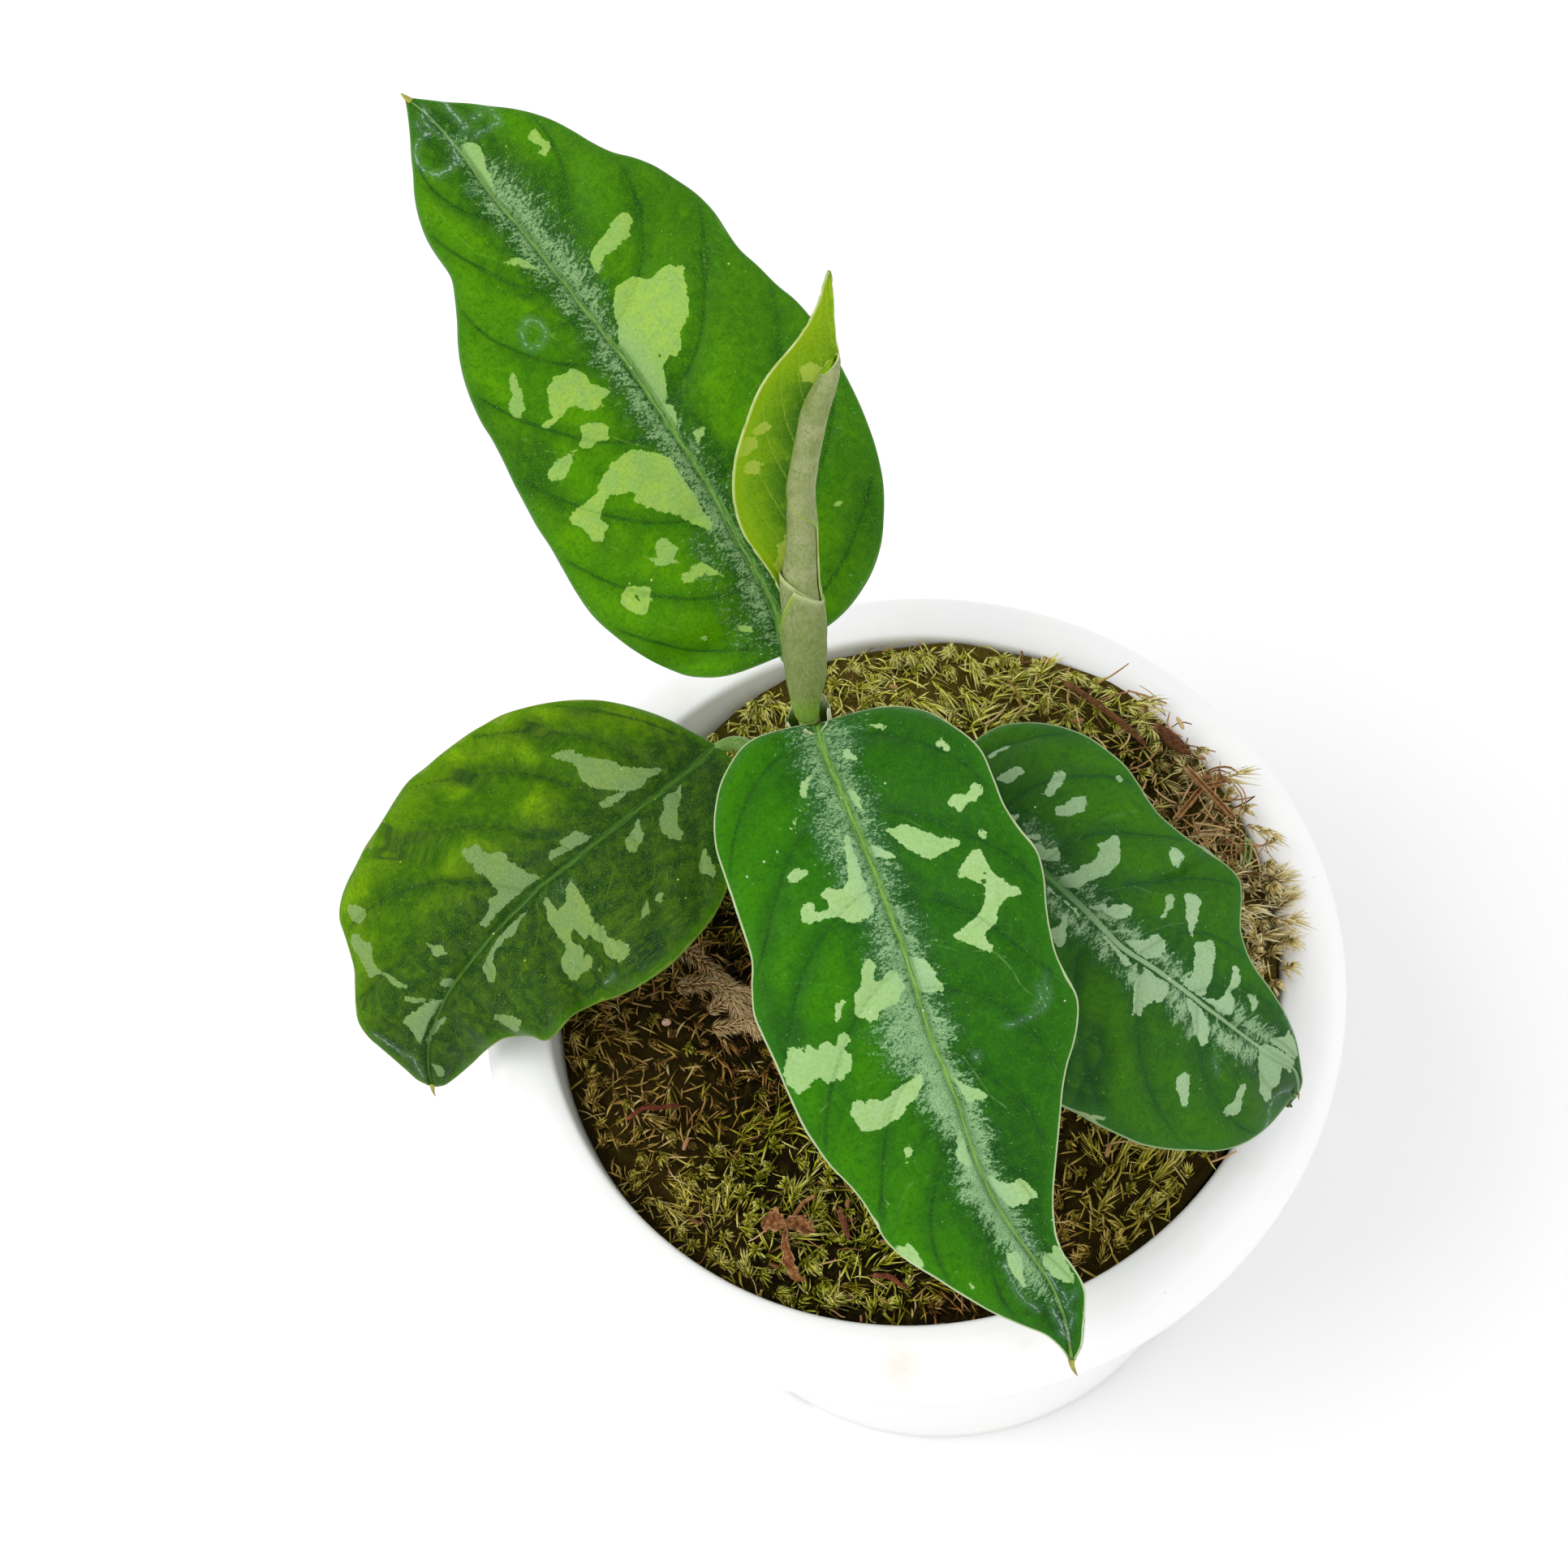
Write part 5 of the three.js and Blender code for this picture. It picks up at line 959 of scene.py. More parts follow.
def leaf_material(name, p):
    """Upper face of a blade. p holds the leaf's own colours and weights."""
    g = Shade(name, rough=0.44, spec=p.get("spec", 0.05))
    flat = g.vec("flat")
    blot, silv, line, crust = g.attr("blot"), g.attr("silv"), g.attr("line"), g.attr("crust")
    vein, edge, mid, along, tint = g.attr("vein"), g.attr("edge"), g.attr("mid"), g.attr("along"), g.attr("tint")
    patch = g.noise(g.scale(flat, (0.10, 0.075, 1), p["shift"]), 1.0, 2.5, 0.55, 0.4)
    small = g.noise(flat, 0.55, 4.0, 0.6, 0.3)
    grain = g.noise(flat, 2.5, 3.0, 0.7)
    fine = g.noise(flat, 5.0, 3.0, 0.7)
    # tissue: bright islands between darker bands that follow the veins
    wob = g.mul(g.sub(g.noise(flat, 0.35, 2.0), 0.5), 2.4)
    between = g.step(-0.2, p.get("band", 2.6), g.add(vein, wob))
    away = g.step(1.0, 6.0, mid)
    light = g.mul(g.mul(between, away), g.step(p.get("patch0", 0.36), 0.64, patch))
    # painted shade: one half or one end of a blade is painted deeper in colour, where it is turned from the light
    ax, ay, a0, a1, aw = p.get("shade_map", (0.0, 0.0, 1.0, 2.0, 0.0))
    ux, uy = g.split(flat, 0), g.split(flat, 1)
    field = g.add(g.add(g.mul(ux, ax), g.mul(uy, ay)), g.mul(g.sub(patch, 0.5), 9.0))
    side_shade = g.mul(g.step(a0, a1, field), aw)
    base = g.mix(g.mul(g.sub(1.0, between), p.get("band_mix", 0.55)), p["green"], p["dark"])
    base = g.mix(g.mul(g.mul(light, p.get("glow", 0.9)), g.sub(1.0, g.mul(side_shade, 0.8))), base, p["bright"])
    # painted light: a bright band along the margins, where the edges catch the light, held back on the painted shade
    # side
    outer = g.mul(g.step(p.get("outer", 6.0), 0.8, g.add(edge, g.mul(g.sub(patch, 0.5), 9.0))), p.get("outer_mix", 0.5))
    base = g.mix(g.mul(outer, g.sub(1.0, side_shade)), base, p["bright"])
    base = g.mix(side_shade, base, p["deep"])
    base = g.mix(g.step(0.54, 0.68, g.noise(g.scale(flat, (0.08, 0.06, 1), (7, 3, 0)), 1.0, 1.5), 0.0, 0.7), base, p["deep"])
    # painted shade: the blade darkened within a few millimetres of the midrib, in the fold where the two halves rise
    near = g.step(p.get("shade", 8.0), 0.6, g.add(mid, g.mul(g.sub(small, 0.5), 6.0)))
    base = g.mix(g.mul(near, 0.90), base, p["deep"])
    mott = g.noise(flat, 0.95, 4.0, 0.7, 0.6)
    base = g.mix(g.step(0.48, 0.66, mott, 0.0, p.get("mott", 0.42)), base, p["pit"])
    base = g.mix(g.step(0.48, 0.34, mott, 0.0, p.get("mott", 0.42) * 0.6), base, p["bright"])
    # painted shade: a narrow dark band along each sunken lateral vein
    base = g.mix(g.mul(g.step(0.34, 0.04, vein), g.mul(g.step(0.3, 2.0, mid), 0.85)), base, p["deep"])
    base = g.mix(g.step(0.35, 0.75, small, 0.0, 0.22), base, p["bright"])
    rim = g.step(p.get("rim_in", 1.7), 0.15, g.add(edge, g.mul(g.sub(small, 0.5), 1.0)))
    base = g.mix(g.mul(rim, p.get("rim_mix", 0.5)), base, p["rim"])
    base = g.mix(g.step(0.46, 0.66, grain, 0.0, 0.46), base, p["pit"])
    base = g.mix(g.step(0.50, 0.62, fine, 0.0, p.get("fine_mix", 0.40)), base, p["bright"])
    # lacy silver beside the midrib: feathered outline, fine threads drawn along the veins
    thread = g.noise(g.scale(flat, (1.0, 1.9, 1)), 1.15, 6.0, 0.72, 0.9)
    lace = g.cells(g.add_vec(flat, thread, 0.5), 1.5, "DISTANCE_TO_EDGE")
    run = g.add(g.mul(mid, 0.85), g.mul(uy, 0.53))
    cross = g.sub(g.mul(uy, 0.85), g.mul(mid, 0.53))
    comb = g.noise(g.xyz(g.mul(run, 0.42), g.mul(cross, 2.3), g.mul(g.step(-0.1, 0.1, ux), 7.0)), 1.0, 5.0, 0.68, 0.35)
    drift = g.noise(g.scale(flat, (0.28, 0.75, 1), (3, 1, 0)), 1.0, 3.0, 0.6, 0.6)
    powder = g.noise(g.scale(flat, (1.0, 1.35, 1), (8, 2, 0)), 2.3, 5.0, 0.8)
    ragged_s = g.add(g.mul(g.sub(drift, 0.5), 5.0), g.add(g.mul(g.sub(comb, 0.5), 2.6), g.mul(g.sub(powder, 0.5), 4.0)))
    inside_s = g.step(-1.1, 2.4, g.add(silv, ragged_s))
    cover = g.add(g.mul(g.sub(g.add(g.mul(thread, 0.36), g.add(g.mul(comb, 0.22), g.mul(powder, 0.42))), 0.5), 2.5), g.mul(g.step(0.10, 0.0, lace), 0.07))
    y0, y1, more = p.get("solid", (0.0, 1.0, 0.0))
    lace_w = g.add(p.get("lace", 0.2), g.add(g.mul(g.step(y0, y1, uy), more), g.mul(g.step(3.2, 0.6, mid), 0.07)))
    cover = g.sub(g.add(cover, g.mul(inside_s, lace_w)), 0.16)
    silver = g.mul(g.step(-0.02, p.get("soft", 0.15), cover), g.step(0.02, 0.15, inside_s))
    holes = g.noise(g.scale(flat, (0.8, 1.5, 1), (5, 5, 0)), 4.2, 4.0, 0.75)
    silver = g.mul(silver, g.step(0.60, 0.50, holes, p.get("hole", 0.45), 1.0))
    silver_col = g.mix(g.step(0.35, 0.65, small), p["silver"], p["silver2"])
    silver_col = g.mix(g.step(0.44, 0.62, fine, 0.0, 0.34), silver_col, p["deep"])
    under = g.mix(g.mul(inside_s, 0.85), base, p["lace_dark"])
    col = g.mix(g.mul(silver, p.get("silver_w", 0.92)), under, silver_col)
    # clear-cut pale blotches
    ragged = g.add(g.mul(g.sub(g.noise(flat, 1.3, 2.0, 0.5), 0.5), 0.62), g.mul(g.sub(g.noise(flat, 2.8, 4.0, 0.7), 0.5), 0.62))
    b = g.add(blot, ragged)
    bmask = g.step(-0.03, 0.04, b)
    bcol = g.mix(g.step(0.35, 0.62, g.noise(flat, 0.45, 3.0, 0.6)), p["blotch"], p["blotch2"])
    bcol = g.mix(g.step(4.0, 1.0, mid), bcol, p["blotch_mid"])
    bcol = g.mix(g.step(0.45, 0.80, tint, 0.0, 0.5), bcol, p["blotch3"])
    bcol = g.mix(g.step(0.47, 0.62, grain, 0.0, 0.45), bcol, p["blotch_low"])
    bcol = g.mix(g.step(0.50, 0.66, powder, 0.0, 0.45), bcol, p["blotch_low"])
    bcol = g.mix(g.step(0.56, 0.72, mott, 0.0, 0.40), bcol, p["blotch_low"])
    bcol = g.mix(g.step(0.48, 0.62, fine, 0.0, 0.20), bcol, (206, 214, 172))
    bcol = g.mix(g.step(0.35, 0.0, vein, 0.0, 0.3), bcol, p["green"])
    col = g.mix(g.mul(bmask, p.get("blotch_w", 0.95)), col, bcol)
    # thin pale vein lines
    ln = g.mul(g.step(0.16, 0.03, g.add(line, g.mul(g.sub(small, 0.5), 0.10))), g.step(0.35, 0.6, g.noise(flat, 0.6, 2.0), 0.08, 0.48))
    col = g.mix(g.mul(ln, g.sub(1.0, g.mul(bmask, 0.7))), col, p["line"])
    lat = g.mul(g.step(0.10, 0.02, vein), g.mul(g.step(0.8, 2.5, mid), g.step(0.45, 0.65, g.noise(flat, 0.25, 2.0), 0.0, 0.45)))
    col = g.mix(lat, col, p["line"])
    # midrib
    w = g.add(g.mul(g.m("POWER", g.sub(1.0, along), 1.1), p.get("mid_w", 0.5)), 0.10)
    rib = g.step(g.add(w, 0.10), g.sub(w, 0.06), g.add(mid, g.mul(g.sub(grain, 0.5), 0.16)))
    streak = g.noise(g.scale(flat, (3.0, 0.35, 1)), 1.2, 4.0, 0.7)
    ribcol = g.mix(g.step(0.42, 0.60, streak), p["mid"], p["mid2"])
    ribcol = g.mix(g.step(0.16, 0.03, mid, 0.0, 0.5), ribcol, p["mid_line"])
    pale = g.sub(1.0, g.mul(g.step(y0, y1, uy), p.get("rib_fade", 0.0)))
    col = g.mix(g.mul(g.mul(rib, p.get("mid_mix", 0.82)), pale), col, ribcol)
    col = g.mix(g.mul(rib, g.mul(g.sub(1.0, pale), 0.85)), col, p["silver2"])
    # painted shade in the channel beside the midrib
    midrib_groove_shade = g.mul(g.step(0.26, 0.05, g.m("ABSOLUTE", g.sub(mid, g.add(w, 0.15)))), 0.35)
    col = g.mix(g.mul(midrib_groove_shade, pale), col, p["lace_dark"])
    # margin
    m1 = g.step(0.24, 0.10, g.add(edge, g.mul(g.sub(small, 0.5), 0.10)))
    col = g.mix(g.mul(m1, p.get("margin_mix", 0.8)), col, p["margin"])
    # pin-point flecks
    dot = g.cells(g.scale(flat, (1, 1, 1), (2.3, 5.1, 0)), 0.36, "F1", "Distance")
    cid = g.cells(g.scale(flat, (1, 1, 1), (2.3, 5.1, 0)), 0.36, "F1", "Color")
    r = g.split(cid, 0)
    spot = g.mul(g.step(0.060, 0.035, dot), g.step(0.45, 0.5, r))
    col = g.mix(g.mul(spot, 0.85), col, g.mix(g.split(cid, 1), p["fleck"], p["fleck2"]))
    dot2 = g.cells(g.scale(flat, (1, 1, 1), (9.3, 1.1, 0)), 1.1, "F1", "Distance")
    spot2 = g.mul(g.step(0.10, 0.05, dot2), g.step(0.62, 0.66, g.split(g.cells(g.scale(flat, (1, 1, 1), (9.3, 1.1, 0)), 1.1, "F1", "Color"), 0)))
    col = g.mix(g.mul(spot2, 0.35), col, p["fleck"])
    # dried mineral crust
    broken = g.noise(flat, 3.2, 3.0, 0.6)
    cm = g.mul(g.step(0.15, 0.03, g.add(crust, g.mul(g.sub(broken, 0.5), 0.5))), g.step(0.36, 0.56, g.noise(flat, 1.3, 3.0, 0.6)))
    haze = g.mul(g.step(0.9, 0.1, g.add(crust, g.mul(g.sub(broken, 0.5), 1.6))), 0.08)
    col = g.mix(haze, col, (140, 170, 158))
    col = g.mix(g.mul(cm, 0.44), col, (184, 202, 196))
    rough = g.add(g.step(0.3, 0.7, small, 0.36, 0.50), g.mul(cm, 0.3))
    h = g.add(g.mul(grain, 0.6), g.mul(fine, 0.4))
    nrm = g.bump(h, 0.10, 0.55)
    nrm = g.bump(g.add(g.mul(small, 0.7), g.mul(bmask, 0.10)), 0.22, 0.5, nrm)
    return g.done(col, rough, nrm)


def under_material(name, p):
    g = Shade(name, rough=0.55, spec=0.2)
    flat = g.vec("flat")
    vein, mid, edge, blot = g.attr("vein"), g.attr("mid"), g.attr("edge"), g.attr("blot")
    small = g.noise(flat, 0.6, 4.0, 0.6)
    col = g.mix(g.step(0.35, 0.7, small), p["u1"], p["u2"])
    col = g.mix(g.step(0.45, 0.1, vein, 0.0, 0.7), col, p["u_vein"])
    col = g.mix(g.mul(g.step(-0.3, 0.5, blot), 0.35), col, p["u_pale"])
    col = g.mix(g.step(1.3, 0.6, mid, 0.0, 0.85), col, p["u_mid"])
    net = g.cells(flat, 1.2, "DISTANCE_TO_EDGE")
    col = g.mix(g.step(0.06, 0.0, net, 0.0, 0.22), col, p["u_vein"])
    col = g.mix(g.step(0.3, 0.75, g.noise(flat, 7.0, 2.0), 0.0, 0.2), col, p["u_dark"])
    return g.done(col, None, g.bump(g.add(small, g.mul(g.step(0.08, 0.0, net), 0.5)), 0.12, 0.5))


def margin_material(name, c1, c2):
    g = Shade(name, rough=0.45)
    n = g.noise(g.obj(), 0.8, 4.0, 0.6)
    return g.done(g.mix(g.step(0.35, 0.65, n), c1, c2), None, g.bump(n, 0.08, 0.4))


# ---------------------------------------------------- petioles, stem, new leaf
STEM = [[-4.6, 7.6, 66, 4.4], [-4.8, 8.1, 74, 4.9], [-5.2, 9.0, 84, 4.5], [-5.6, 10.0, 94, 3.9], [-5.8, 10.8, 103, 3.3], [-5.8, 11.3, 110, 2.5]]
FRONT_PET = [[-5.8, 8.6, 101, 1.9], [-5.9, 8.8, 106, 1.8], [-6.1, 9.8, 116, 1.6], [-6.2, 10.6, 127, 1.45], [-6.2, 10.9, 135, 1.4], [-6.2, 11.2, 137.8, 1.15], [-6.1, 10.2, 138.7, 0.85], [-5.95, 8.6, 139.2, 0.5]]
FRONT_SHEATH = [[-5.8, 11.4, 106.5, 3.9], [-5.9, 12.2, 113, 3.2], [-6.2, 12.9, 121, 2.7], [-6.5, 13.2, 130, 2.35], [-6.75, 13.4, 136.5, 2.25], [-6.9, 13.55, 141.5, 2.35]]
BACK_PET = [[-5.9, 12.4, 96.5, 1.9], [-6.2, 15.2, 101, 1.9], [-6.6, 17.0, 107, 1.7], [-6.9, 17.6, 116, 1.5], [-7.0, 17.9, 128, 1.35], [-7.1, 18.4, 139, 1.3], [-7.3, 18.7, 144, 1.2], [-8.0, 18.6, 146.2, 0.9], [-8.2, 20.6, 147.3, 0.65], [-8.35, 23.4, 149.3, 0.4]]
LEFT_PET = [[-6.6, 10.4, 92.5, 1.9], [-8.6, 12.6, 96.5, 1.8], [-10.4, 16.4, 102, 1.6], [-12.4, 21.0, 108.5, 1.45], [-15.2, 24.5, 110.9, 1.05], [-18.1, 24.9, 110.8, 0.82], [-20.6, 23.2, 111.0, 0.6], [-23.0, 21.4, 111.7, 0.4]]
RIGHT_PET = [[-5.0, 10.2, 95.5, 1.9], [-2.2, 9.6, 99.5, 1.8], [0.6, 9.4, 106, 1.6], [3.4, 9.6, 114, 1.4], [6.0, 9.6, 120.3, 1.1], [7.5, 8.7, 122.0, 0.9], [9.0, 6.2, 122.7, 0.62], [10.4, 3.8, 123.6, 0.4]]
NEW_AXIS = [
    [-5.7, 12.3, 111.6, 1.4], [-6.1, 13.2, 120, 1.35], [-6.5, 13.5, 130, 1.3], [-6.9, 13.6, 140, 1.3], [-6.8, 13.9, 143.3, 1.55],
    [-6.3, 14.8, 146.3, 2.1], [-5.9, 16.0, 150.4, 2.36], [-5.5, 17.3, 154.5, 2.44], [-5.3, 18.4, 158, 2.5],
    [-5.0, 19.6, 161.8, 2.4], [-4.2, 21.1, 166.7, 2.0], [-3.7, 22.3, 170.5, 1.92], [-3.2, 23.7, 174.8, 1.79],
    [-2.3, 24.9, 178.6, 1.7], [-1.1, 26.2, 182.8, 1.75], [-0.1, 27.2, 186.2, 1.75], [1.4, 28.4, 190, 1.45],
    [2.7, 29.7, 194.2, 0.95], [3.6, 31.2, 199, 0.6], [4.0, 33.0, 204.8, 0.25]]
NEW_OPEN = [
    [[-8.2, 20.6, 164.4], [-5.2, 19.4, 161.2]], [[-9.8, 21.9, 169.2], [-4.2, 21.0, 166.4]], [[-10.5, 23.0, 172.8], [-3.8, 22.1, 170]],
    [[-10.5, 24.2, 176.7], [-3.2, 23.5, 174.2]], [[-9.9, 25.4, 180.3], [-2.6, 24.6, 177.6]], [[-9.1, 26.2, 183.0], [-1.9, 25.4, 180.2]],
    [[-7.7, 27.3, 186.3], [-1.0, 26.3, 183.2]], [[-6.2, 28.3, 189.6], [-0.1, 27.2, 186.2]], [[-4.8, 29.0, 191.9], [0.7, 27.9, 188.4]],
    [[-3.5, 29.6, 193.3], [2.3, 28.5, 190.9]], [[-2.3, 30.0, 194.5], [3.3, 29.3, 193.2]], [[-0.8, 30.5, 196.1], [3.3, 30.0, 195.2]],
    [[0.4, 30.9, 197.8], [3.4, 30.6, 197.0]], [[1.4, 31.4, 199.5], [3.5, 31.1, 198.9]], [[2.3, 31.9, 201.2], [3.7, 31.7, 200.8]],
    [[2.8, 32.4, 202.6], [3.8, 32.2, 202.3]], [[3.4, 32.8, 204.0], [3.9, 32.7, 203.9]]]


def petiole(parts, path, n=48, sides=20, seed=0, wing=0.0, slot=0):
    """Petiole with a shallow channel on its upper side."""
    v, f, al = tube(path, n=n, sides=sides, lump=0.035, seed=seed, side=(0.1, 0.2, 1),
                    profile=lambda a: 1 - 0.14 * np.exp(-((a - math.pi) / 0.5) ** 2) + 0.03 * np.cos(3 * a))
    parts.add(v, f, slot, along=al)


def sheet_solid(grid, thick, normal=None):
    """A closed thin sheet from a grid of points (rows, cols, 3). thick may vary over the grid."""
    n, m = grid.shape[:2]
    du, dv = np.gradient(grid, axis=0), np.gradient(grid, axis=1)
    N = unit(np.cross(du, dv))
    if normal is not None:
        N = np.where(((N * normal).sum(-1) < 0)[..., None], -N, N)
    low = grid - N * np.broadcast_to(arr(thick), (n, m))[..., None]
    i, j = np.arange(n - 1)[:, None], np.arange(m - 1)[None]
    a = (i * m + j).ravel()
    top = np.stack([a, a + m, a + m + 1, a + 1], 1)
    bot = top[:, ::-1] + n * m
    e = []
    k = np.arange(n - 1)
    e.append(np.stack([k * m, n * m + k * m, n * m + (k + 1) * m, (k + 1) * m], 1))
    e.append(np.stack([k * m + m - 1, (k + 1) * m + m - 1, n * m + (k + 1) * m + m - 1, n * m + k * m + m - 1], 1))
    k = np.arange(m - 1)
    e.append(np.stack([k, k + 1, n * m + k + 1, n * m + k], 1))
    r = (n - 1) * m
    e.append(np.stack([r + k, n * m + r + k, n * m + r + k + 1, r + k + 1], 1))
    return np.vstack([grid.reshape(-1, 3), low.reshape(-1, 3)]), top, bot, np.vstack(e)


def wrap(path, n, m, a0, a1, r_in, r_out, cut_top=None, cut_low=None, flare=None, side=(0, -1, 0)):
    """A rolled sheet round a path of [x, y, z, r]: the angle runs a0..a1 and the radius factor r_in..r_out.
    a0 may be a function of how far along. Angle 0 faces -y and grows towards +x."""
    c = spline(path, n)
    T, N, B = frames(c[:, :3], side)
    if (B[0] * arr((1, 0, 0))).sum() < 0:
        B = -B
    u = np.linspace(0, 1, n)[:, None]
    q = np.linspace(0, 1, m)[None]
    s0 = a0(u) if callable(a0) else a0
    s1 = a1(u) if callable(a1) else a1
    ang = s0 + (s1 - s0) * q
    rr = c[:, 3:4] * (r_in + (r_out - r_in) * q)
    if flare is not None:
        rr = rr * flare(u, ang)
    P = c[:, None, :3] + N[:, None] * (rr * np.cos(ang))[..., None] + B[:, None] * (rr * np.sin(ang))[..., None]
    if cut_top is not None:          # the sheet's upper edge runs obliquely
        P = P + T[:, None] * (cut_top(ang) * u ** 3)[..., None]
    if cut_low is not None:
        P = P + T[:, None] * (cut_low(ang) * (1 - u) ** 3)[..., None]
    return P, ang, u + 0 * q


def new_leaf_piece(mats):
    parts = Parts()
    # petiole inside the front sheath
    low = NEW_AXIS[:5]
    v, f, al = tube(low, n=30, sides=20)
    parts.add(v, f, 0, along=al, face=0.0, hgt=0.0)
    # lower roll: a sheet wound one and a half turns, its free edge spiralling across the front
    path = [NEW_AXIS[3]] + NEW_AXIS[4:10]
    grow = 1.0
    seam = lambda u: math.radians(-175) + math.radians(150) * u ** 1.3
    P, ang, uu = wrap(path, 56, 84, seam, lambda u: seam(u) + math.radians(470), 1.05 * grow, 0.80 * grow,
                      cut_top=lambda a: 2.4 * np.cos(a + math.radians(75)) - 0.6)
    P += 0.05 * (fbm(P * 0.55, 3, 5))[..., None] * unit(P - P.mean(1, keepdims=True))
    v, t, b, e = sheet_solid(P, 0.22)
    q = np.tile(np.linspace(0, 1, 84), 56)
    edge = np.concatenate([q, q]) * 40
    hh = np.concatenate([uu.ravel()] * 2)
    lip = np.exp(-(((1 - hh) * 17) / 0.42) ** 2)
    parts.add(v, [t, b, e], [0, 0, 2], along=hh, face=0.0, hgt=hh, seam=edge, lip=lip)
    # upper roll, tighter, narrowing to the tip
    path = [[a[0], a[1], a[2], a[3] * b] for a, b in zip(NEW_AXIS[7:17], (1, .95, .90, .88, .86, .86, .84, .80, .80, .86))]
    path = path[:-1] + [[1.35, 28.2, 189.6, 1.18], [2.05, 28.7, 191.6, 0.92], [2.35, 28.95, 192.6, 0.60]]
    # the free edge lies on the right below, crosses the front aslant and runs up the left where the open half leaves
    seam2 = lambda u: math.radians(64) - math.radians(166) * smooth(0.37, 0.54, u)
    P, ang, uu = wrap(path, 110, 84, seam2, lambda u: seam2(u) + math.radians(405), 1.0, 0.84,
                      cut_top=lambda a: 1.5 * np.sin(a))
    P += 0.06 * (fbm(P * 0.5, 3, 9))[..., None] * unit(P - P.mean(1, keepdims=True))
    v, t, b, e = sheet_solid(P, 0.18)
    q = np.tile(np.linspace(0, 1, 84), 110)
    edge = np.concatenate([q, q]) * 24
    hh = np.concatenate([uu.ravel()] * 2)
    lip = np.exp(-(((1 - hh) * 40) / 0.40) ** 2)
    parts.add(v, [t, b, e], [0, 0, 2], along=hh, face=0.0, hgt=hh, seam=edge, lip=lip)
    # the innermost turns fill the roll
    core = [[a[0], a[1], a[2], a[3] * 0.74] for a in path]
    core[-1] = [2.75, 29.2, 193.3, 0.12]
    v, f, al = tube(core, n=60, sides=16, lump=0.05, seed=4)
    parts.add(v, f, 1, along=al, face=1.0, hgt=al, seam=9.0, vein=9.0, spot=-9.0, across=0.6, lip=0.0)
    # the half that has opened: from the roll out to its free margin
    rows = arr(NEW_OPEN).reshape(-1, 6)
    first = np.r_[[-7.2, 19.3, 160.2], [-5.6, 17.6, 156.0]]
    second = np.r_[[-7.6, 19.8, 162.0], [-5.4, 18.4, 158.6]]
    last = np.r_[[3.8, 33.05, 204.9], [3.83, 33.03, 204.85]]
    rows = np.vstack([first, second, rows, last])
    n, m = 100, 38
    R = spline(np.hstack([rows[:, 3:6], rows[:, :3]]), n)
    inner, outer = R[:, :3], R[:, 3:]
    span = np.linalg.norm(outer - inner, axis=1)[:, None]
    back = unit(arr((0.25, 0.86, -0.5)))
    along = np.linspace(0, 1, n)[:, None]
    K = (inner + outer) / 2 + back * span * 0.30
    q = np.linspace(0.0, 1, m)[None, :, None]
    P = inner[:, None] * (1 - q) ** 2 + K[:, None] * 2 * q * (1 - q) + outer[:, None] * q ** 2
    # curved lateral veins sink a little into the tissue
    s = np.linspace(0.0, 1, m)[None]
    ph = along * 9.5 - 2.6 * np.abs(s) ** 1.5
    vein = np.abs((ph + 0.5) % 1 - 0.5) / 9.5 * 48
    P = P + back * (0.10 * np.exp(-(vein / 0.5) ** 2) + 0.12 * fbm(P * 0.25, 2, 4))[..., None]
    P[:, -1] += 0.0
    marg = span * (1 - s)
    P = P - back * (0.25 * np.exp(-(marg / 0.5) ** 2))[..., None]
    v, t, b, e = sheet_solid(P, 0.20, normal=-back)
    spots = np.zeros((n, m)) - 9
    for (x, y, z, r, k) in ((0.1, 28.9, 190.9, 1.5, 1), (-8.2, 26.3, 182.6, 1.5, 1), (-7.8, 25.3, 179.0, 1.2, 1), (-6.0, 27.0, 184.2, 1.1, 1),
                            (-5.4, 21.5, 166.2, 1.6, 1), (-6.3, 21.2, 164.0, 1.3, 1), (-4.7, 22.1, 168.0, 1.0, 1)):
        dd = np.linalg.norm(P - arr((x, y, z)), axis=-1)
        spots = np.maximum(spots, (r - dd) * k)
    two = lambda x: np.concatenate([np.broadcast_to(x, (n, m)).ravel()] * 2)
    parts.add(v, [t, b, e], [1, 0, 2], along=two(along), face=1.0, hgt=two(along), seam=two(marg), vein=two(vein), spot=two(spots), across=two(s))
    return parts.build("new_leaf_finish", mats)


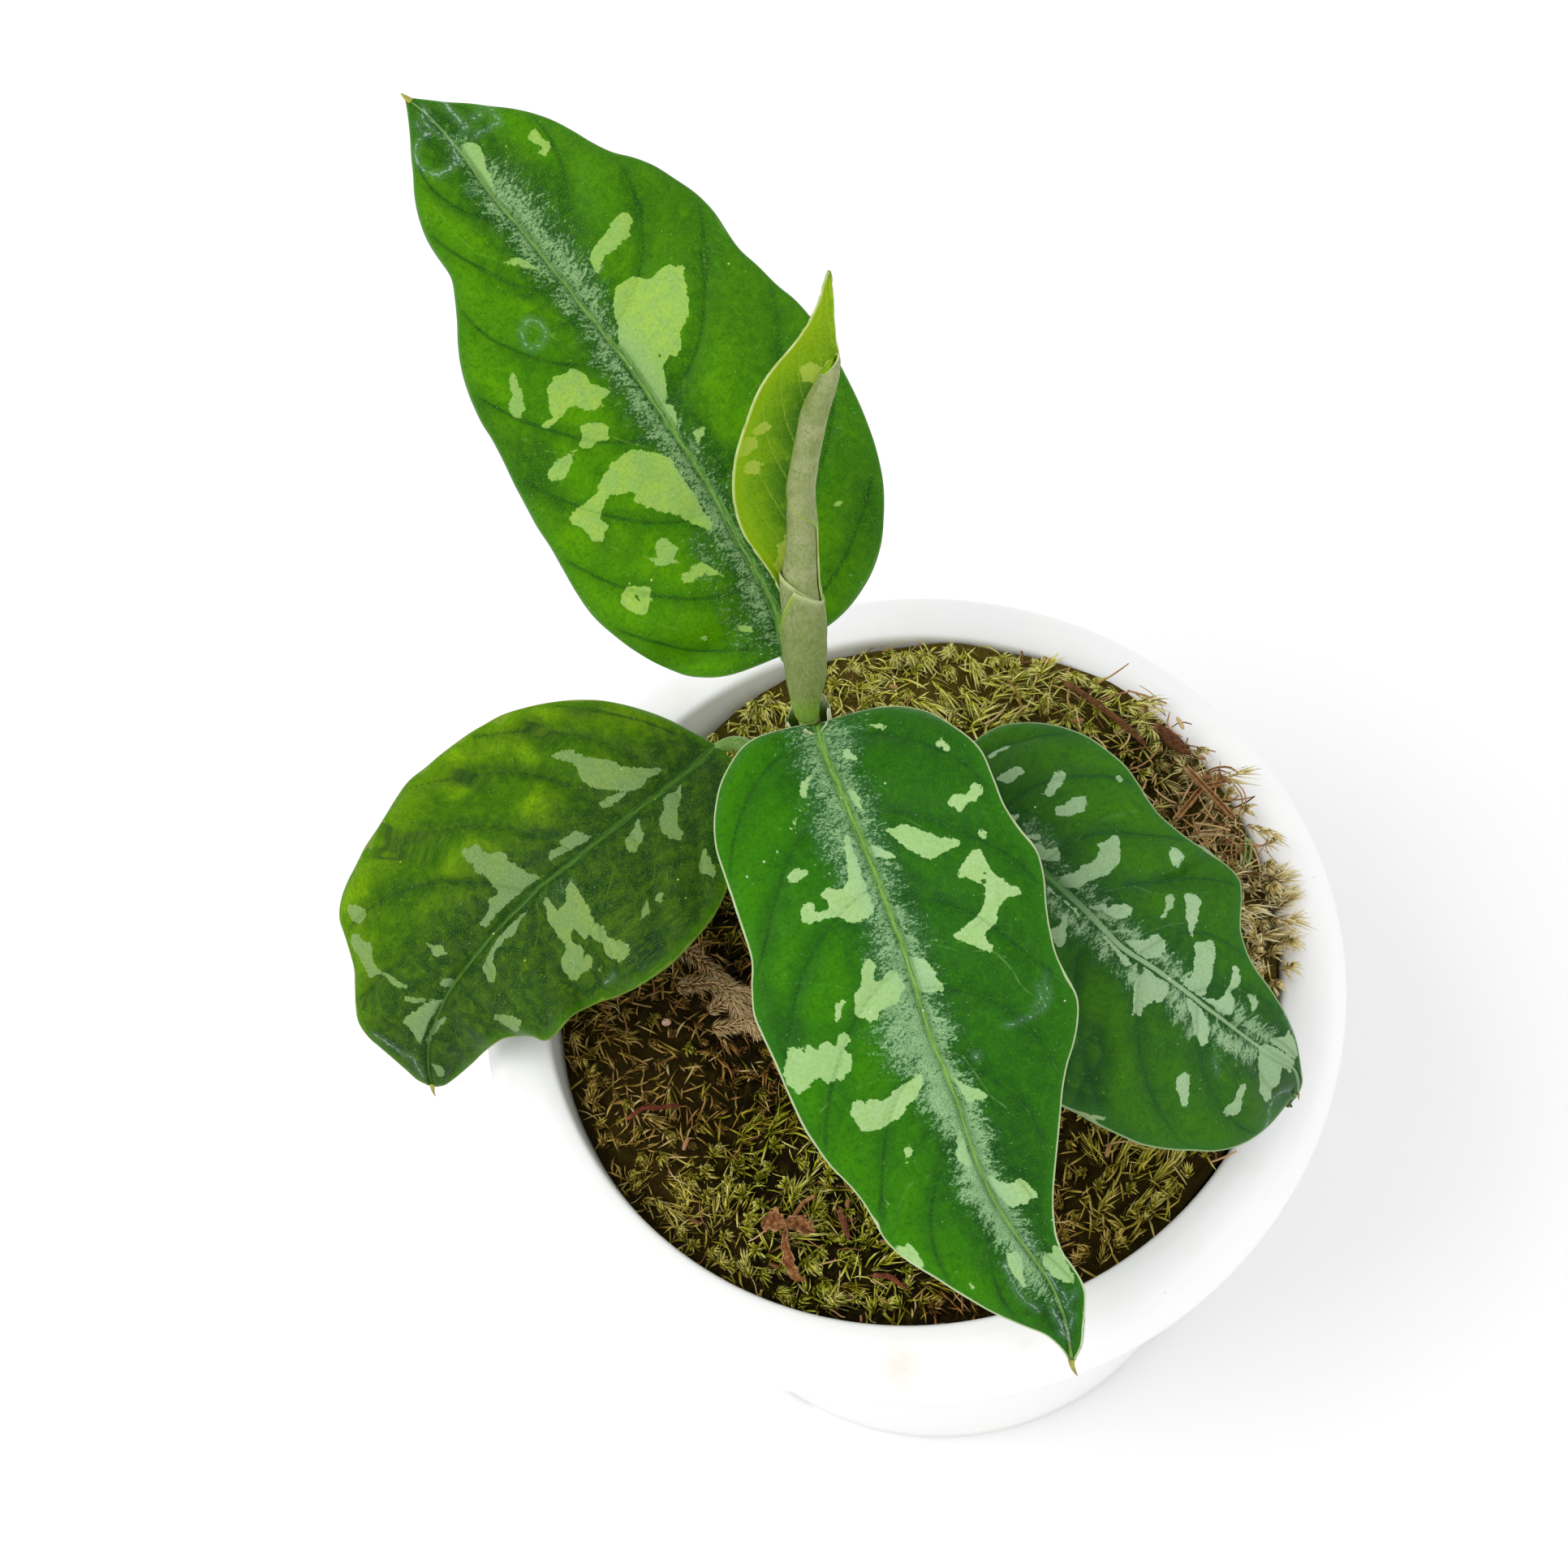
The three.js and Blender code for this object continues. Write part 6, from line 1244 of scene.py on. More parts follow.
def new_materials():
    g = Shade("new_leaf_back", rough=0.5, spec=0.14)
    o = g.obj()
    n1 = g.noise(o, 0.35, 3.0, 0.6)
    n2 = g.noise(o, 4.5, 3.0, 0.65)
    n3 = g.noise(g.scale(o, (1.2, 1.2, 0.18)), 3.0, 3.0, 0.6)
    z = g.split(o, 2)
    col = g.mix(g.step(0.35, 0.65, n1), (124, 138, 78), (150, 157, 108))
    col = g.mix(g.step(166.0, 152.0, z, 0.0, 0.7), col, (104, 124, 52))
    col = g.mix(g.step(147.5, 142.5, z), col, (118, 160, 34))
    col = g.mix(g.step(141.0, 137.5, z), col, (92, 130, 34))
    col = g.mix(g.step(0.40, 0.68, n3, 0.0, 0.30), col, (168, 172, 132))
    col = g.mix(g.step(0.42, 0.72, n2, 0.0, 0.55), col, (92, 110, 48))
    col = g.mix(g.step(0.55, 0.75, g.noise(o, 2.0, 4.0, 0.7), 0.0, 0.3), col, (176, 178, 144))
    # the blade's own nerves show through as hair lines, and a few rosy freckles
    nerve = g.m("ABSOLUTE", g.sub(g.noise(g.scale(o, (1, 1, 0.42)), 0.30, 1.0, 0.4, 0.6), 0.5))
    col = g.mix(g.step(0.010, 0.002, nerve, 0.0, 0.45), col, (96, 104, 56))
    freck = g.cells(o, 0.42, "F1", "Distance")
    col = g.mix(g.step(0.11, 0.05, freck, 0.0, 0.35), col, (178, 120, 92))
    edge = g.attr("seam")
    col = g.mix(g.step(1.0, 0.2, edge, 0.0, 0.85), col, (124, 160, 22))
    col = g.mix(g.step(0.20, 0.03, edge, 0.0, 0.9), col, (186, 200, 112))
    col = g.mix(g.mul(g.attr("lip"), 0.85), col, (182, 190, 140))
    back = g.done(col, g.step(0.3, 0.7, n2, 0.46, 0.6), g.bump(g.add(n2, n3), 0.10, 0.5))
    g = Shade("new_leaf_face", rough=0.45, spec=0.1)
    o = g.obj()
    n1 = g.noise(o, 0.22, 3.0, 0.6)
    n2 = g.noise(o, 3.2, 4.0, 0.65)
    s, vein, seam, spot = g.attr("across"), g.attr("vein"), g.attr("seam"), g.attr("spot")
    col = g.mix(g.step(0.10, 0.95, s), (46, 98, 0), (112, 158, 0))
    col = g.mix(g.step(0.42, 0.62, n1, 0.0, 0.40), col, (124, 166, 0))
    z = g.split(o, 2)
    col = g.mix(g.step(186, 199, z, 0.0, 0.75), col, (136, 172, 0))
    col = g.mix(g.step(0.30, 0.04, vein, 0.0, 0.62), col, (150, 180, 60))
    col = g.mix(g.step(0.47, 0.62, n2, 0.0, 0.34), col, (50, 92, 0))
    net = g.cells(o, 0.9, "DISTANCE_TO_EDGE")
    col = g.mix(g.step(0.05, 0.0, net, 0.0, 0.16), col, (150, 180, 60))
    wob = g.mul(g.sub(g.noise(o, 1.3, 3.0, 0.5), 0.5), 1.3)
    sp = g.add(spot, wob)
    col = g.mix(g.step(-0.05, 0.06, sp, 0.0, 0.62), col, (172, 190, 74))
    col = g.mix(g.step(1.9, 0.3, seam, 0.0, 0.45), col, (150, 184, 10))
    col = g.mix(g.step(0.26, 0.06, seam, 0.0, 0.85), col, (188, 202, 120))
    face = g.done(col, None, g.bump(g.add(n2, g.step(0.3, 0.0, vein)), 0.10, 0.5))
    return [back, face, margin_material("new_leaf_edge", (156, 176, 80), (190, 202, 140))]


def petiole_material(name, c1, c2, c3, base=None):
    g = Shade(name, rough=0.42, spec=0.25)
    o = g.obj()
    n1 = g.noise(g.scale(o, (1, 1, 0.35)), 0.9, 4.0, 0.6)
    n2 = g.noise(g.scale(o, (1.6, 1.6, 0.5)), 2.2, 4.0, 0.65)
    col = g.mix(g.step(0.38, 0.62, n1), c1, c2)
    col = g.mix(g.step(0.50, 0.62, n2, 0.0, 0.75), col, c3)
    col = g.mix(g.step(0.5, 0.85, g.noise(o, 6.0, 2.0), 0.0, 0.35), col, (146, 164, 104))
    if base is not None:
        col = g.mix(g.step(112, 96, g.split(o, 2)), col, base)
    return g.done(col, None, g.bump(n2, 0.10, 0.5))


def membrane_material():
    g = Shade("sheath_membrane", rough=0.6, spec=0.2)
    o = g.obj()
    n = g.noise(g.scale(o, (1, 1, 0.4)), 2.4, 4.0, 0.65)
    col = g.mix(g.step(0.35, 0.65, n), (176, 188, 132), (222, 224, 200))
    col = g.mix(g.step(139.5, 136.5, g.split(o, 2)), col, (112, 146, 58))
    return g.done(col, None, g.bump(n, 0.08, 0.5))


def front_sheath(parts):
    """The winged foot of the front petiole: it wraps the new leaf's petiole and ends in a ragged, papery lip."""
    gap = 0.26
    P, ang, uu = wrap(FRONT_SHEATH, 60, 64, math.radians(22), math.radians(360 - 22 + 30), 1.0, 0.96,
                      cut_top=lambda a: -2.0 + 1.2 * np.sin(a * 1.0 + 0.6) + 0.7 * np.sin(5.3 * a + 1.0) + 0.45 * np.sin(11.7 * a) + 0.3 * np.sin(23 * a + 2),
                      flare=lambda u, a: 1 + 0.20 * smooth(0.80, 1.0, u) * (0.5 + 0.5 * np.sin(3.1 * a + 0.8)) - 0.05 * np.cos(2 * a))
    v, t, b, e = sheet_solid(P, 0.30 - 0.20 * smooth(0.75, 1, uu))
    hh = np.concatenate([uu.ravel()] * 2)
    parts.add(v, [t, b, e], [1, 1, 1], along=hh)


def stem_piece(mat):
    parts = Parts()
    n, sides = 90, 36
    c = spline(STEM, n)
    T, N, B = frames(c[:, :3], (0, -1, 0))
    a = np.arange(sides) * TAU / sides
    z = c[:, 2:3]
    ring = np.zeros_like(z)
    for z0, w in ((89.0, .7), (92.6, .6), (96.2, .6), (99.5, .5), (103.5, .5)):
        ring += np.exp(-((z - z0) / w) ** 2) * 0.10
        ring -= np.exp(-((z - z0 - 1.0) / 0.35) ** 2) * 0.05
    R = c[:, 3:4] * 0.99 * (1 + ring) + 0.10 * np.sin(3 * a + z * 0.12)
    P = c[:, None, :3] + N[:, None] * (R * np.cos(a))[..., None] + B[:, None] * (R * np.sin(a))[..., None]
    P = P + 0.10 * unit(P - c[:, None, :3]) * fbm(P * 0.8, 3, 3)[..., None]
    V = P.reshape(-1, 3)
    k = np.arange(sides)
    V = np.vstack([V, c[0, :3], c[-1, :3] + T[-1] * 0.8])
    F = [ring_faces(n, sides), np.stack([k, (k + 1) % sides, np.full(sides, n * sides)], 1)[:, ::-1],
         np.stack([(n - 1) * sides + k, (n - 1) * sides + (k + 1) % sides, np.full(sides, n * sides + 1)], 1)]
    parts.add(V, F, 0)
    # papery remains of two old leaf bases clasping the foot
    for k2, (a0, top, r) in enumerate(((0.4, 98.0, 1.10), (3.4, 94.5, 1.16))):
        path = [[-5.2, 9.1, 85.5, 4.6 * r], [-5.5, 9.7, 90.5, 4.2 * r], [-5.7, 10.2, top, 3.7 * r]]
        G, ang, uu = wrap(path, 34, 46, a0, a0 + 2.7, 1.0, 1.0,
                          cut_top=lambda t_: 1.6 * np.sin(2.2 * (t_ - a0)) + 0.5 * np.sin(9 * t_) - 1.2,
                          flare=lambda u, t_: 1 + 0.16 * smooth(.6, 1, u) + 0.03 * np.sin(7 * t_ + 4 * u))
        v, t, b, e = sheet_solid(G, 0.22)
        parts.add(v, [t, b, e], 1)
    return parts.build("stem_finish", mat)


# -------------------------------------------------------------------------- pot
WALL = lambda z: 35.2 + 0.13176 * (z - 2.0)


def arc_pts(p, n):
    """Points of a smooth curve through the profile points."""
    return spline(np.c_[arr(p), np.zeros(len(p))], n)[:, :2]


def pot_piece(mat):
    seg = 216
    roll = arc_pts([[55.0, 82.0], [54.75, 82.5], [54.3, 83.8], [53.2, 85.8], [51.4, 87.2], [49.2, 87.95], [47.4, 88.0], [46.75, 87.75], [46.42, 87.1], [46.3, 86.2]], 34)
    inside_wall = [[WALL(z), z] for z in np.linspace(85.4, 2.6, 16)]
    prof = [[0.02, 0], [10, 0], [18.6, 0], [19.2, .25], [19.8, 1.6], [25, 1.6], [30.2, 1.6], [30.8, .25], [31.2, 0], [36.0, 0], [36.7, .2], [37.1, .7]]
    prof += [[37.1 + (47.4 - 37.1) * (z - .7) / 78.3, z] for z in np.linspace(4, 79, 14)]
    prof += [[47.5, 82.5], [47.6, 85.0], [47.9, 85.4], [51.2, 85.1], [52.2, 84.5], [52.9, 83.2], [53.2, 80.5], [53.45, 80.2], [54.4, 80.2], [54.85, 80.4], [55.0, 80.8], [55.0, 81.6]]
    prof += roll.tolist() + inside_wall
    prof += [[WALL(2.3) - .5, 2.1], [31.6, 1.95], [30.6, 3.4], [25, 3.4], [19.4, 3.4], [18.4, 1.95], [10, 1.95], [0.02, 1.95]]
    prof = arr(prof)
    a = np.arange(seg) * TAU / seg
    n = len(prof)
    V = np.stack([prof[:, None, 0] * np.cos(a), prof[:, None, 0] * np.sin(a), np.broadcast_to(prof[:, None, 1], (n, seg))], -1).reshape(-1, 3)
    F = ring_faces(n, seg)
    k = np.arange(seg)
    V = np.vstack([V, [0, 0, 0], [0, 0, 1.95]])
    caps = np.vstack([np.stack([(k + 1) % seg, k, np.full(seg, n * seg)], 1),
                      np.stack([(n - 1) * seg + k, (n - 1) * seg + (k + 1) % seg, np.full(seg, n * seg + 1)], 1)])
    parts = Parts()
    parts.add(V, [F, caps])
    ob = parts.build("pot_finish", mat)
    cutters = []
    for i in range(6):
        b = TAU * (i + .5) / 6
        cutters.append(((25 * math.cos(b), 25 * math.sin(b), 2), "hole", 0))
    for i in range(4):
        b = TAU * i / 4 + TAU / 8
        cutters.append(((35 * math.cos(b), 35 * math.sin(b), 0), "notch", b))
    tool = Parts()
    for c, kind, b in cutters:
        if kind == "hole":
            m = 40
            q = np.arange(m) * TAU / m
            ring = np.stack([4 * np.cos(q), 4 * np.sin(q)], 1)
            v = np.vstack([np.c_[ring, np.full(m, -4.0)], np.c_[ring, np.full(m, 4.0)], [0, 0, -4], [0, 0, 4]]) + arr(c)
            k = np.arange(m)
            tool.add(v, [np.stack([k, (k + 1) % m, (k + 1) % m + m, k + m], 1), np.stack([(k + 1) % m, k, np.full(m, 2 * m)], 1),
                         np.stack([k + m, (k + 1) % m + m, np.full(m, 2 * m + 1)], 1)])
        else:
            x = arr([[sx * 5, sy * 2.5, sz * .8] for sx in (-1, 1) for sy in (-1, 1) for sz in (-1, 1)])
            R = arr([[math.cos(b), -math.sin(b), 0], [math.sin(b), math.cos(b), 0], [0, 0, 1]])
            tool.add(x @ R.T + arr(c), [arr([[0, 1, 3, 2], [4, 6, 7, 5], [0, 4, 5, 1], [2, 3, 7, 6], [0, 2, 6, 4], [1, 5, 7, 3]]).astype(int)])
    cutter = tool.build("pot_cutter", mat)
    mod = ob.modifiers.new("drain", "BOOLEAN")
    mod.operation = "DIFFERENCE"
    mod.solver = "EXACT"
    mod.object = cutter
    dg = bpy.context.evaluated_depsgraph_get()
    new = bpy.data.meshes.new_from_object(ob.evaluated_get(dg))
    ob.modifiers.clear()
    old = ob.data
    ob.data = new
    bpy.data.meshes.remove(old)
    bpy.data.objects.remove(cutter)
    co = np.zeros(len(new.vertices) * 3)
    new.vertices.foreach_get("co", co)
    co = co.reshape(-1, 3) / MM
    dirt = np.zeros(len(co))
    for x, y, r, k in SMUDGES:
        d2 = (co[:, 0] - x) ** 2 + (co[:, 1] - y) ** 2
        dirt = np.maximum(dirt, k * np.exp(-d2 / (2 * r * r)))
    dirt *= co[:, 2] > 78
    new.attributes.new("dirt", "FLOAT", "POINT").data.foreach_set("value", dirt.astype(np.float32))
    new.polygons.foreach_set("use_smooth", np.ones(len(new.polygons), bool))
    new.set_sharp_from_angle(angle=math.radians(32))
    return ob


SMUDGES = [(-11.0, -50.5, 2.2, .9), (-16.5, -50.0, 1.3, .6), (4.6, -50.6, 1.6, .55), (8.8, -50.2, 1.2, .4), (36.5, -33.8, 1.8, .45), (27.2, -42.5, 1.6, .4),
           (-44.0, -22.0, 2.0, .35), (47.5, 9.0, 1.5, .5), (44.5, 18.5, 1.6, .5), (-22.0, 44.5, 2.4, .5), (10.0, 49.0, 2.6, .4), (-49.5, 6.0, 1.6, .35)]


def pot_material():
    g = Shade("white_plastic", rough=0.32, spec=0.5)
    g.b.inputs["Subsurface Weight"].default_value = 0.0
    o = g.obj()
    cloud = g.noise(o, 0.045, 3.0, 0.55)
    col = g.mix(g.step(0.35, 0.65, cloud), (241, 241, 242), (243, 243, 242))
    dirt = g.attr("dirt")
    speck = g.noise(o, 1.1, 5.0, 0.7)
    grime = g.mul(g.step(0.10, 0.95, g.mul(dirt, g.add(0.35, speck))), 0.38)
    col = g.mix(grime, col, (214, 190, 160))
    # hairline scuffs on the wall, and the wall darker towards the foot
    z = g.split(o, 2)
    scuff = g.noise(g.scale(o, (0.25, 0.25, 2.2)), 1.0, 5.0, 0.7)
    col = g.mix(g.mul(g.step(0.45, 0.85, scuff), 0.06), col, (214, 212, 208))
    foot = g.mul(g.step(8.0, 0.0, g.add(z, g.mul(speck, 6.0))), 0.16)
    col = g.mix(foot, col, (198, 192, 178))
    dots = g.cells(o, 0.22, "F1", "Distance")
    col = g.mix(g.step(0.05, 0.02, dots, 0.0, 0.22), col, (150, 130, 104))
    fine = g.noise(o, 2.5, 2.0, 0.5)
    rough = g.add(g.step(0.1, 0.9, cloud, 0.28, 0.34), g.mul(grime, 0.25))
    return g.done(col, rough, g.bump(fine, 0.02, 0.35))


def mix_material():
    g = Shade("potting_mix_mat", rough=0.95, spec=0.2)
    o = g.obj()
    n = g.noise(o, 0.35, 5.0, 0.7)
    c = g.cells(o, 0.45, "F1", "Color")
    col = g.ramp(n, (0.25, (24, 16, 10)), (0.5, (58, 40, 25)), (0.75, (96, 70, 46)))
    col = g.mix(g.step(0.86, 0.92, g.split(c, 0)), col, (206, 200, 188))
    return g.done(col, None, g.bump(g.add(n, g.cells(o, 0.45)), 0.8, 0.8))


def root_material():
    g = Shade("root_skin", rough=0.7, spec=0.3)
    o = g.obj()
    n = g.noise(o, 0.8, 4.0, 0.6)
    col = g.ramp(n, (0.3, (150, 118, 76)), (0.55, (206, 184, 140)), (0.8, (228, 214, 178)))
    return g.done(col, None, g.bump(n, 0.25, 0.6))


# ------------------------------------------------------------------------- moss
def moss_z(x, y):
    r = np.hypot(x, y)
    z = 88 + 0.07 * x + 0.02 * y + 1.3 * np.exp(-r * r / 968)
    z = z - 5.0 * np.exp(-((x + 27) ** 2 + (y - 36) ** 2) / 288)
    z = z + 1.6 * np.exp(-((x - 36) ** 2 + (y - 26) ** 2) / 288)
    z = z + 0.9 * np.sin(0.21 * x + 0.6) * np.cos(0.19 * y - 0.4) + 0.5 * np.sin(0.43 * x - 1.1) * np.sin(0.39 * y + 0.7)
    side = np.clip((0.75 * x + 0.35 * y) / 46, 0, 1)
    return z - (2.6 - 2.6 * side) * smooth(38, 46.4, r)


def zone(x, y):
    """0 brown and dry, 0.5 olive, 1 fresh yellow-green: where each kind of growth stands."""
    g = 0.46 + 0.34 * fbm(np.stack([x, y, 0 * x], -1) * 0.09 + 3.1, 3, 11)
    for cx, cy, r, k in ((-19, -33, 9, .75), (-12, -37, 9, .35), (-27, -24, 7, .30), (8, 38, 14, .50), (4, 41, 9, .30), (16, 35, 6, .25), (26, 30, 7, .18), (44, 2, 4, .25), (36, 24, 8, .25), (30, 34, 9, .25), (-14, 36, 12, .35), (22, 36, 6, .25), (47, -3, 4.5, .9), (38, -15, 8, .30),
                         (28, -26, 8, .25), (44, 6, 3, .3), (-24, 1, 10, -.30), (-33, -6, 9, -.22), (-34, 10, 10, -.10), (33, 27, 7, -.05), (38, 18, 7, -.05), (3, -42, 8, -.55), (-4, -45, 5, -.35), (14, -42, 7, -.35),
                         (43, 12, 4, -.15), (20, -38, 8, -.1)):
        g = g + k * np.exp(-((x - cx) ** 2 + (y - cy) ** 2) / (2 * r * r))
    return np.clip(g, 0.02, 0.98)


def moss_ground(mat):
    n = 122
    rad = np.r_[np.linspace(0.0, 44.0, n - 12), np.linspace(44.4, 46.0, 12)]
    m = 250
    a = np.arange(m) * TAU / m
    X = rad[:, None] * np.cos(a)
    Y = rad[:, None] * np.sin(a)
    Z = moss_z(X, Y)
    side = np.clip((0.75 * X + 0.35 * Y) / 46, 0, 1)
    wob = fbm(np.stack([np.cos(a) * 9, np.sin(a) * 9, 0 * a], -1), 3, 5)
    lim = WALL(np.minimum(Z, 86.5)) - 0.25
    R = np.minimum(rad[:, None], lim + 0.4 * side * wob[None])
    X, Y = R * np.cos(a), R * np.sin(a)
    bumps = fbm(np.stack([X, Y, Z], -1) * 0.45, 4, 8, 0.6)
    fade = 1 - smooth(44.0, 46.0, rad)[:, None] * 0.7
    Z = Z - 1.5 + 1.5 * bumps * fade
    rows = [np.stack([X, Y, Z], -1)]
    low = np.stack([R[-1] * np.cos(a), R[-1] * np.sin(a), np.full(m, 76.4)], -1)
    rlow = np.minimum(R[-1], WALL(76.4) - 0.5)
    low = np.stack([rlow * np.cos(a), rlow * np.sin(a), np.full(m, 76.4)], -1)
    V = np.vstack([rows[0].reshape(-1, 3), low, [0, 0, 76.4]])
    rows_n = len(rad) + 1
    F = ring_faces(rows_n, m)
    k = np.arange(m)
    last = (rows_n - 1) * m
    cap = np.stack([last + k, last + (k + 1) % m, np.full(m, rows_n * m)], 1)
    # a thin tunnel for the stem would never show: the ground simply meets it
    parts = Parts()
    parts.add(V, [F, cap])
    return parts.build("moss_ground", mat)


def sprigs(parts, base, axis, height, lean, size, leaves, width, hue, rng, droop=0.5, spread=(22, 78), keel=0.35, hook=0.8, first=0.12, one_way=0.85):
    """Moss shoots. Each row of the inputs is one shoot: whorls of slim hooked leaflets that sweep to one side."""
    n = len(base)
    k = leaves
    j = (np.arange(k) + 0.5) / k
    phi = (np.arange(k) * 2.39996)[None] + rng.uniform(0, TAU, (n, 1))
    phi = phi + rng.normal(0, 0.25, (n, k))
    A = unit(axis)
    e1 = unit(np.cross(A, arr((0.13, 0.31, 0.94))))
    e2 = np.cross(A, e1)
    radial = np.cos(phi)[..., None] * e1[:, None] + np.sin(phi)[..., None] * e2[:, None]
    up = A[:, None]
    ang = np.radians(spread[1] + (spread[0] - spread[1]) * j)[None] + rng.normal(0, 0.14, (n, k))
    d0 = up * np.cos(ang)[..., None] + radial * np.sin(ang)[..., None]
    # the shoot itself nods towards the side its leaflets sweep to
    rise = (first + (1 - first) * j[None]) * height[:, None]
    start = base[:, None] + up * rise[..., None] + unit(lean)[:, None] * (0.10 * rise ** 2)[..., None]
    L = size[:, None] * rng.uniform(0.70, 1.15, (n, k)) * (0.78 + 0.35 * np.sin(j * math.pi))[None]
    sweep = unit(lean)[:, None] * one_way + arr((0, 0, -1.0))[None, None] * droop + radial * (0.10 if one_way > 0.5 else -0.22)
    fac = (0.0, 0.38, 0.74, 1.0)
    wid = (0.60, 1.0, 0.62, 0.0)
    N0 = unit(up * np.sin(ang)[..., None] - radial * np.cos(ang)[..., None])
    side = unit(np.cross(d0, N0))
    W = width[:, None, None] * rng.uniform(0.8, 1.2, (n, k))[..., None]
    pts = []
    for f_, w_ in zip(fac, wid):
        c = start + d0 * (L * (f_ - 0.22 * f_ * f_))[..., None] + sweep * (L * f_ ** 2.2 * hook)[..., None]
        if w_ == 0:
            pts.append(c[..., None, :])
        else:
            pts.append(np.stack([c + side * W * w_, c - N0 * W * w_ * keel, c - side * W * w_], -2))
    V = np.concatenate(pts, -2).reshape(-1, 3)              # 10 points a leaflet
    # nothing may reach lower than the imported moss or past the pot's wall below the rim
    T = []
    for r in (0, 3):
        for a_, b_ in ((0, 1), (1, 2), (2, 0)):
            T.append((r + a_, r + b_, r + 3 + b_))
            T.append((r + a_, r + 3 + b_, r + 3 + a_))
    for a_, b_ in ((0, 1), (1, 2), (2, 0)):
        T.append((6 + a_, 6 + b_, 9))
    T.append((2, 1, 0))
    T = arr(T).astype(int)
    F = (T[None] + (np.arange(n * k) * 10)[:, None, None]).reshape(-1, 3)
    along = np.tile(np.repeat(arr((0, .34, .7, 1)), (3, 3, 3, 1)), n * k)
    h = np.repeat(np.repeat(hue, k), 10)
    r1 = np.repeat(rng.uniform(0, 1, n * k), 10)
    depth = np.repeat(np.tile(j, n), 10)
    parts.add(V, [F], along=along, hue=h, rnd=r1, deep=depth)


def scatter(rng, n, rmax, gap):
    """n-ish points over the disc, no two nearer than gap."""
    pts = np.zeros((0, 2))
    cell = {}
    out = []
    tries = rng.uniform(-rmax, rmax, (n * 9, 2))
    tries = tries[np.hypot(tries[:, 0], tries[:, 1]) < rmax]
    for p in tries:
        c = (int(p[0] // gap), int(p[1] // gap))
        ok = True
        for dx in (-1, 0, 1):
            for dy in (-1, 0, 1):
                for q in cell.get((c[0] + dx, c[1] + dy), ()):
                    if (q[0] - p[0]) ** 2 + (q[1] - p[1]) ** 2 < gap * gap:
                        ok = False
                        break
                if not ok:
                    break
            if not ok:
                break
        if ok:
            cell.setdefault(c, []).append(p)
            out.append(p)
            if len(out) >= n:
                break
    return arr(out)


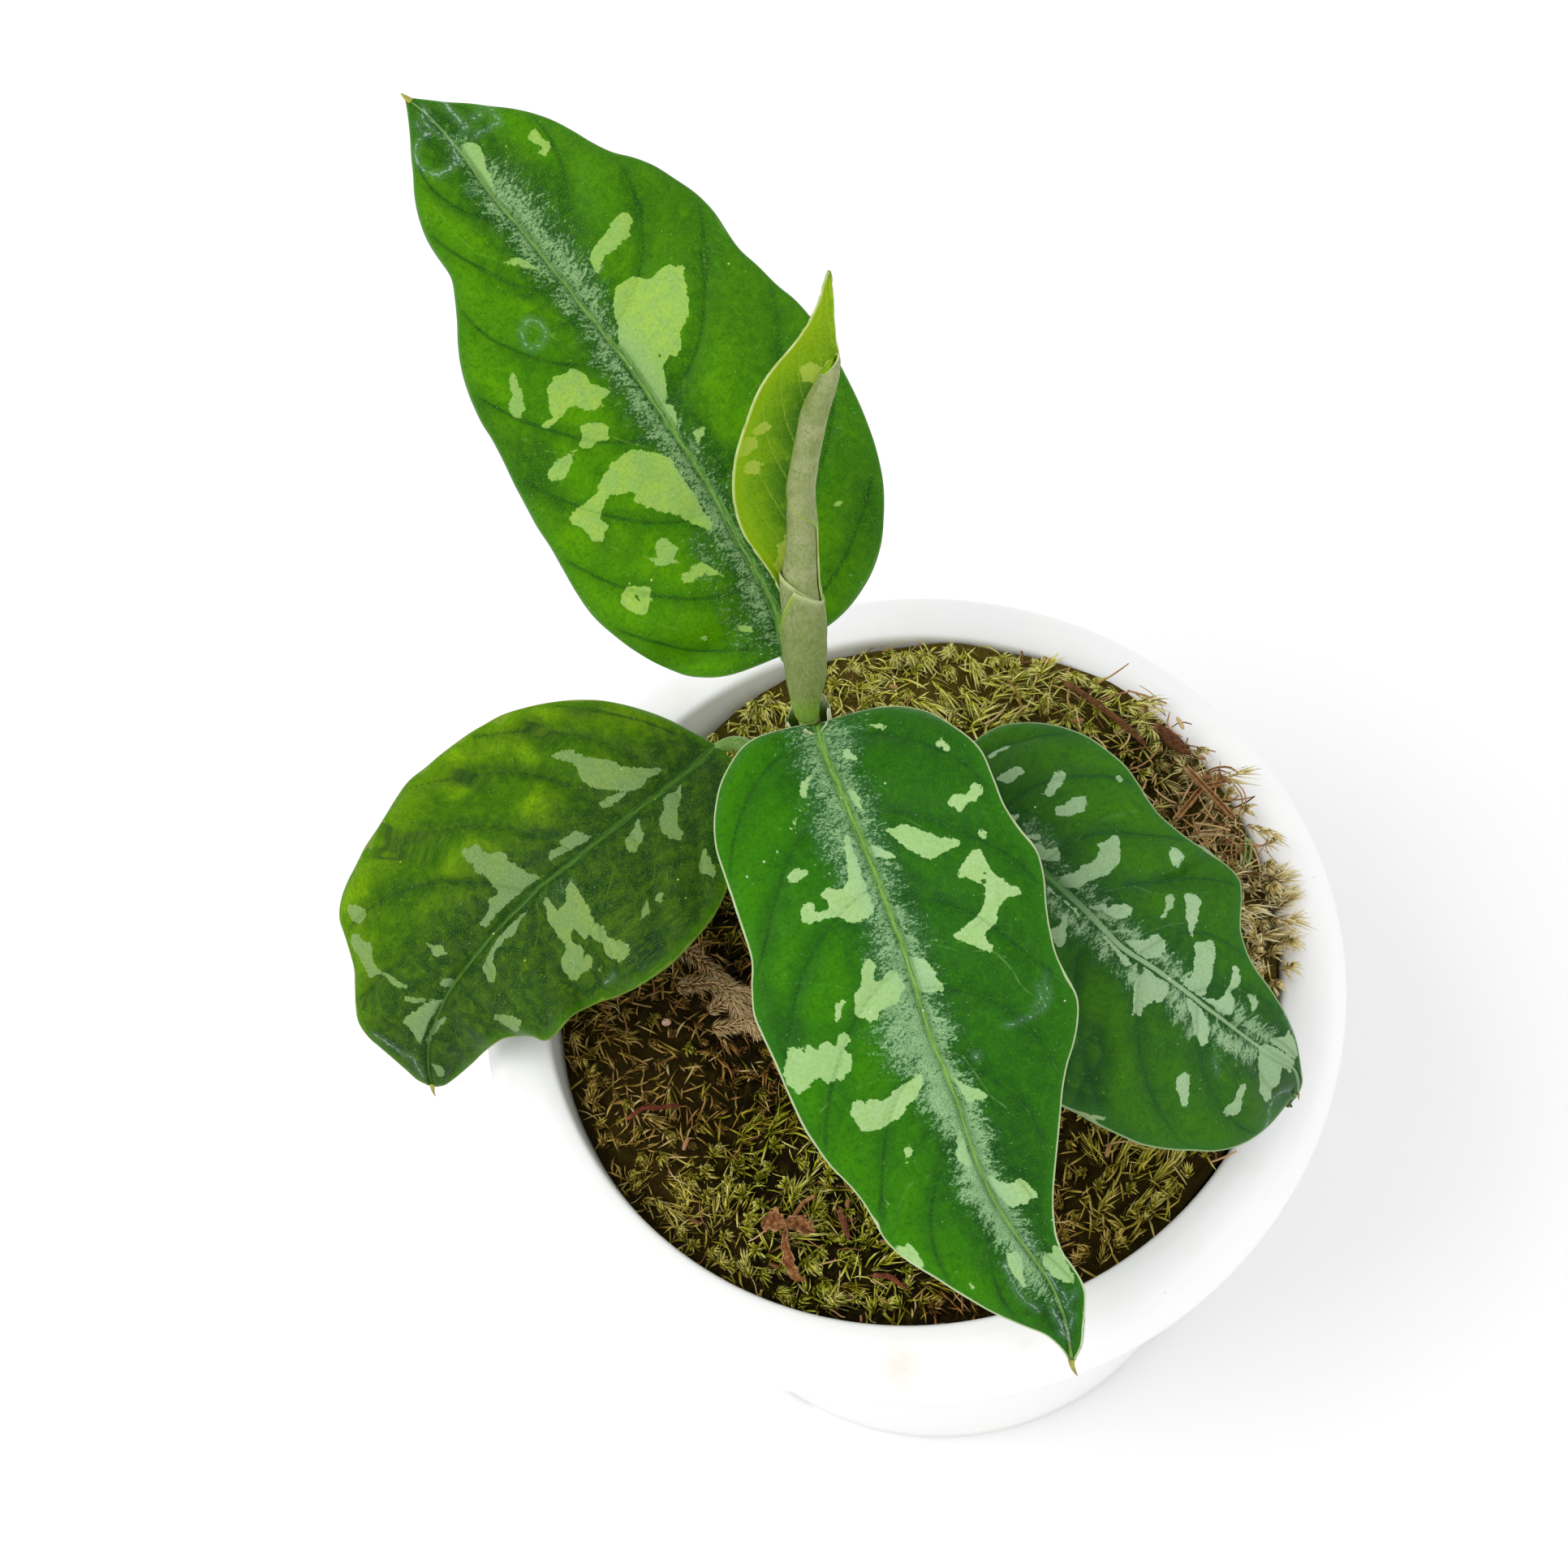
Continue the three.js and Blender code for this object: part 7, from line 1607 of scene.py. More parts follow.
def moss_shoots(mat):
    """Three kinds of shoot: upright stars, nodding combs, and long streaky blades."""
    rng = np.random.default_rng(4127)
    P = scatter(rng, 1270, 47.2, 1.96)
    x, y = P[:, 0], P[:, 1]
    r = np.hypot(x, y)
    side = np.clip((0.75 * x + 0.35 * y) / 46, 0, 1)
    east = np.clip((0.95 * x + 0.10 * y) / 46, 0, 1)
    keep = (r < 44.6 + 2.4 * smooth(0.74, 0.95, east)) & (np.hypot(x + 5.4, y - 9.6) > 4.6)
    x, y, r, side = x[keep], y[keep], r[keep], side[keep]
    n = len(x)
    z = moss_z(np.minimum(r, 45.0) * x / r, np.minimum(r, 45.0) * y / r)
    over = smooth(44.6, 46.8, r) * smooth(0.5, 0.85, side)
    z = z - 1.5 * (1 - over) + over * np.maximum(0, 88.3 - z + 0.4)
    hue = zone(x, y)
    # neighbours differ: clumps of one kind, single pale or dead shoots between them
    clump = vnoise(np.stack([x, y, 0 * x], -1) * 0.30 + 9, 77)
    hue = np.clip(hue + 0.24 * clump + rng.normal(0, 0.16, n), 0, 1)
    pick = rng.uniform(0, 1, n)
    hue = np.where(pick > 0.95, np.clip(hue + 0.45, 0, 1), hue)
    hue = np.where(pick < 0.06, np.clip(hue - 0.45, 0, 1), hue)
    patchy = fbm(np.stack([x, y, 0 * x], -1) * 0.16, 2, 21)
    out = np.stack([x / np.maximum(r, 1), y / np.maximum(r, 1), 0 * x], -1)
    rimward = smooth(38, 46, r)[:, None]
    inward = smooth(42.5, 45.0, r)[:, None] * (1 - smooth(0.45, 0.7, side))[:, None]
    sw = fbm(np.stack([x, y, 0 * x + 4], -1) * 0.08, 2, 31) * 3.6 + rng.normal(0, 0.5, n)
    lean = np.stack([np.cos(sw), np.sin(sw), 0 * x], -1)
    lean = unit(lean - out * 1.6 * inward + out * 0.8 * rimward * side[:, None])
    tilt = rng.normal(0, 0.22, (n, 3)) * arr((1, 1, 0))
    streak = np.exp(-((x - 27) ** 2 + (y + 25) ** 2) / 72) * 1.15
    kind = np.where(rng.uniform(0, 1, n) < streak, 2, np.where(rng.uniform(0, 1, n) < 0.30, 1, 0))
    base = np.stack([x, y, z - 0.2], -1)
    width = np.clip(0.165 + 0.03 * rng.normal(0, 1, n), 0.11, 0.235)
    groups = []
    order = np.argsort(hue)
    for gi, idx in enumerate(np.array_split(order, 3)):
        parts = Parts()
        for kd in (0, 1, 2):
            q = idx[kind[idx] == kd]
            if not len(q):
                continue
            if kd == 0:
                axis = arr((0, 0, 1)) + tilt[q] + lean[q] * 0.15 + out[q] * (0.35 * rimward[q] * side[q][:, None])
                h = np.clip(0.9 + 1.1 * hue[q] + 0.7 * patchy[q] + rng.normal(0, 0.3, len(q)), 0.5, 3.0)
                s = np.clip(1.45 + 1.45 * hue[q] + rng.normal(0, 0.30, len(q)), 1.1, 3.3)
                sprigs(parts, base[q], axis, h, lean[q], s, 22, width[q] * 1.1, hue[q], rng, 1.0, (14, 74), hook=0.85, first=0.35, one_way=0.25)
            elif kd == 1:
                axis = arr((0, 0, 0.62)) + tilt[q] * 0.7 + lean[q] * 0.8
                h = np.clip(2.6 + 1.3 * hue[q] + rng.normal(0, 0.35, len(q)), 1.6, 4.6)
                s = np.clip(1.7 + 0.7 * hue[q] + rng.normal(0, 0.2, len(q)), 1.2, 2.9)
                b = base[q] - lean[q] * h[:, None] * 0.35
                sprigs(parts, b, axis, h, lean[q], s, 20, width[q] * 0.9, hue[q], rng, 0.5, (18, 72), hook=1.15, first=0.04)
            else:
                way = unit(arr((0.70, 0.62, 0)) + rng.normal(0, 0.16, (len(q), 3)) * arr((1, 1, 0)))
                axis = way + arr((0, 0, 0.42)) + tilt[q] * 0.3
                h = rng.uniform(2.2, 3.6, len(q))
                s = rng.uniform(3.0, 4.6, len(q))
                sprigs(parts, base[q] - way * 1.6, axis, h, way, s, 16, width[q] * 1.15, np.clip(hue[q] + 0.15, 0, 1), rng, 0.25, (6, 30), hook=0.35)
        if gi == 1:
            # small shoots pack the gap along the pot's wall
            m = 150
            ta = rng.uniform(0, TAU, m)
            tr = rng.uniform(43.2, 44.7, m)
            b = np.stack([tr * np.cos(ta), tr * np.sin(ta), 0 * ta], -1)
            b[:, 2] = moss_z(b[:, 0], b[:, 1]) - 0.4
            way = unit(np.stack([-np.sin(ta), np.cos(ta), 0 * ta], -1) * rng.normal(0, 1, (m, 1)) - b * arr((0.012, 0.012, 0)))
            hz = np.clip(zone(b[:, 0], b[:, 1]) + rng.normal(0.05, 0.15, m), 0, 1)
            sprigs(parts, b, arr((0, 0, 1)) + way * 0.25, rng.uniform(1.0, 2.2, m), way, rng.uniform(1.2, 1.9, m), 14, np.full(m, 0.15), hz, rng, 0.4, (12, 62), hook=0.6)
        if gi == 2:
            # fluffy tufts that lean out over the rim
            m = 11
            ty = rng.uniform(-7.5, 3.0, m)
            tr = rng.uniform(44.6, 46.4, m)
            tx = np.sqrt(tr ** 2 - ty ** 2)
            b = np.stack([tx, ty, np.full(m, 88.0) + rng.uniform(-0.6, 0.5, m)], -1)
            way = unit(arr((1.0, 0.18, 0)) + rng.normal(0, 0.22, (m, 3)) * arr((1, 1, 0)))
            sprigs(parts, b, way + arr((0, 0, 0.75)), rng.uniform(2.0, 3.2, m), way, rng.uniform(2.3, 3.1, m), 30, np.full(m, 0.13), rng.uniform(0.82, 1.0, m), rng, 0.25, (8, 62), hook=0.5)
        groups.append(parts.build("moss_shoots_%d" % (gi + 1), mat))
    return groups


def moss_litter(mat):
    """Low, matted growth between the shoots: short crossed filaments."""
    rng = np.random.default_rng(911)
    n = 3600
    a = rng.uniform(0, TAU, n)
    r = 45.4 * np.sqrt(rng.uniform(0, 1, n))
    x, y = r * np.cos(a), r * np.sin(a)
    z = moss_z(x, y) - 1.1 + rng.uniform(-0.5, 0.9, n)
    th = rng.uniform(0, TAU, n)
    L = rng.uniform(1.2, 4.2, n)
    d = np.stack([np.cos(th), np.sin(th), rng.normal(0, 0.28, n)], -1)
    c = np.stack([x, y, z], -1)
    bend = np.stack([-np.sin(th), np.cos(th), 0 * th], -1) * rng.normal(0, 0.35, n)[:, None] + arr((0, 0, 0.25))
    w = rng.uniform(0.07, 0.17, n)[:, None]
    side = unit(np.cross(d, arr((0, 0, 1))))
    upv = np.cross(side, unit(d))
    pts = []
    for q, k in ((-0.5, 0.4), (-0.15, 1.0), (0.2, 0.8), (0.5, 0.0)):
        p = c + d * (L * q)[:, None] + bend * (L * (0.25 - q * q))[:, None]
        if k == 0:
            pts.append(p[:, None])
        else:
            pts.append(np.stack([p + side * w * k, p - upv * w * k * 0.8, p - side * w * k], 1))
    V = np.concatenate(pts, 1).reshape(-1, 3)
    T = []
    for q in (0, 3):
        for a_, b_ in ((0, 1), (1, 2), (2, 0)):
            T += [(q + a_, q + b_, q + 3 + b_), (q + a_, q + 3 + b_, q + 3 + a_)]
    T += [(6, 7, 9), (7, 8, 9), (8, 6, 9), (2, 1, 0)]
    F = (arr(T).astype(int)[None] + (np.arange(n) * 10)[:, None, None]).reshape(-1, 3)
    along = np.tile(np.repeat(arr((0, .34, .7, 1)), (3, 3, 3, 1)), n)
    hue = np.repeat(np.clip(zone(x, y) - 0.25 + rng.normal(0, 0.2, n), 0, 1), 10)
    parts = Parts()
    parts.add(V, [F], along=along, hue=hue, rnd=np.repeat(rng.uniform(0, 1, n), 10), deep=0.5)
    return parts.build("moss_litter", mat)


def moss_material():
    g = Shade("moss_leaflet", rough=0.65, spec=0.10)
    hue, rnd, al, deep = g.attr("hue"), g.attr("rnd"), g.attr("along"), g.attr("deep")
    o = g.obj()
    h = g.add(hue, g.mul(g.sub(rnd, 0.5), 0.22))
    # painted light together with real colour: the back (fresh growth) and the right rim (bleached growth) are painted
    # brighter, the left and lower right less so
    ox, oy = g.split(o, 0), g.split(o, 1)
    yb, xr = g.step(18.0, 36.0, oy), g.step(32.0, 44.0, ox)
    lf = g.step(-22.0, -36.0, ox)
    lr = g.mul(g.step(6.0, 20.0, ox), g.step(-10.0, -24.0, oy))
    base = g.ramp(h, (0.0, (74, 44, 12)), (0.22, (88, 64, 10)), (0.42, (84, 78, 0)), (0.62, (106, 112, 0)), (0.82, (142, 148, 10)), (1.0, (178, 178, 34)))
    tips = g.ramp(h, (0.0, (202, 144, 84)), (0.22, (204, 166, 70)), (0.42, (192, 178, 40)), (0.62, (208, 206, 60)), (0.82, (238, 234, 110)), (1.0, (252, 246, 156)))
    for w, b_, t_ in ((g.mul(yb, 0.88), (206, 206, 66), (254, 250, 164)), (g.mul(xr, 0.90), (228, 200, 124), (255, 246, 206)),
                      (g.mul(lf, 0.52), (158, 128, 48), (236, 206, 122)), (g.mul(lr, 0.64), (176, 162, 42), (252, 236, 130))):
        base, tips = g.mix(w, base, b_), g.mix(w, tips, t_)
    col = g.mix(g.step(0.15, 0.95, al), base, tips)
    # painted shade: the lower leaflets of each shoot darkened towards near-black, less where the back and sides are
    # painted light
    col = g.mix(g.mul(g.step(0.45, 0.0, deep, 0.0, 0.74), g.sub(1.0, g.m("MINIMUM", 0.85, g.add(g.mul(g.add(yb, xr), 0.85), g.mul(g.add(lf, lr), 0.35))))), col, (34, 24, 2))
    col = g.mix(g.step(0.90, 0.97, rnd, 0.0, 0.65), col, (226, 200, 140))
    n = g.noise(o, 2.4, 3.0, 0.6)
    col = g.mix(g.step(0.5, 0.8, n, 0.0, 0.28), col, (60, 42, 6))
    return g.done(col, None, g.bump(n, 0.05, 0.4))


def ground_material():
    g = Shade("moss_carpet", rough=0.95, spec=0.08)
    o = g.obj()
    n = g.noise(o, 0.75, 5.0, 0.7)
    f = g.noise(g.scale(o, (1, 1, 0.5)), 3.0, 5.0, 0.75)
    col = g.ramp(n, (0.30, (14, 9, 2)), (0.50, (34, 25, 5)), (0.64, (62, 54, 8)), (0.82, (96, 68, 26)))
    col = g.mix(g.step(0.50, 0.68, f, 0.0, 0.45), col, (58, 52, 10))
    col = g.mix(g.step(0.60, 0.75, g.noise(o, 0.3, 3.0), 0.0, 0.45), col, (48, 26, 10))
    ox, oy = g.split(o, 0), g.split(o, 1)
    # painted light: the ground at the back and right painted lighter olive-tan, the left and lower right a little
    # lighter
    back = g.m("MINIMUM", 1.0, g.add(g.step(18.0, 36.0, oy), g.step(32.0, 44.0, ox)))
    col = g.mix(g.mul(back, g.step(0.35, 0.60, f, 0.25, 0.75)), col, (128, 112, 42))
    some = g.m("MINIMUM", 1.0, g.add(g.step(-22.0, -36.0, ox), g.mul(g.step(6.0, 20.0, ox), g.step(-10.0, -24.0, oy))))
    col = g.mix(g.mul(some, 0.40), col, (78, 62, 20))
    return g.done(col, None, g.bump(g.add(n, f), 0.7, 0.9))


# ------------------------------------------------- bits lying on the moss
def on_moss(path, up=0.0, flat=1.0):
    out = []
    for p in path:
        x, y, r = p[:3]
        lift = p[3] if len(p) > 3 else 0
        out.append([x, y, float(moss_z(arr(x), arr(y))) + r * flat + 0.5 + lift + up, r])
    return out


def bark_material(name, a, b, c, scale=1.0, rough=0.85):
    g = Shade(name, rough=rough, spec=0.12)
    o = g.obj()
    al = g.attr("along")
    n = g.noise(o, 1.6 * scale, 5.0, 0.7)
    s = g.noise(o, 6.0 * scale, 3.0, 0.6)
    col = g.mix(g.step(0.38, 0.62, n), a, b)
    col = g.mix(g.step(0.52, 0.72, s, 0.0, 0.7), col, c)
    col = g.mix(g.step(0.15, 0.0, al, 0.0, 0.5), col, c)
    return g.done(col, None, g.bump(g.add(n, s), 0.12, 0.7))


def stick_piece(name, path, mat, slot, n=40, sides=12, flat=1.0, lump=0.16, seed=1, knots=(), scale=1.0, fray=0, rng=None):
    parts = Parts()
    pts = on_moss(path, flat=flat)
    v, f, al = tube(pts, n=n, sides=sides, flat=flat, lump=lump, seed=seed, scale=scale,
                    profile=lambda a: 1 + 0.10 * np.cos(2 * a + seed) + 0.06 * np.cos(5 * a))
    parts.add(v, f, along=al)
    c = spline(pts, 60)
    for t, dx, dy, dz, r in knots:       # side spurs
        p = c[int(t * 59)]
        q = [[p[0], p[1], p[2], r], [p[0] + dx * .5, p[1] + dy * .5, p[2] + dz * .6, r * .8], [p[0] + dx, p[1] + dy, p[2] + dz, r * .35]]
        v, f, al = tube(q, n=14, sides=8, lump=0.12, seed=seed + 3)
        parts.add(v, f, along=al)
    for k in range(fray):                # splintered ends
        end = 0 if k % 2 else 59
        p = c[end]
        d = unit(c[end, :3] - c[20 if end == 0 else 39, :3]) + rng.normal(0, .35, 3)
        L = rng.uniform(.4, 1.0)
        q = [[*p[:3], p[3] * .5], [*(p[:3] + d * L * .5), p[3] * .35], [*(p[:3] + d * L), .04]]
        v, f, al = tube(q, n=8, sides=6)
        parts.add(v, f, along=al)
    return parts.build(name, mat)


def straw_piece(name, path, mat, seed, scale=1.0):
    """A dry split stalk: an open channel in section, with frayed ends."""
    rng = np.random.default_rng(seed)
    parts = Parts()
    pts = on_moss(path)
    c = spline(pts, 44)
    T, N, B = frames(c[:, :3], (0, 0, 1))
    m = 16
    a = np.linspace(math.radians(-150), math.radians(150), m)[None] + math.pi
    u = np.linspace(0, 1, 44)[:, None]
    R = c[:, 3:4] * scale * (1 + 0.10 * fbm(np.stack([u * 9 + 0 * a, a + 0 * u, 0 * a + 0 * u + seed], -1), 3, seed))
    P = c[:, None, :3] + N[:, None] * (R * np.cos(a))[..., None] + B[:, None] * (R * np.sin(a))[..., None]
    jag = 0.55 * vnoise(np.stack([a[0] * 2.4, 0 * a[0], 0 * a[0] + seed], -1), seed)
    P = P + T[:, None] * (jag[None] * (u ** 6) - jag[None, ::-1] * ((1 - u) ** 6))[..., None]
    v, t, b, e = sheet_solid(P, 0.14)
    al = np.concatenate([(u + 0 * a).ravel()] * 2)
    parts.add(v, [t, b, e], along=al)
    for k in range(5):
        s = rng.uniform(-1, 1)
        i0, i1 = (30, 43) if k % 2 else (0, 13)
        off = N[i0] * rng.uniform(-.3, .6) * c[i0, 3] + B[i0] * s * c[i0, 3] * .7
        q = [[*(c[i, :3] + off * (1 + .25 * w)), .10] for w, i in enumerate(np.linspace(i0, i1, 4).astype(int))]
        q[-1][3] = .04
        vv, ff, aa = tube(q, n=10, sides=6)
        parts.add(vv, ff, along=aa)
    return parts.build(name, mat)


def loose_fibres(mat):
    """Dry stalks, root hairs and chips strewn over the moss, thickest at the right and back."""
    rng = np.random.default_rng(5150)
    parts = Parts()
    spots = [(38.5, 18.5, 4.5, 34), (42.5, 11.5, 2.8, 26), (43.5, 5.0, 2.0, 16), (31.5, 28.5, 4.0, 20), (24.0, 36.0, 3.5, 10), (8.0, 41.0, 5.0, 10), (-25.0, -1.0, 6.0, 12),
             (-36.0, 3.0, 4.0, 7), (-12.5, -38.0, 5.0, 16), (-19.0, -31.0, 6.0, 10), (3.0, -40.0, 4.0, 9), (30.0, -27.0, 6.0, 12), (37.0, -12.0, 4.0, 10), (-33.0, -18.0, 4.0, 8)]
    for cx, cy, sp, num in spots:
        for _ in range(num):
            x, y = cx + rng.normal(0, sp), cy + rng.normal(0, sp)
            r = math.hypot(x, y)
            out = 45.2 if x < 30 else 46.6
            if r > out:
                x, y = x * out / r, y * out / r
            chip = rng.uniform() < 0.22
            L = rng.uniform(0.8, 1.7) if chip else rng.uniform(2.0, 6.0 if cx > 20 else 3.6)
            w = rng.uniform(0.16, 0.34) if chip else rng.uniform(0.06, 0.15 if cx > 20 else 0.11)
            th = rng.uniform(0, TAU)
            d = arr((math.cos(th), math.sin(th)))
            bend = arr((-d[1], d[0])) * rng.normal(0, 0.10) * L
            lift = rng.uniform(0.1, 1.2)
            slope = rng.normal(0, 0.16)
            pts = []
            for q in (-0.5, -0.17, 0.17, 0.5):
                px, py = x + d[0] * L * q + bend[0] * (0.25 - q * q) * 4, y + d[1] * L * q + bend[1] * (0.25 - q * q) * 4
                rr = math.hypot(px, py)
                top = float(moss_z(arr(px * min(1, 45 / max(rr, 1))), arr(py * min(1, 45 / max(rr, 1)))))
                if rr > 45.4:
                    if x < 30:
                        px, py = px * 45.4 / rr, py * 45.4 / rr
                    else:
                        top = max(top, 88.2)
                if rr > 48.5:
                    px, py = px * 48.5 / rr, py * 48.5 / rr
                pts.append([px, py, top + lift + slope * L * q, w * (1.0 if abs(q) < .3 else 0.75)])
            v, f, al = tube(pts, n=8, sides=6, flat=0.6 if chip else 0.85, lump=0.22, seed=int(rng.integers(0, 999)))
            parts.add(v, f, along=al, rnd=rng.uniform())
    return parts.build("loose_fibres", mat)


def fibre_material():
    g = Shade("dry_fibre", rough=0.8, spec=0.12)
    o = g.obj()
    rnd = g.attr("rnd")
    n = g.noise(o, 1.8, 4.0, 0.7)
    s = g.noise(o, 7.0, 2.0, 0.6)
    col = g.ramp(rnd, (0.0, (84, 52, 28)), (0.22, (120, 78, 44)), (0.45, (156, 114, 66)), (0.68, (184, 146, 94)), (0.88, (208, 180, 132)), (1.0, (150, 84, 60)))
    col = g.mix(g.step(0.45, 0.7, n, 0.0, 0.5), col, (94, 60, 32))
    col = g.mix(g.step(0.5, 0.75, s, 0.0, 0.4), col, (206, 180, 134))
    return g.done(col, None, g.bump(g.add(n, s), 0.1, 0.6))


def dead_leaf(mat):
    """Shrivelled leaf: two crumpled lobes, a rolled tail and a thin stalk."""
    parts = Parts()

    def lobe(path, wide, crumple, seed, n=50, m=26, roll=1.15):
        c = spline(on_moss(path, 0.3), n)
        T, N, B = frames(c[:, :3], (0, 0, 1))
        u = np.linspace(0, 1, n)[:, None]
        s = np.linspace(-1, 1, m)[None]
        w = wide * (np.sin(np.pi * np.clip(u * 0.94 + 0.03, 0, 1)) ** 0.75) * (1 + 0.22 * np.sin(9 * u + 5 * s + seed) + 0.16 * np.sin(21 * u + 3 * s) + 0.10 * np.sin(37 * u - 7 * s))
        curl = roll * (0.6 + 0.5 * np.sin(3.0 * u + seed))
        x = w * np.sin(s * curl) / np.maximum(curl, .2)
        zz = w * (1 - np.cos(s * curl)) / np.maximum(curl, .2)
        P = c[:, None, :3] + B[:, None] * x[..., None] + N[:, None] * zz[..., None]
        P = P + (N[:, None] * crumple * fbm(P * 1.1 + seed, 4, seed, .6)[..., None])
        P = P + B[:, None] * (0.45 * crumple * vnoise(P * 1.9, seed + 2))[..., None] + T[:, None] * (0.35 * crumple * vnoise(P * 1.7, seed + 12))[..., None]
        P = P + N[:, None] * (0.22 * crumple * np.sin(7 * s + 14 * u + 3 * vnoise(P * 0.8, seed + 4)))[..., None]
        v, t, b, e = sheet_solid(P, 0.13)
        al = np.concatenate([(u + 0 * s).ravel()] * 2)
        parts.add(v, [t, b, e], along=al, rib=np.concatenate([(np.abs(s) + 0 * u).ravel()] * 2))

    lobe([[-24.5, -29.9, 0.5, .2], [-23.4, -29.9, 0.6, .7], [-22.2, -30.3, 0.6, .9], [-21.0, -30.7, 0.5, .5]], 1.25, 0.95, 2)
    lobe([[-21.2, -30.8, 0.5, .4], [-20.2, -30.6, 0.6, .8], [-19.2, -30.9, 0.6, .7], [-18.2, -31.7, 0.4, .1]], 1.15, 0.9, 5)
    lobe([[-21.0, -30.4, 0.6, .5], [-21.6, -31.6, 0.7, .6], [-22.0, -33.2, 0.6, .3], [-21.9, -34.8, 0.5, .1], [-21.3, -36.2, 0.3, 0], [-20.5, -37.0, 0.2, 0]], 0.85, 0.55, 8, roll=2.1)
    v, f, al = tube(on_moss([[-20.9, -30.6, .34, .5], [-19.9, -28.9, .3, .3], [-18.7, -27.6, .27, .2], [-17.3, -27.0, .3, .1]], .2), n=30, sides=10, lump=.2, seed=4)
    parts.add(v, f, along=al, rib=0.0)
    return parts.build("dead_leaf_finish", mat)


def dead_leaf_material():
    g = Shade("shrivelled_leaf", rough=0.8, spec=0.12)
    o = g.obj()
    rib = g.attr("rib")
    n = g.noise(o, 0.9, 5.0, 0.65)
    f = g.noise(o, 4.5, 4.0, 0.7)
    col = g.ramp(n, (0.3, (84, 48, 26)), (0.5, (148, 96, 58)), (0.72, (196, 148, 100)))
    col = g.mix(g.step(0.5, 0.72, f, 0.0, 0.5), col, (66, 36, 18))
    col = g.mix(g.step(0.82, 1.0, rib, 0.0, 0.5), col, (200, 158, 118))
    return g.done(col, None, g.bump(g.add(n, f), 0.2, 0.8))


def dry_tuft(mat):
    """Dried feather moss: five fronds, each a bent midrib carrying many fine curved side hairs."""
    parts = Parts()
    rng = np.random.default_rng(77)
    strands = [[[-28.4, 8.6, 0.35, .6], [-26.5, 6.8, .5, 1.0], [-24.9, 4.3, .5, 1.2], [-23.1, 2.0, .4, .9], [-22.4, 0.6, .25, .5]],
               [[-29.5, 3.7, .35, .5], [-26.7, 3.0, .45, .9], [-24.2, 2.2, .5, 1.0], [-22.7, 0.7, .35, .6]],
               [[-26.0, -0.9, .35, .5], [-23.7, -0.1, .45, 1.0], [-22.1, -0.7, .5, 1.1], [-21.0, -2.6, .3, .7]],
               [[-26.0, -2.9, .35, .5], [-23.5, -3.3, .45, .9], [-21.5, -3.2, .5, .9], [-20.5, -5.2, .3, .6]],
               [[-23.8, 3.6, .35, .8], [-22.9, 0.4, .45, 1.2], [-22.2, -2.2, .45, 1.1], [-21.6, -3.9, .3, .7]],
               [[-25.2, 1.6, .3, .4], [-23.0, 1.2, .4, 1.4], [-21.2, 0.2, .3, 1.2], [-20.0, -0.6, .2, .8]]]
    hairs = 215
    for si, path in enumerate(strands):
        pts = on_moss(path, 0.1)
        v, f, al = tube(pts, n=30, sides=8, lump=.2, seed=si, scale=.75)
        parts.add(v, f, along=al * .4, hue=0.1, rnd=.4, deep=.8)
        c = spline(pts, 200)
        T, N, B = frames(c[:, :3])
        i = np.clip((np.arange(hairs) * 199.0 / hairs).astype(int), 0, 198)
        S = unit(np.cross(T, arr((0, 0, 1.0))))
        U = np.cross(S, T)
        fan = (0.10, 3.04, 0.75, 2.39, 1.35, 1.80)
        a = arr([fan[k % 6] for k in range(hairs)]) + rng.normal(0, .16, hairs)
        rad = S[i] * np.cos(a)[:, None] + U[i] * np.sin(a)[:, None] * 0.8
        d = unit(rad + T[i] * rng.uniform(.05, .35, (hairs, 1)))
        L = rng.uniform(1.30, 2.10, hairs) * (1 - 0.50 * (i / 199.0) ** 2)
        w = rng.uniform(.085, .125, hairs)[:, None]
        side = unit(np.cross(d, T[i] + 1e-3))
        nn = np.cross(side, d)
        bend = T[i] * 1.15 - rad * 0.30 + arr((0, 0, -.75)) + rng.normal(0, .12, (hairs, 3))
        P = []
        for q, k in ((0, .8), (.35, 1.0), (.7, .6), (1.0, 0)):
            p = c[i, :3] + d * (L * q)[:, None] + bend * (L * q * q * .5)[:, None]
            P.append(p[:, None] if k == 0 else np.stack([p + side * w * k, p - nn * w * k, p - side * w * k], 1))
        V = np.concatenate(P, 1).reshape(-1, 3)
        Tq = []
        for q in (0, 3):
            for a_, b_ in ((0, 1), (1, 2), (2, 0)):
                Tq += [(q + a_, q + b_, q + 3 + b_), (q + a_, q + 3 + b_, q + 3 + a_)]
        Tq += [(6, 7, 9), (7, 8, 9), (8, 6, 9), (2, 1, 0)]
        F = (arr(Tq).astype(int)[None] + (np.arange(hairs) * 10)[:, None, None]).reshape(-1, 3)
        parts.add(V, [F], along=np.tile(np.repeat(arr((0, .34, .7, 1)), (3, 3, 3, 1)), hairs), hue=.1, rnd=np.repeat(rng.uniform(0, 1, hairs), 10), deep=.8)
    return parts.build("dry_moss_finish", mat)


def dry_material():
    g = Shade("dry_moss_frond", rough=0.8, spec=0.1)
    al, rnd = g.attr("along"), g.attr("rnd")
    o = g.obj()
    n = g.noise(o, 1.2, 4.0, 0.6)
    col = g.mix(g.step(0.1, 1.0, al), (112, 72, 32), (250, 220, 164))
    col = g.mix(g.step(0.45, 0.7, n, 0.0, 0.4), col, (168, 118, 64))
    col = g.mix(g.step(0.7, 0.95, rnd, 0.0, 0.6), col, (240, 214, 164))
    return g.done(col, None, g.bump(n, 0.08, 0.5))


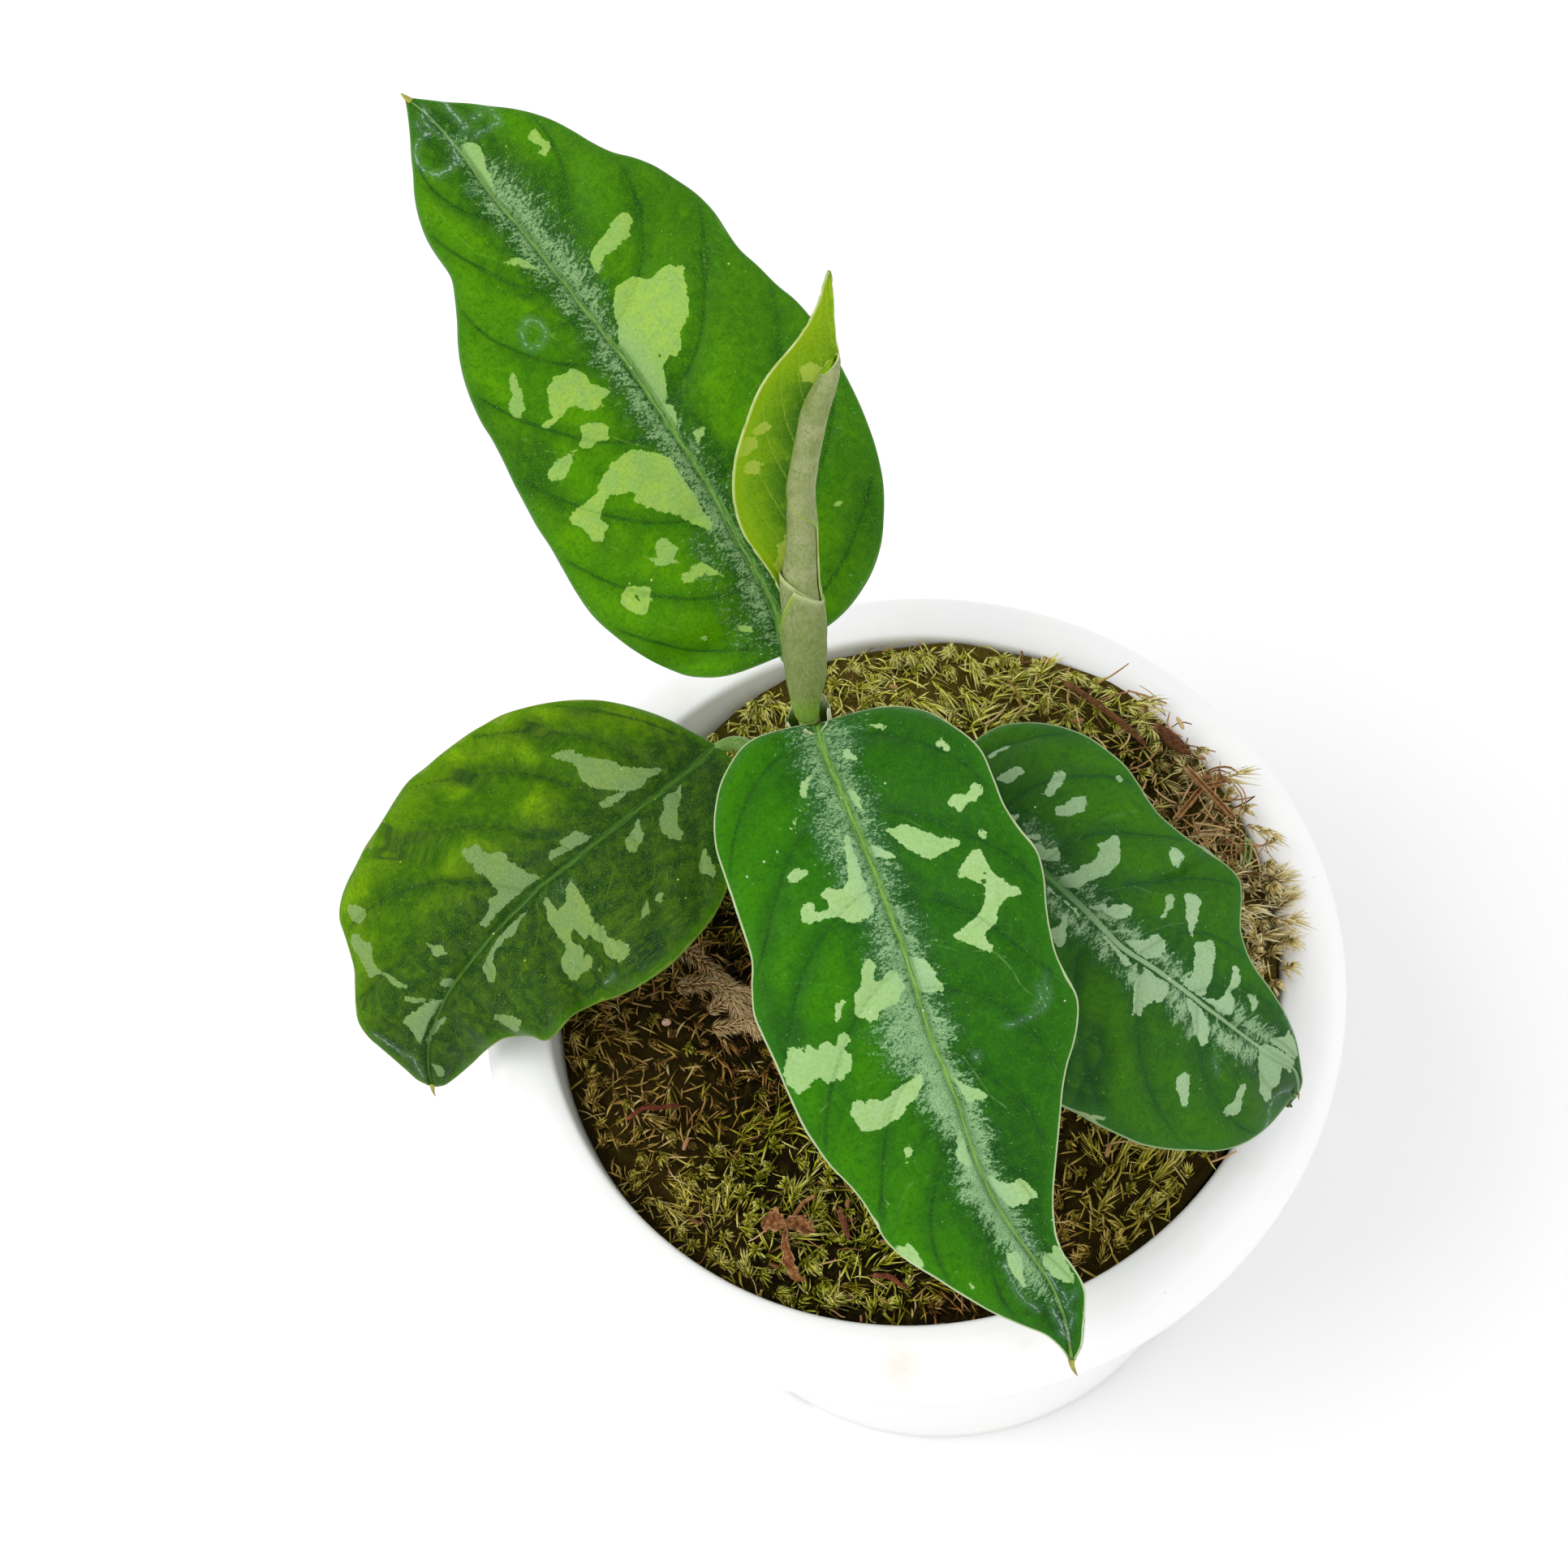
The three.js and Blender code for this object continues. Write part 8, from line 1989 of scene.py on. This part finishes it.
def grain_piece(mat):
    """A pitted grain of expanded mineral."""
    n, m = 26, 40
    th = np.linspace(0.001, math.pi - 0.001, n)[:, None]
    ph = np.arange(m)[None] * TAU / m
    D = np.stack([np.sin(th) * np.cos(ph), np.sin(th) * np.sin(ph), np.cos(th) + 0 * ph], -1)
    cell = fbm(D * 2.1 + 5, 4, 6, .6)
    R = 0.60 * (1 + 0.16 * cell - 0.12 * np.abs(vnoise(D * 4.0, 9)))
    z0 = float(moss_z(arr(-31.6), arr(-0.5))) + 1.3
    P = D * R[..., None] * arr((1, .85, .75)) + arr((-31.6, -0.5, z0))
    F = ring_faces(n, m)
    parts = Parts()
    k = np.arange(m)
    V = np.vstack([P.reshape(-1, 3), P[0].mean(0), P[-1].mean(0)])
    parts.add(V, [F, np.stack([k, (k + 1) % m, np.full(m, n * m)], 1)[:, ::-1], np.stack([(n - 1) * m + k, (n - 1) * m + (k + 1) % m, np.full(m, n * m + 1)], 1)])
    return parts.build("mineral_grain", mat)


def grain_material():
    g = Shade("mineral_grain_mat", rough=0.85, spec=0.3)
    o = g.obj()
    n = g.noise(o, 2.2, 4.0, 0.65)
    c = g.cells(o, 3.2)
    col = g.mix(g.step(0.35, 0.65, n), (206, 156, 130), (232, 200, 178))
    col = g.mix(g.step(0.5, 0.8, c, 0.0, 0.4), col, (160, 118, 96))
    return g.done(col, None, g.bump(g.add(c, n), 0.15, 0.8))


# ------------------------------------------------------------------ build it all
BASE = dict(
    u1=(78, 116, 58), u2=(98, 132, 74), u_vein=(124, 150, 92), u_pale=(140, 160, 112), u_mid=(124, 152, 80), u_dark=(56, 88, 42),
    fleck=(190, 204, 160), fleck2=(186, 186, 40))
PAL = {
    "A": dict(BASE, shift=(1, 2, 0), green=(58, 118, 5), bright=(88, 148, 0), dark=(32, 88, 10), deep=(19, 60, 18), pit=(30, 82, 2), rim=(54, 108, 26), lace_dark=(36, 78, 40),
              silver=(134, 172, 110), silver2=(148, 184, 126), blotch=(136, 178, 84), blotch2=(148, 186, 70), blotch3=(128, 170, 88), blotch_mid=(138, 176, 104), blotch_low=(104, 150, 60),
              line=(108, 152, 50), mid=(106, 150, 60), mid2=(46, 98, 36), mid_line=(132, 168, 92), margin=(90, 132, 66), margin_mix=.6, glow=.85, lace=.22, mid_w=.50, outer_mix=.30,
              shade_map=(1.0, 0.0, 5.0, 15.0, 0.45)),
    "B": dict(BASE, shift=(4, 1, 0), green=(50, 96, 2), bright=(118, 162, 0), mott=.26, shade=11.0, dark=(32, 74, 14), deep=(20, 54, 24), pit=(28, 68, 6), rim=(66, 122, 0), lace_dark=(30, 68, 28),
              silver=(92, 122, 72), silver2=(104, 134, 84), blotch=(114, 148, 84), blotch2=(124, 154, 74), blotch3=(104, 136, 78), blotch_mid=(112, 144, 94), blotch_low=(84, 122, 54),
              line=(96, 124, 24), mid=(70, 112, 36), mid2=(38, 80, 26), mid_line=(94, 128, 52), margin=(126, 148, 58), margin_mix=.55, glow=1.0, lace=.20, silver_w=.65, mid_w=.42, band=3.0,
              band_mix=.8, outer_mix=.45, patch0=.46, fine_mix=.22, shade_map=(-1.0, 0.06, -9.0, 3.0, 0.88)),
    "C": dict(BASE, shift=(2, 6, 0), green=(40, 100, 14), bright=(60, 128, 2), dark=(28, 80, 18), deep=(19, 60, 24), pit=(24, 72, 6), rim=(48, 112, 22), lace_dark=(50, 94, 52),
              silver=(134, 174, 122), silver2=(150, 188, 136), blotch=(152, 190, 116), blotch2=(160, 194, 132), blotch3=(142, 182, 110), blotch_mid=(150, 186, 138), blotch_low=(120, 164, 88),
              line=(104, 148, 72), mid=(112, 154, 60), mid2=(62, 112, 36), mid_line=(142, 176, 88), margin=(186, 200, 156), margin_mix=.9, glow=.7, lace=.195, solid=(26, 50, .17), fleck2=(200, 206, 186), mid_w=.42, outer_mix=.55,
              shade_map=(1.0, 0.0, 0.0, 9.0, 0.50)),
    "D": dict(BASE, shift=(6, 3, 0), green=(44, 92, 26), bright=(62, 118, 10), dark=(34, 80, 32), deep=(25, 64, 34), pit=(28, 70, 20), rim=(46, 100, 40), lace_dark=(70, 108, 72),
              silver=(138, 170, 126), silver2=(150, 180, 136), blotch=(146, 178, 134), blotch2=(154, 184, 142), blotch3=(136, 170, 124), blotch_mid=(148, 178, 142), blotch_low=(114, 150, 96),
              line=(88, 126, 70), mid=(86, 134, 62), mid2=(60, 110, 50), mid_line=(112, 148, 88), margin=(150, 172, 124), margin_mix=.85, glow=.7, lace=.27, solid=(16, 32, .30), hole=.75, soft=.26, rib_fade=.9, fleck2=(200, 206, 186), mid_w=.42, outer_mix=.35,
              shade_map=(0.2, 0.3, 8.0, 22.0, 0.35)),
}
VEINS = {
    "A": [(.02, .12, .24, .37, .50, .63, .76, .88), (.04, .15, .27, .41, .54, .67, .80, .90)],
    "B": [(.03, .14, .27, .40, .54, .68, .82), (.02, .13, .25, .38, .51, .65, .79)],
    "C": [(.02, .13, .25, .37, .50, .63, .76, .88), (.03, .15, .28, .41, .53, .66, .79, .90)],
    "D": [(.03, .15, .28, .42, .56, .70, .84), (.02, .14, .27, .40, .54, .68, .82)],
}
CROWN = {"A": .05, "B": .06, "C": .05, "D": .04}
NAMES = {"A": "leaf_back_left", "B": "leaf_left", "C": "leaf_front", "D": "leaf_right"}
TIPS = {
    "A": [[-38.3, 81.8, 178.0, .45], [-38.7, 82.3, 178.1, .32], [-39.05, 82.8, 178.1, .18], [-39.3, 83.2, 178.0, .06]],
    "B": [[-62.35, -2.0, 85.7, .35], [-62.4, -2.4, 85.0, .24], [-62.4, -2.7, 84.4, .13], [-62.3, -3.0, 84.0, .05]],
    "C": [[8.8, -59.6, 107.4, .40], [8.8, -60.1, 106.7, .30], [9.0, -60.6, 105.9, .18], [9.2, -60.95, 105.3, .06]],
    "D": [[42.9, -29.8, 98.4, .26], [42.9, -29.95, 97.9, .2], [42.9, -30.05, 97.5, .12], [42.85, -30.1, 97.2, .05]],
}

pet_mat = petiole_material("petiole_skin", (96, 136, 54), (116, 150, 74), (72, 112, 38), base=(104, 124, 74))
tip_mat = margin_material("leaf_tip", (150, 160, 34), (140, 126, 48))
for key in "ABCD":
    p = PAL[key]
    node = NAMES[key]
    mats = [leaf_material(node + "_top", p), under_material(node + "_under", p), margin_material(node + "_edge", p["margin"], p["rim"]), tip_mat]
    blade = Blade(key, CROWN[key], VEINS[key])
    ob = build_blade(node + "_blade", blade, mats, seed=ord(key), tip=TIPS[key])
    piece(ob, "leaf_variegated", node)

mem = membrane_material()
for node, path, seed in (("leaf_front", FRONT_PET, 3), ("leaf_back_left", BACK_PET, 5), ("leaf_left", LEFT_PET, 7), ("leaf_right", RIGHT_PET, 9)):
    parts = Parts()
    petiole(parts, path, seed=seed)
    if node == "leaf_front":
        front_sheath(parts)
    ob = parts.build(node + "_petiole", [pet_mat, mem])
    piece(ob, "leaf_variegated", node)

piece(new_leaf_piece(new_materials()), "leaf_new", "new_leaf")
piece(stem_piece([petiole_material("stem_skin", (92, 110, 50), (112, 124, 66), (72, 86, 38), base=(92, 80, 46)),
                  bark_material("old_sheath", (136, 104, 62), (166, 138, 92), (92, 64, 36), 0.8)]), "stem", "stem")
piece(pot_piece(pot_material()), "pot_plastic", "pot")
moss_mat = moss_material()
piece(moss_ground(ground_material()), "moss", "moss_bed")
for ob in moss_shoots(moss_mat):
    piece(ob, "moss")
piece(moss_litter(moss_mat), "moss")

rng = np.random.default_rng(5)
piece(stick_piece("twig_finish", [[26.9, 33.2, 0.45], [28.7, 30.8, 0.5], [30.5, 28.2, 0.5], [33.0, 25.3, 0.55], [34.9, 22.4, 0.4]],
                  bark_material("twig_bark", (110, 72, 42), (78, 48, 26), (156, 116, 76)), "bark", seed=2, n=60, scale=0.72,
                  knots=((.3, .9, .7, .5, .22), (.62, -.7, .6, .6, .2)), fray=4, rng=rng), "bark", "twig")
for k, (name, path, cols) in enumerate((
        ("straw_1", [[36.9, 11.6, 0.45], [38.8, 13.1, 0.45], [40.9, 14.7, 0.45], [43.4, 14.8, 0.4]], ((176, 132, 82), (140, 96, 54), (204, 170, 122))),
        ("straw_2", [[39.3, 17.6, 0.45, 1.1], [41.0, 14.3, 0.45, 1.3], [42.3, 12.2, 0.45, 0.5], [43.7, 9.8, 0.4, 0.2]], ((170, 128, 80), (134, 94, 54), (200, 166, 120))),
        ("straw_3", [[39.2, 8.6, 0.5], [40.6, 8.4, 0.5], [42.0, 8.2, 0.5]], ((194, 168, 124), (160, 124, 78), (216, 196, 160))),
        ("straw_4", [[45.0, 6.9, 0.5], [44.7, 5.4, 0.55], [44.0, 3.7, 0.5]], ((142, 158, 92), (118, 132, 66), (180, 188, 132))))):
    piece(straw_piece(name + "_finish", path, bark_material(name + "_fibre", *cols, 0.9, 0.7), 30 + k, 0.66), "straw", name)
piece(stick_piece("bark_strip_finish", [[36.8, 24.6, 0.8], [38.3, 22.3, 1.1], [39.6, 20.4, 1.0]], bark_material("bark_strip_mat", (96, 60, 34), (64, 38, 22), (142, 102, 64)), "bark", scale=0.8,
                  flat=.42, lump=.3, seed=6, n=46, sides=20, fray=5, rng=rng), "bark", "bark_strip")
piece(stick_piece("root_twig_finish", [[-38.5, -12.0, 0.4], [-36.4, -11.2, 0.45], [-34.6, -11.4, 0.45], [-32.0, -11.4, 0.35]], bark_material("root_twig_mat", (110, 52, 34), (78, 38, 26), (150, 92, 62)), "bark", scale=0.62,
                  seed=8, knots=((.4, .5, .9, .3, .16),), fray=3, rng=rng), "bark", "root_twig")
piece(stick_piece("stick_finish", [[-14.6, -29.3, 0.45], [-14.4, -31.0, 0.5], [-14.2, -32.6, 0.4]], bark_material("stick_mat", (126, 76, 50), (88, 50, 34), (172, 122, 90)), "bark", scale=0.85,
                  seed=11, fray=3, rng=rng), "bark", "stick")
piece(stick_piece("splinter_finish", [[-12.0, -38.3, 0.35], [-10.1, -38.9, 0.45], [-8.8, -40.3, 0.35]], bark_material("splinter_mat", (120, 66, 42), (84, 44, 30), (166, 112, 78)), "bark", scale=0.85,
                  seed=13, flat=.7, fray=4, rng=rng), "bark", "wood_splinter")
piece(loose_fibres(fibre_material()), "straw")
piece(dead_leaf(dead_leaf_material()), "dead_leaf", "dead_leaf_curl")
piece(dry_tuft(dry_material()), "dry_moss", "dry_moss_tuft")
piece(grain_piece(grain_material()), "mineral", "perlite_grain")

for node, mat in (("potting_mix", mix_material()), ("roots", root_material())):
    me = NODES[node].data
    me.materials.clear()
    me.materials.append(mat)

# -------------------------------------------------------- floor, light and camera
scene = bpy.context.scene
scene.view_settings.view_transform = "Standard"
scene.view_settings.look = "None"
g = Shade("studio_floor", rough=0.85, spec=0.2)
n = g.noise(g.obj(), 0.01, 2.0, 0.5)
floor_mat = g.done(g.mix(n, (243, 243, 243), (246, 246, 246)))
floor = mesh_object("studio_floor", [[-2500, -2500, 0], [2500, -2500, 0], [2500, 2500, 0], [-2500, 2500, 0]], [arr([[0, 1, 2, 3]]).astype(int)], floor_mat)

world = bpy.data.worlds.new("studio")
scene.world = world
world.use_nodes = True
world.node_tree.nodes["Background"].inputs["Color"].default_value = (1.0, 1.0, 1.0, 1)
world.node_tree.nodes["Background"].inputs["Strength"].default_value = 0.92


def softbox(name, at, to, size, watts, tint=(1, 1, 1)):
    light = bpy.data.lights.new(name, "AREA")
    light.shape = "RECTANGLE"
    light.size, light.size_y = size
    light.energy = watts
    light.color = tint
    ob = bpy.data.objects.new(name, light)
    scene.collection.objects.link(ob)
    ob.location = at
    d = arr(to) - arr(at)
    from mathutils import Vector
    ob.rotation_euler = Vector(d).to_track_quat("-Z", "Y").to_euler()
    return ob


softbox("key", (-0.45, -0.10, 0.95), (0, 0, 0.12), (0.55, 0.55), 4.0, (1.0, 0.99, 0.97))
softbox("fill", (0.70, -0.55, 0.60), (0, 0, 0.10), (0.8, 0.6), 1.2, (0.97, 0.98, 1.0))

from mathutils import Matrix
camera = bpy.data.cameras.new("camera")
camera.sensor_width = 36.0
camera.sensor_fit = "HORIZONTAL"
camera.lens = 36.0 * 5297.0 / 1932.0
camera.clip_start, camera.clip_end = 0.02, 20
cam = bpy.data.objects.new("camera", camera)
scene.collection.objects.link(cam)
R, U, B = (0.98139333, -0.17512074, -0.07873912), (0.19200814, 0.89507837, 0.40245196), (0.0, -0.41008222, 0.91204856)
cam.matrix_world = Matrix(((R[0], U[0], B[0], -0.0112000537), (R[1], U[1], B[1], -0.1993359248), (R[2], U[2], B[2], 0.5949111306), (0, 0, 0, 1)))
scene.camera = cam
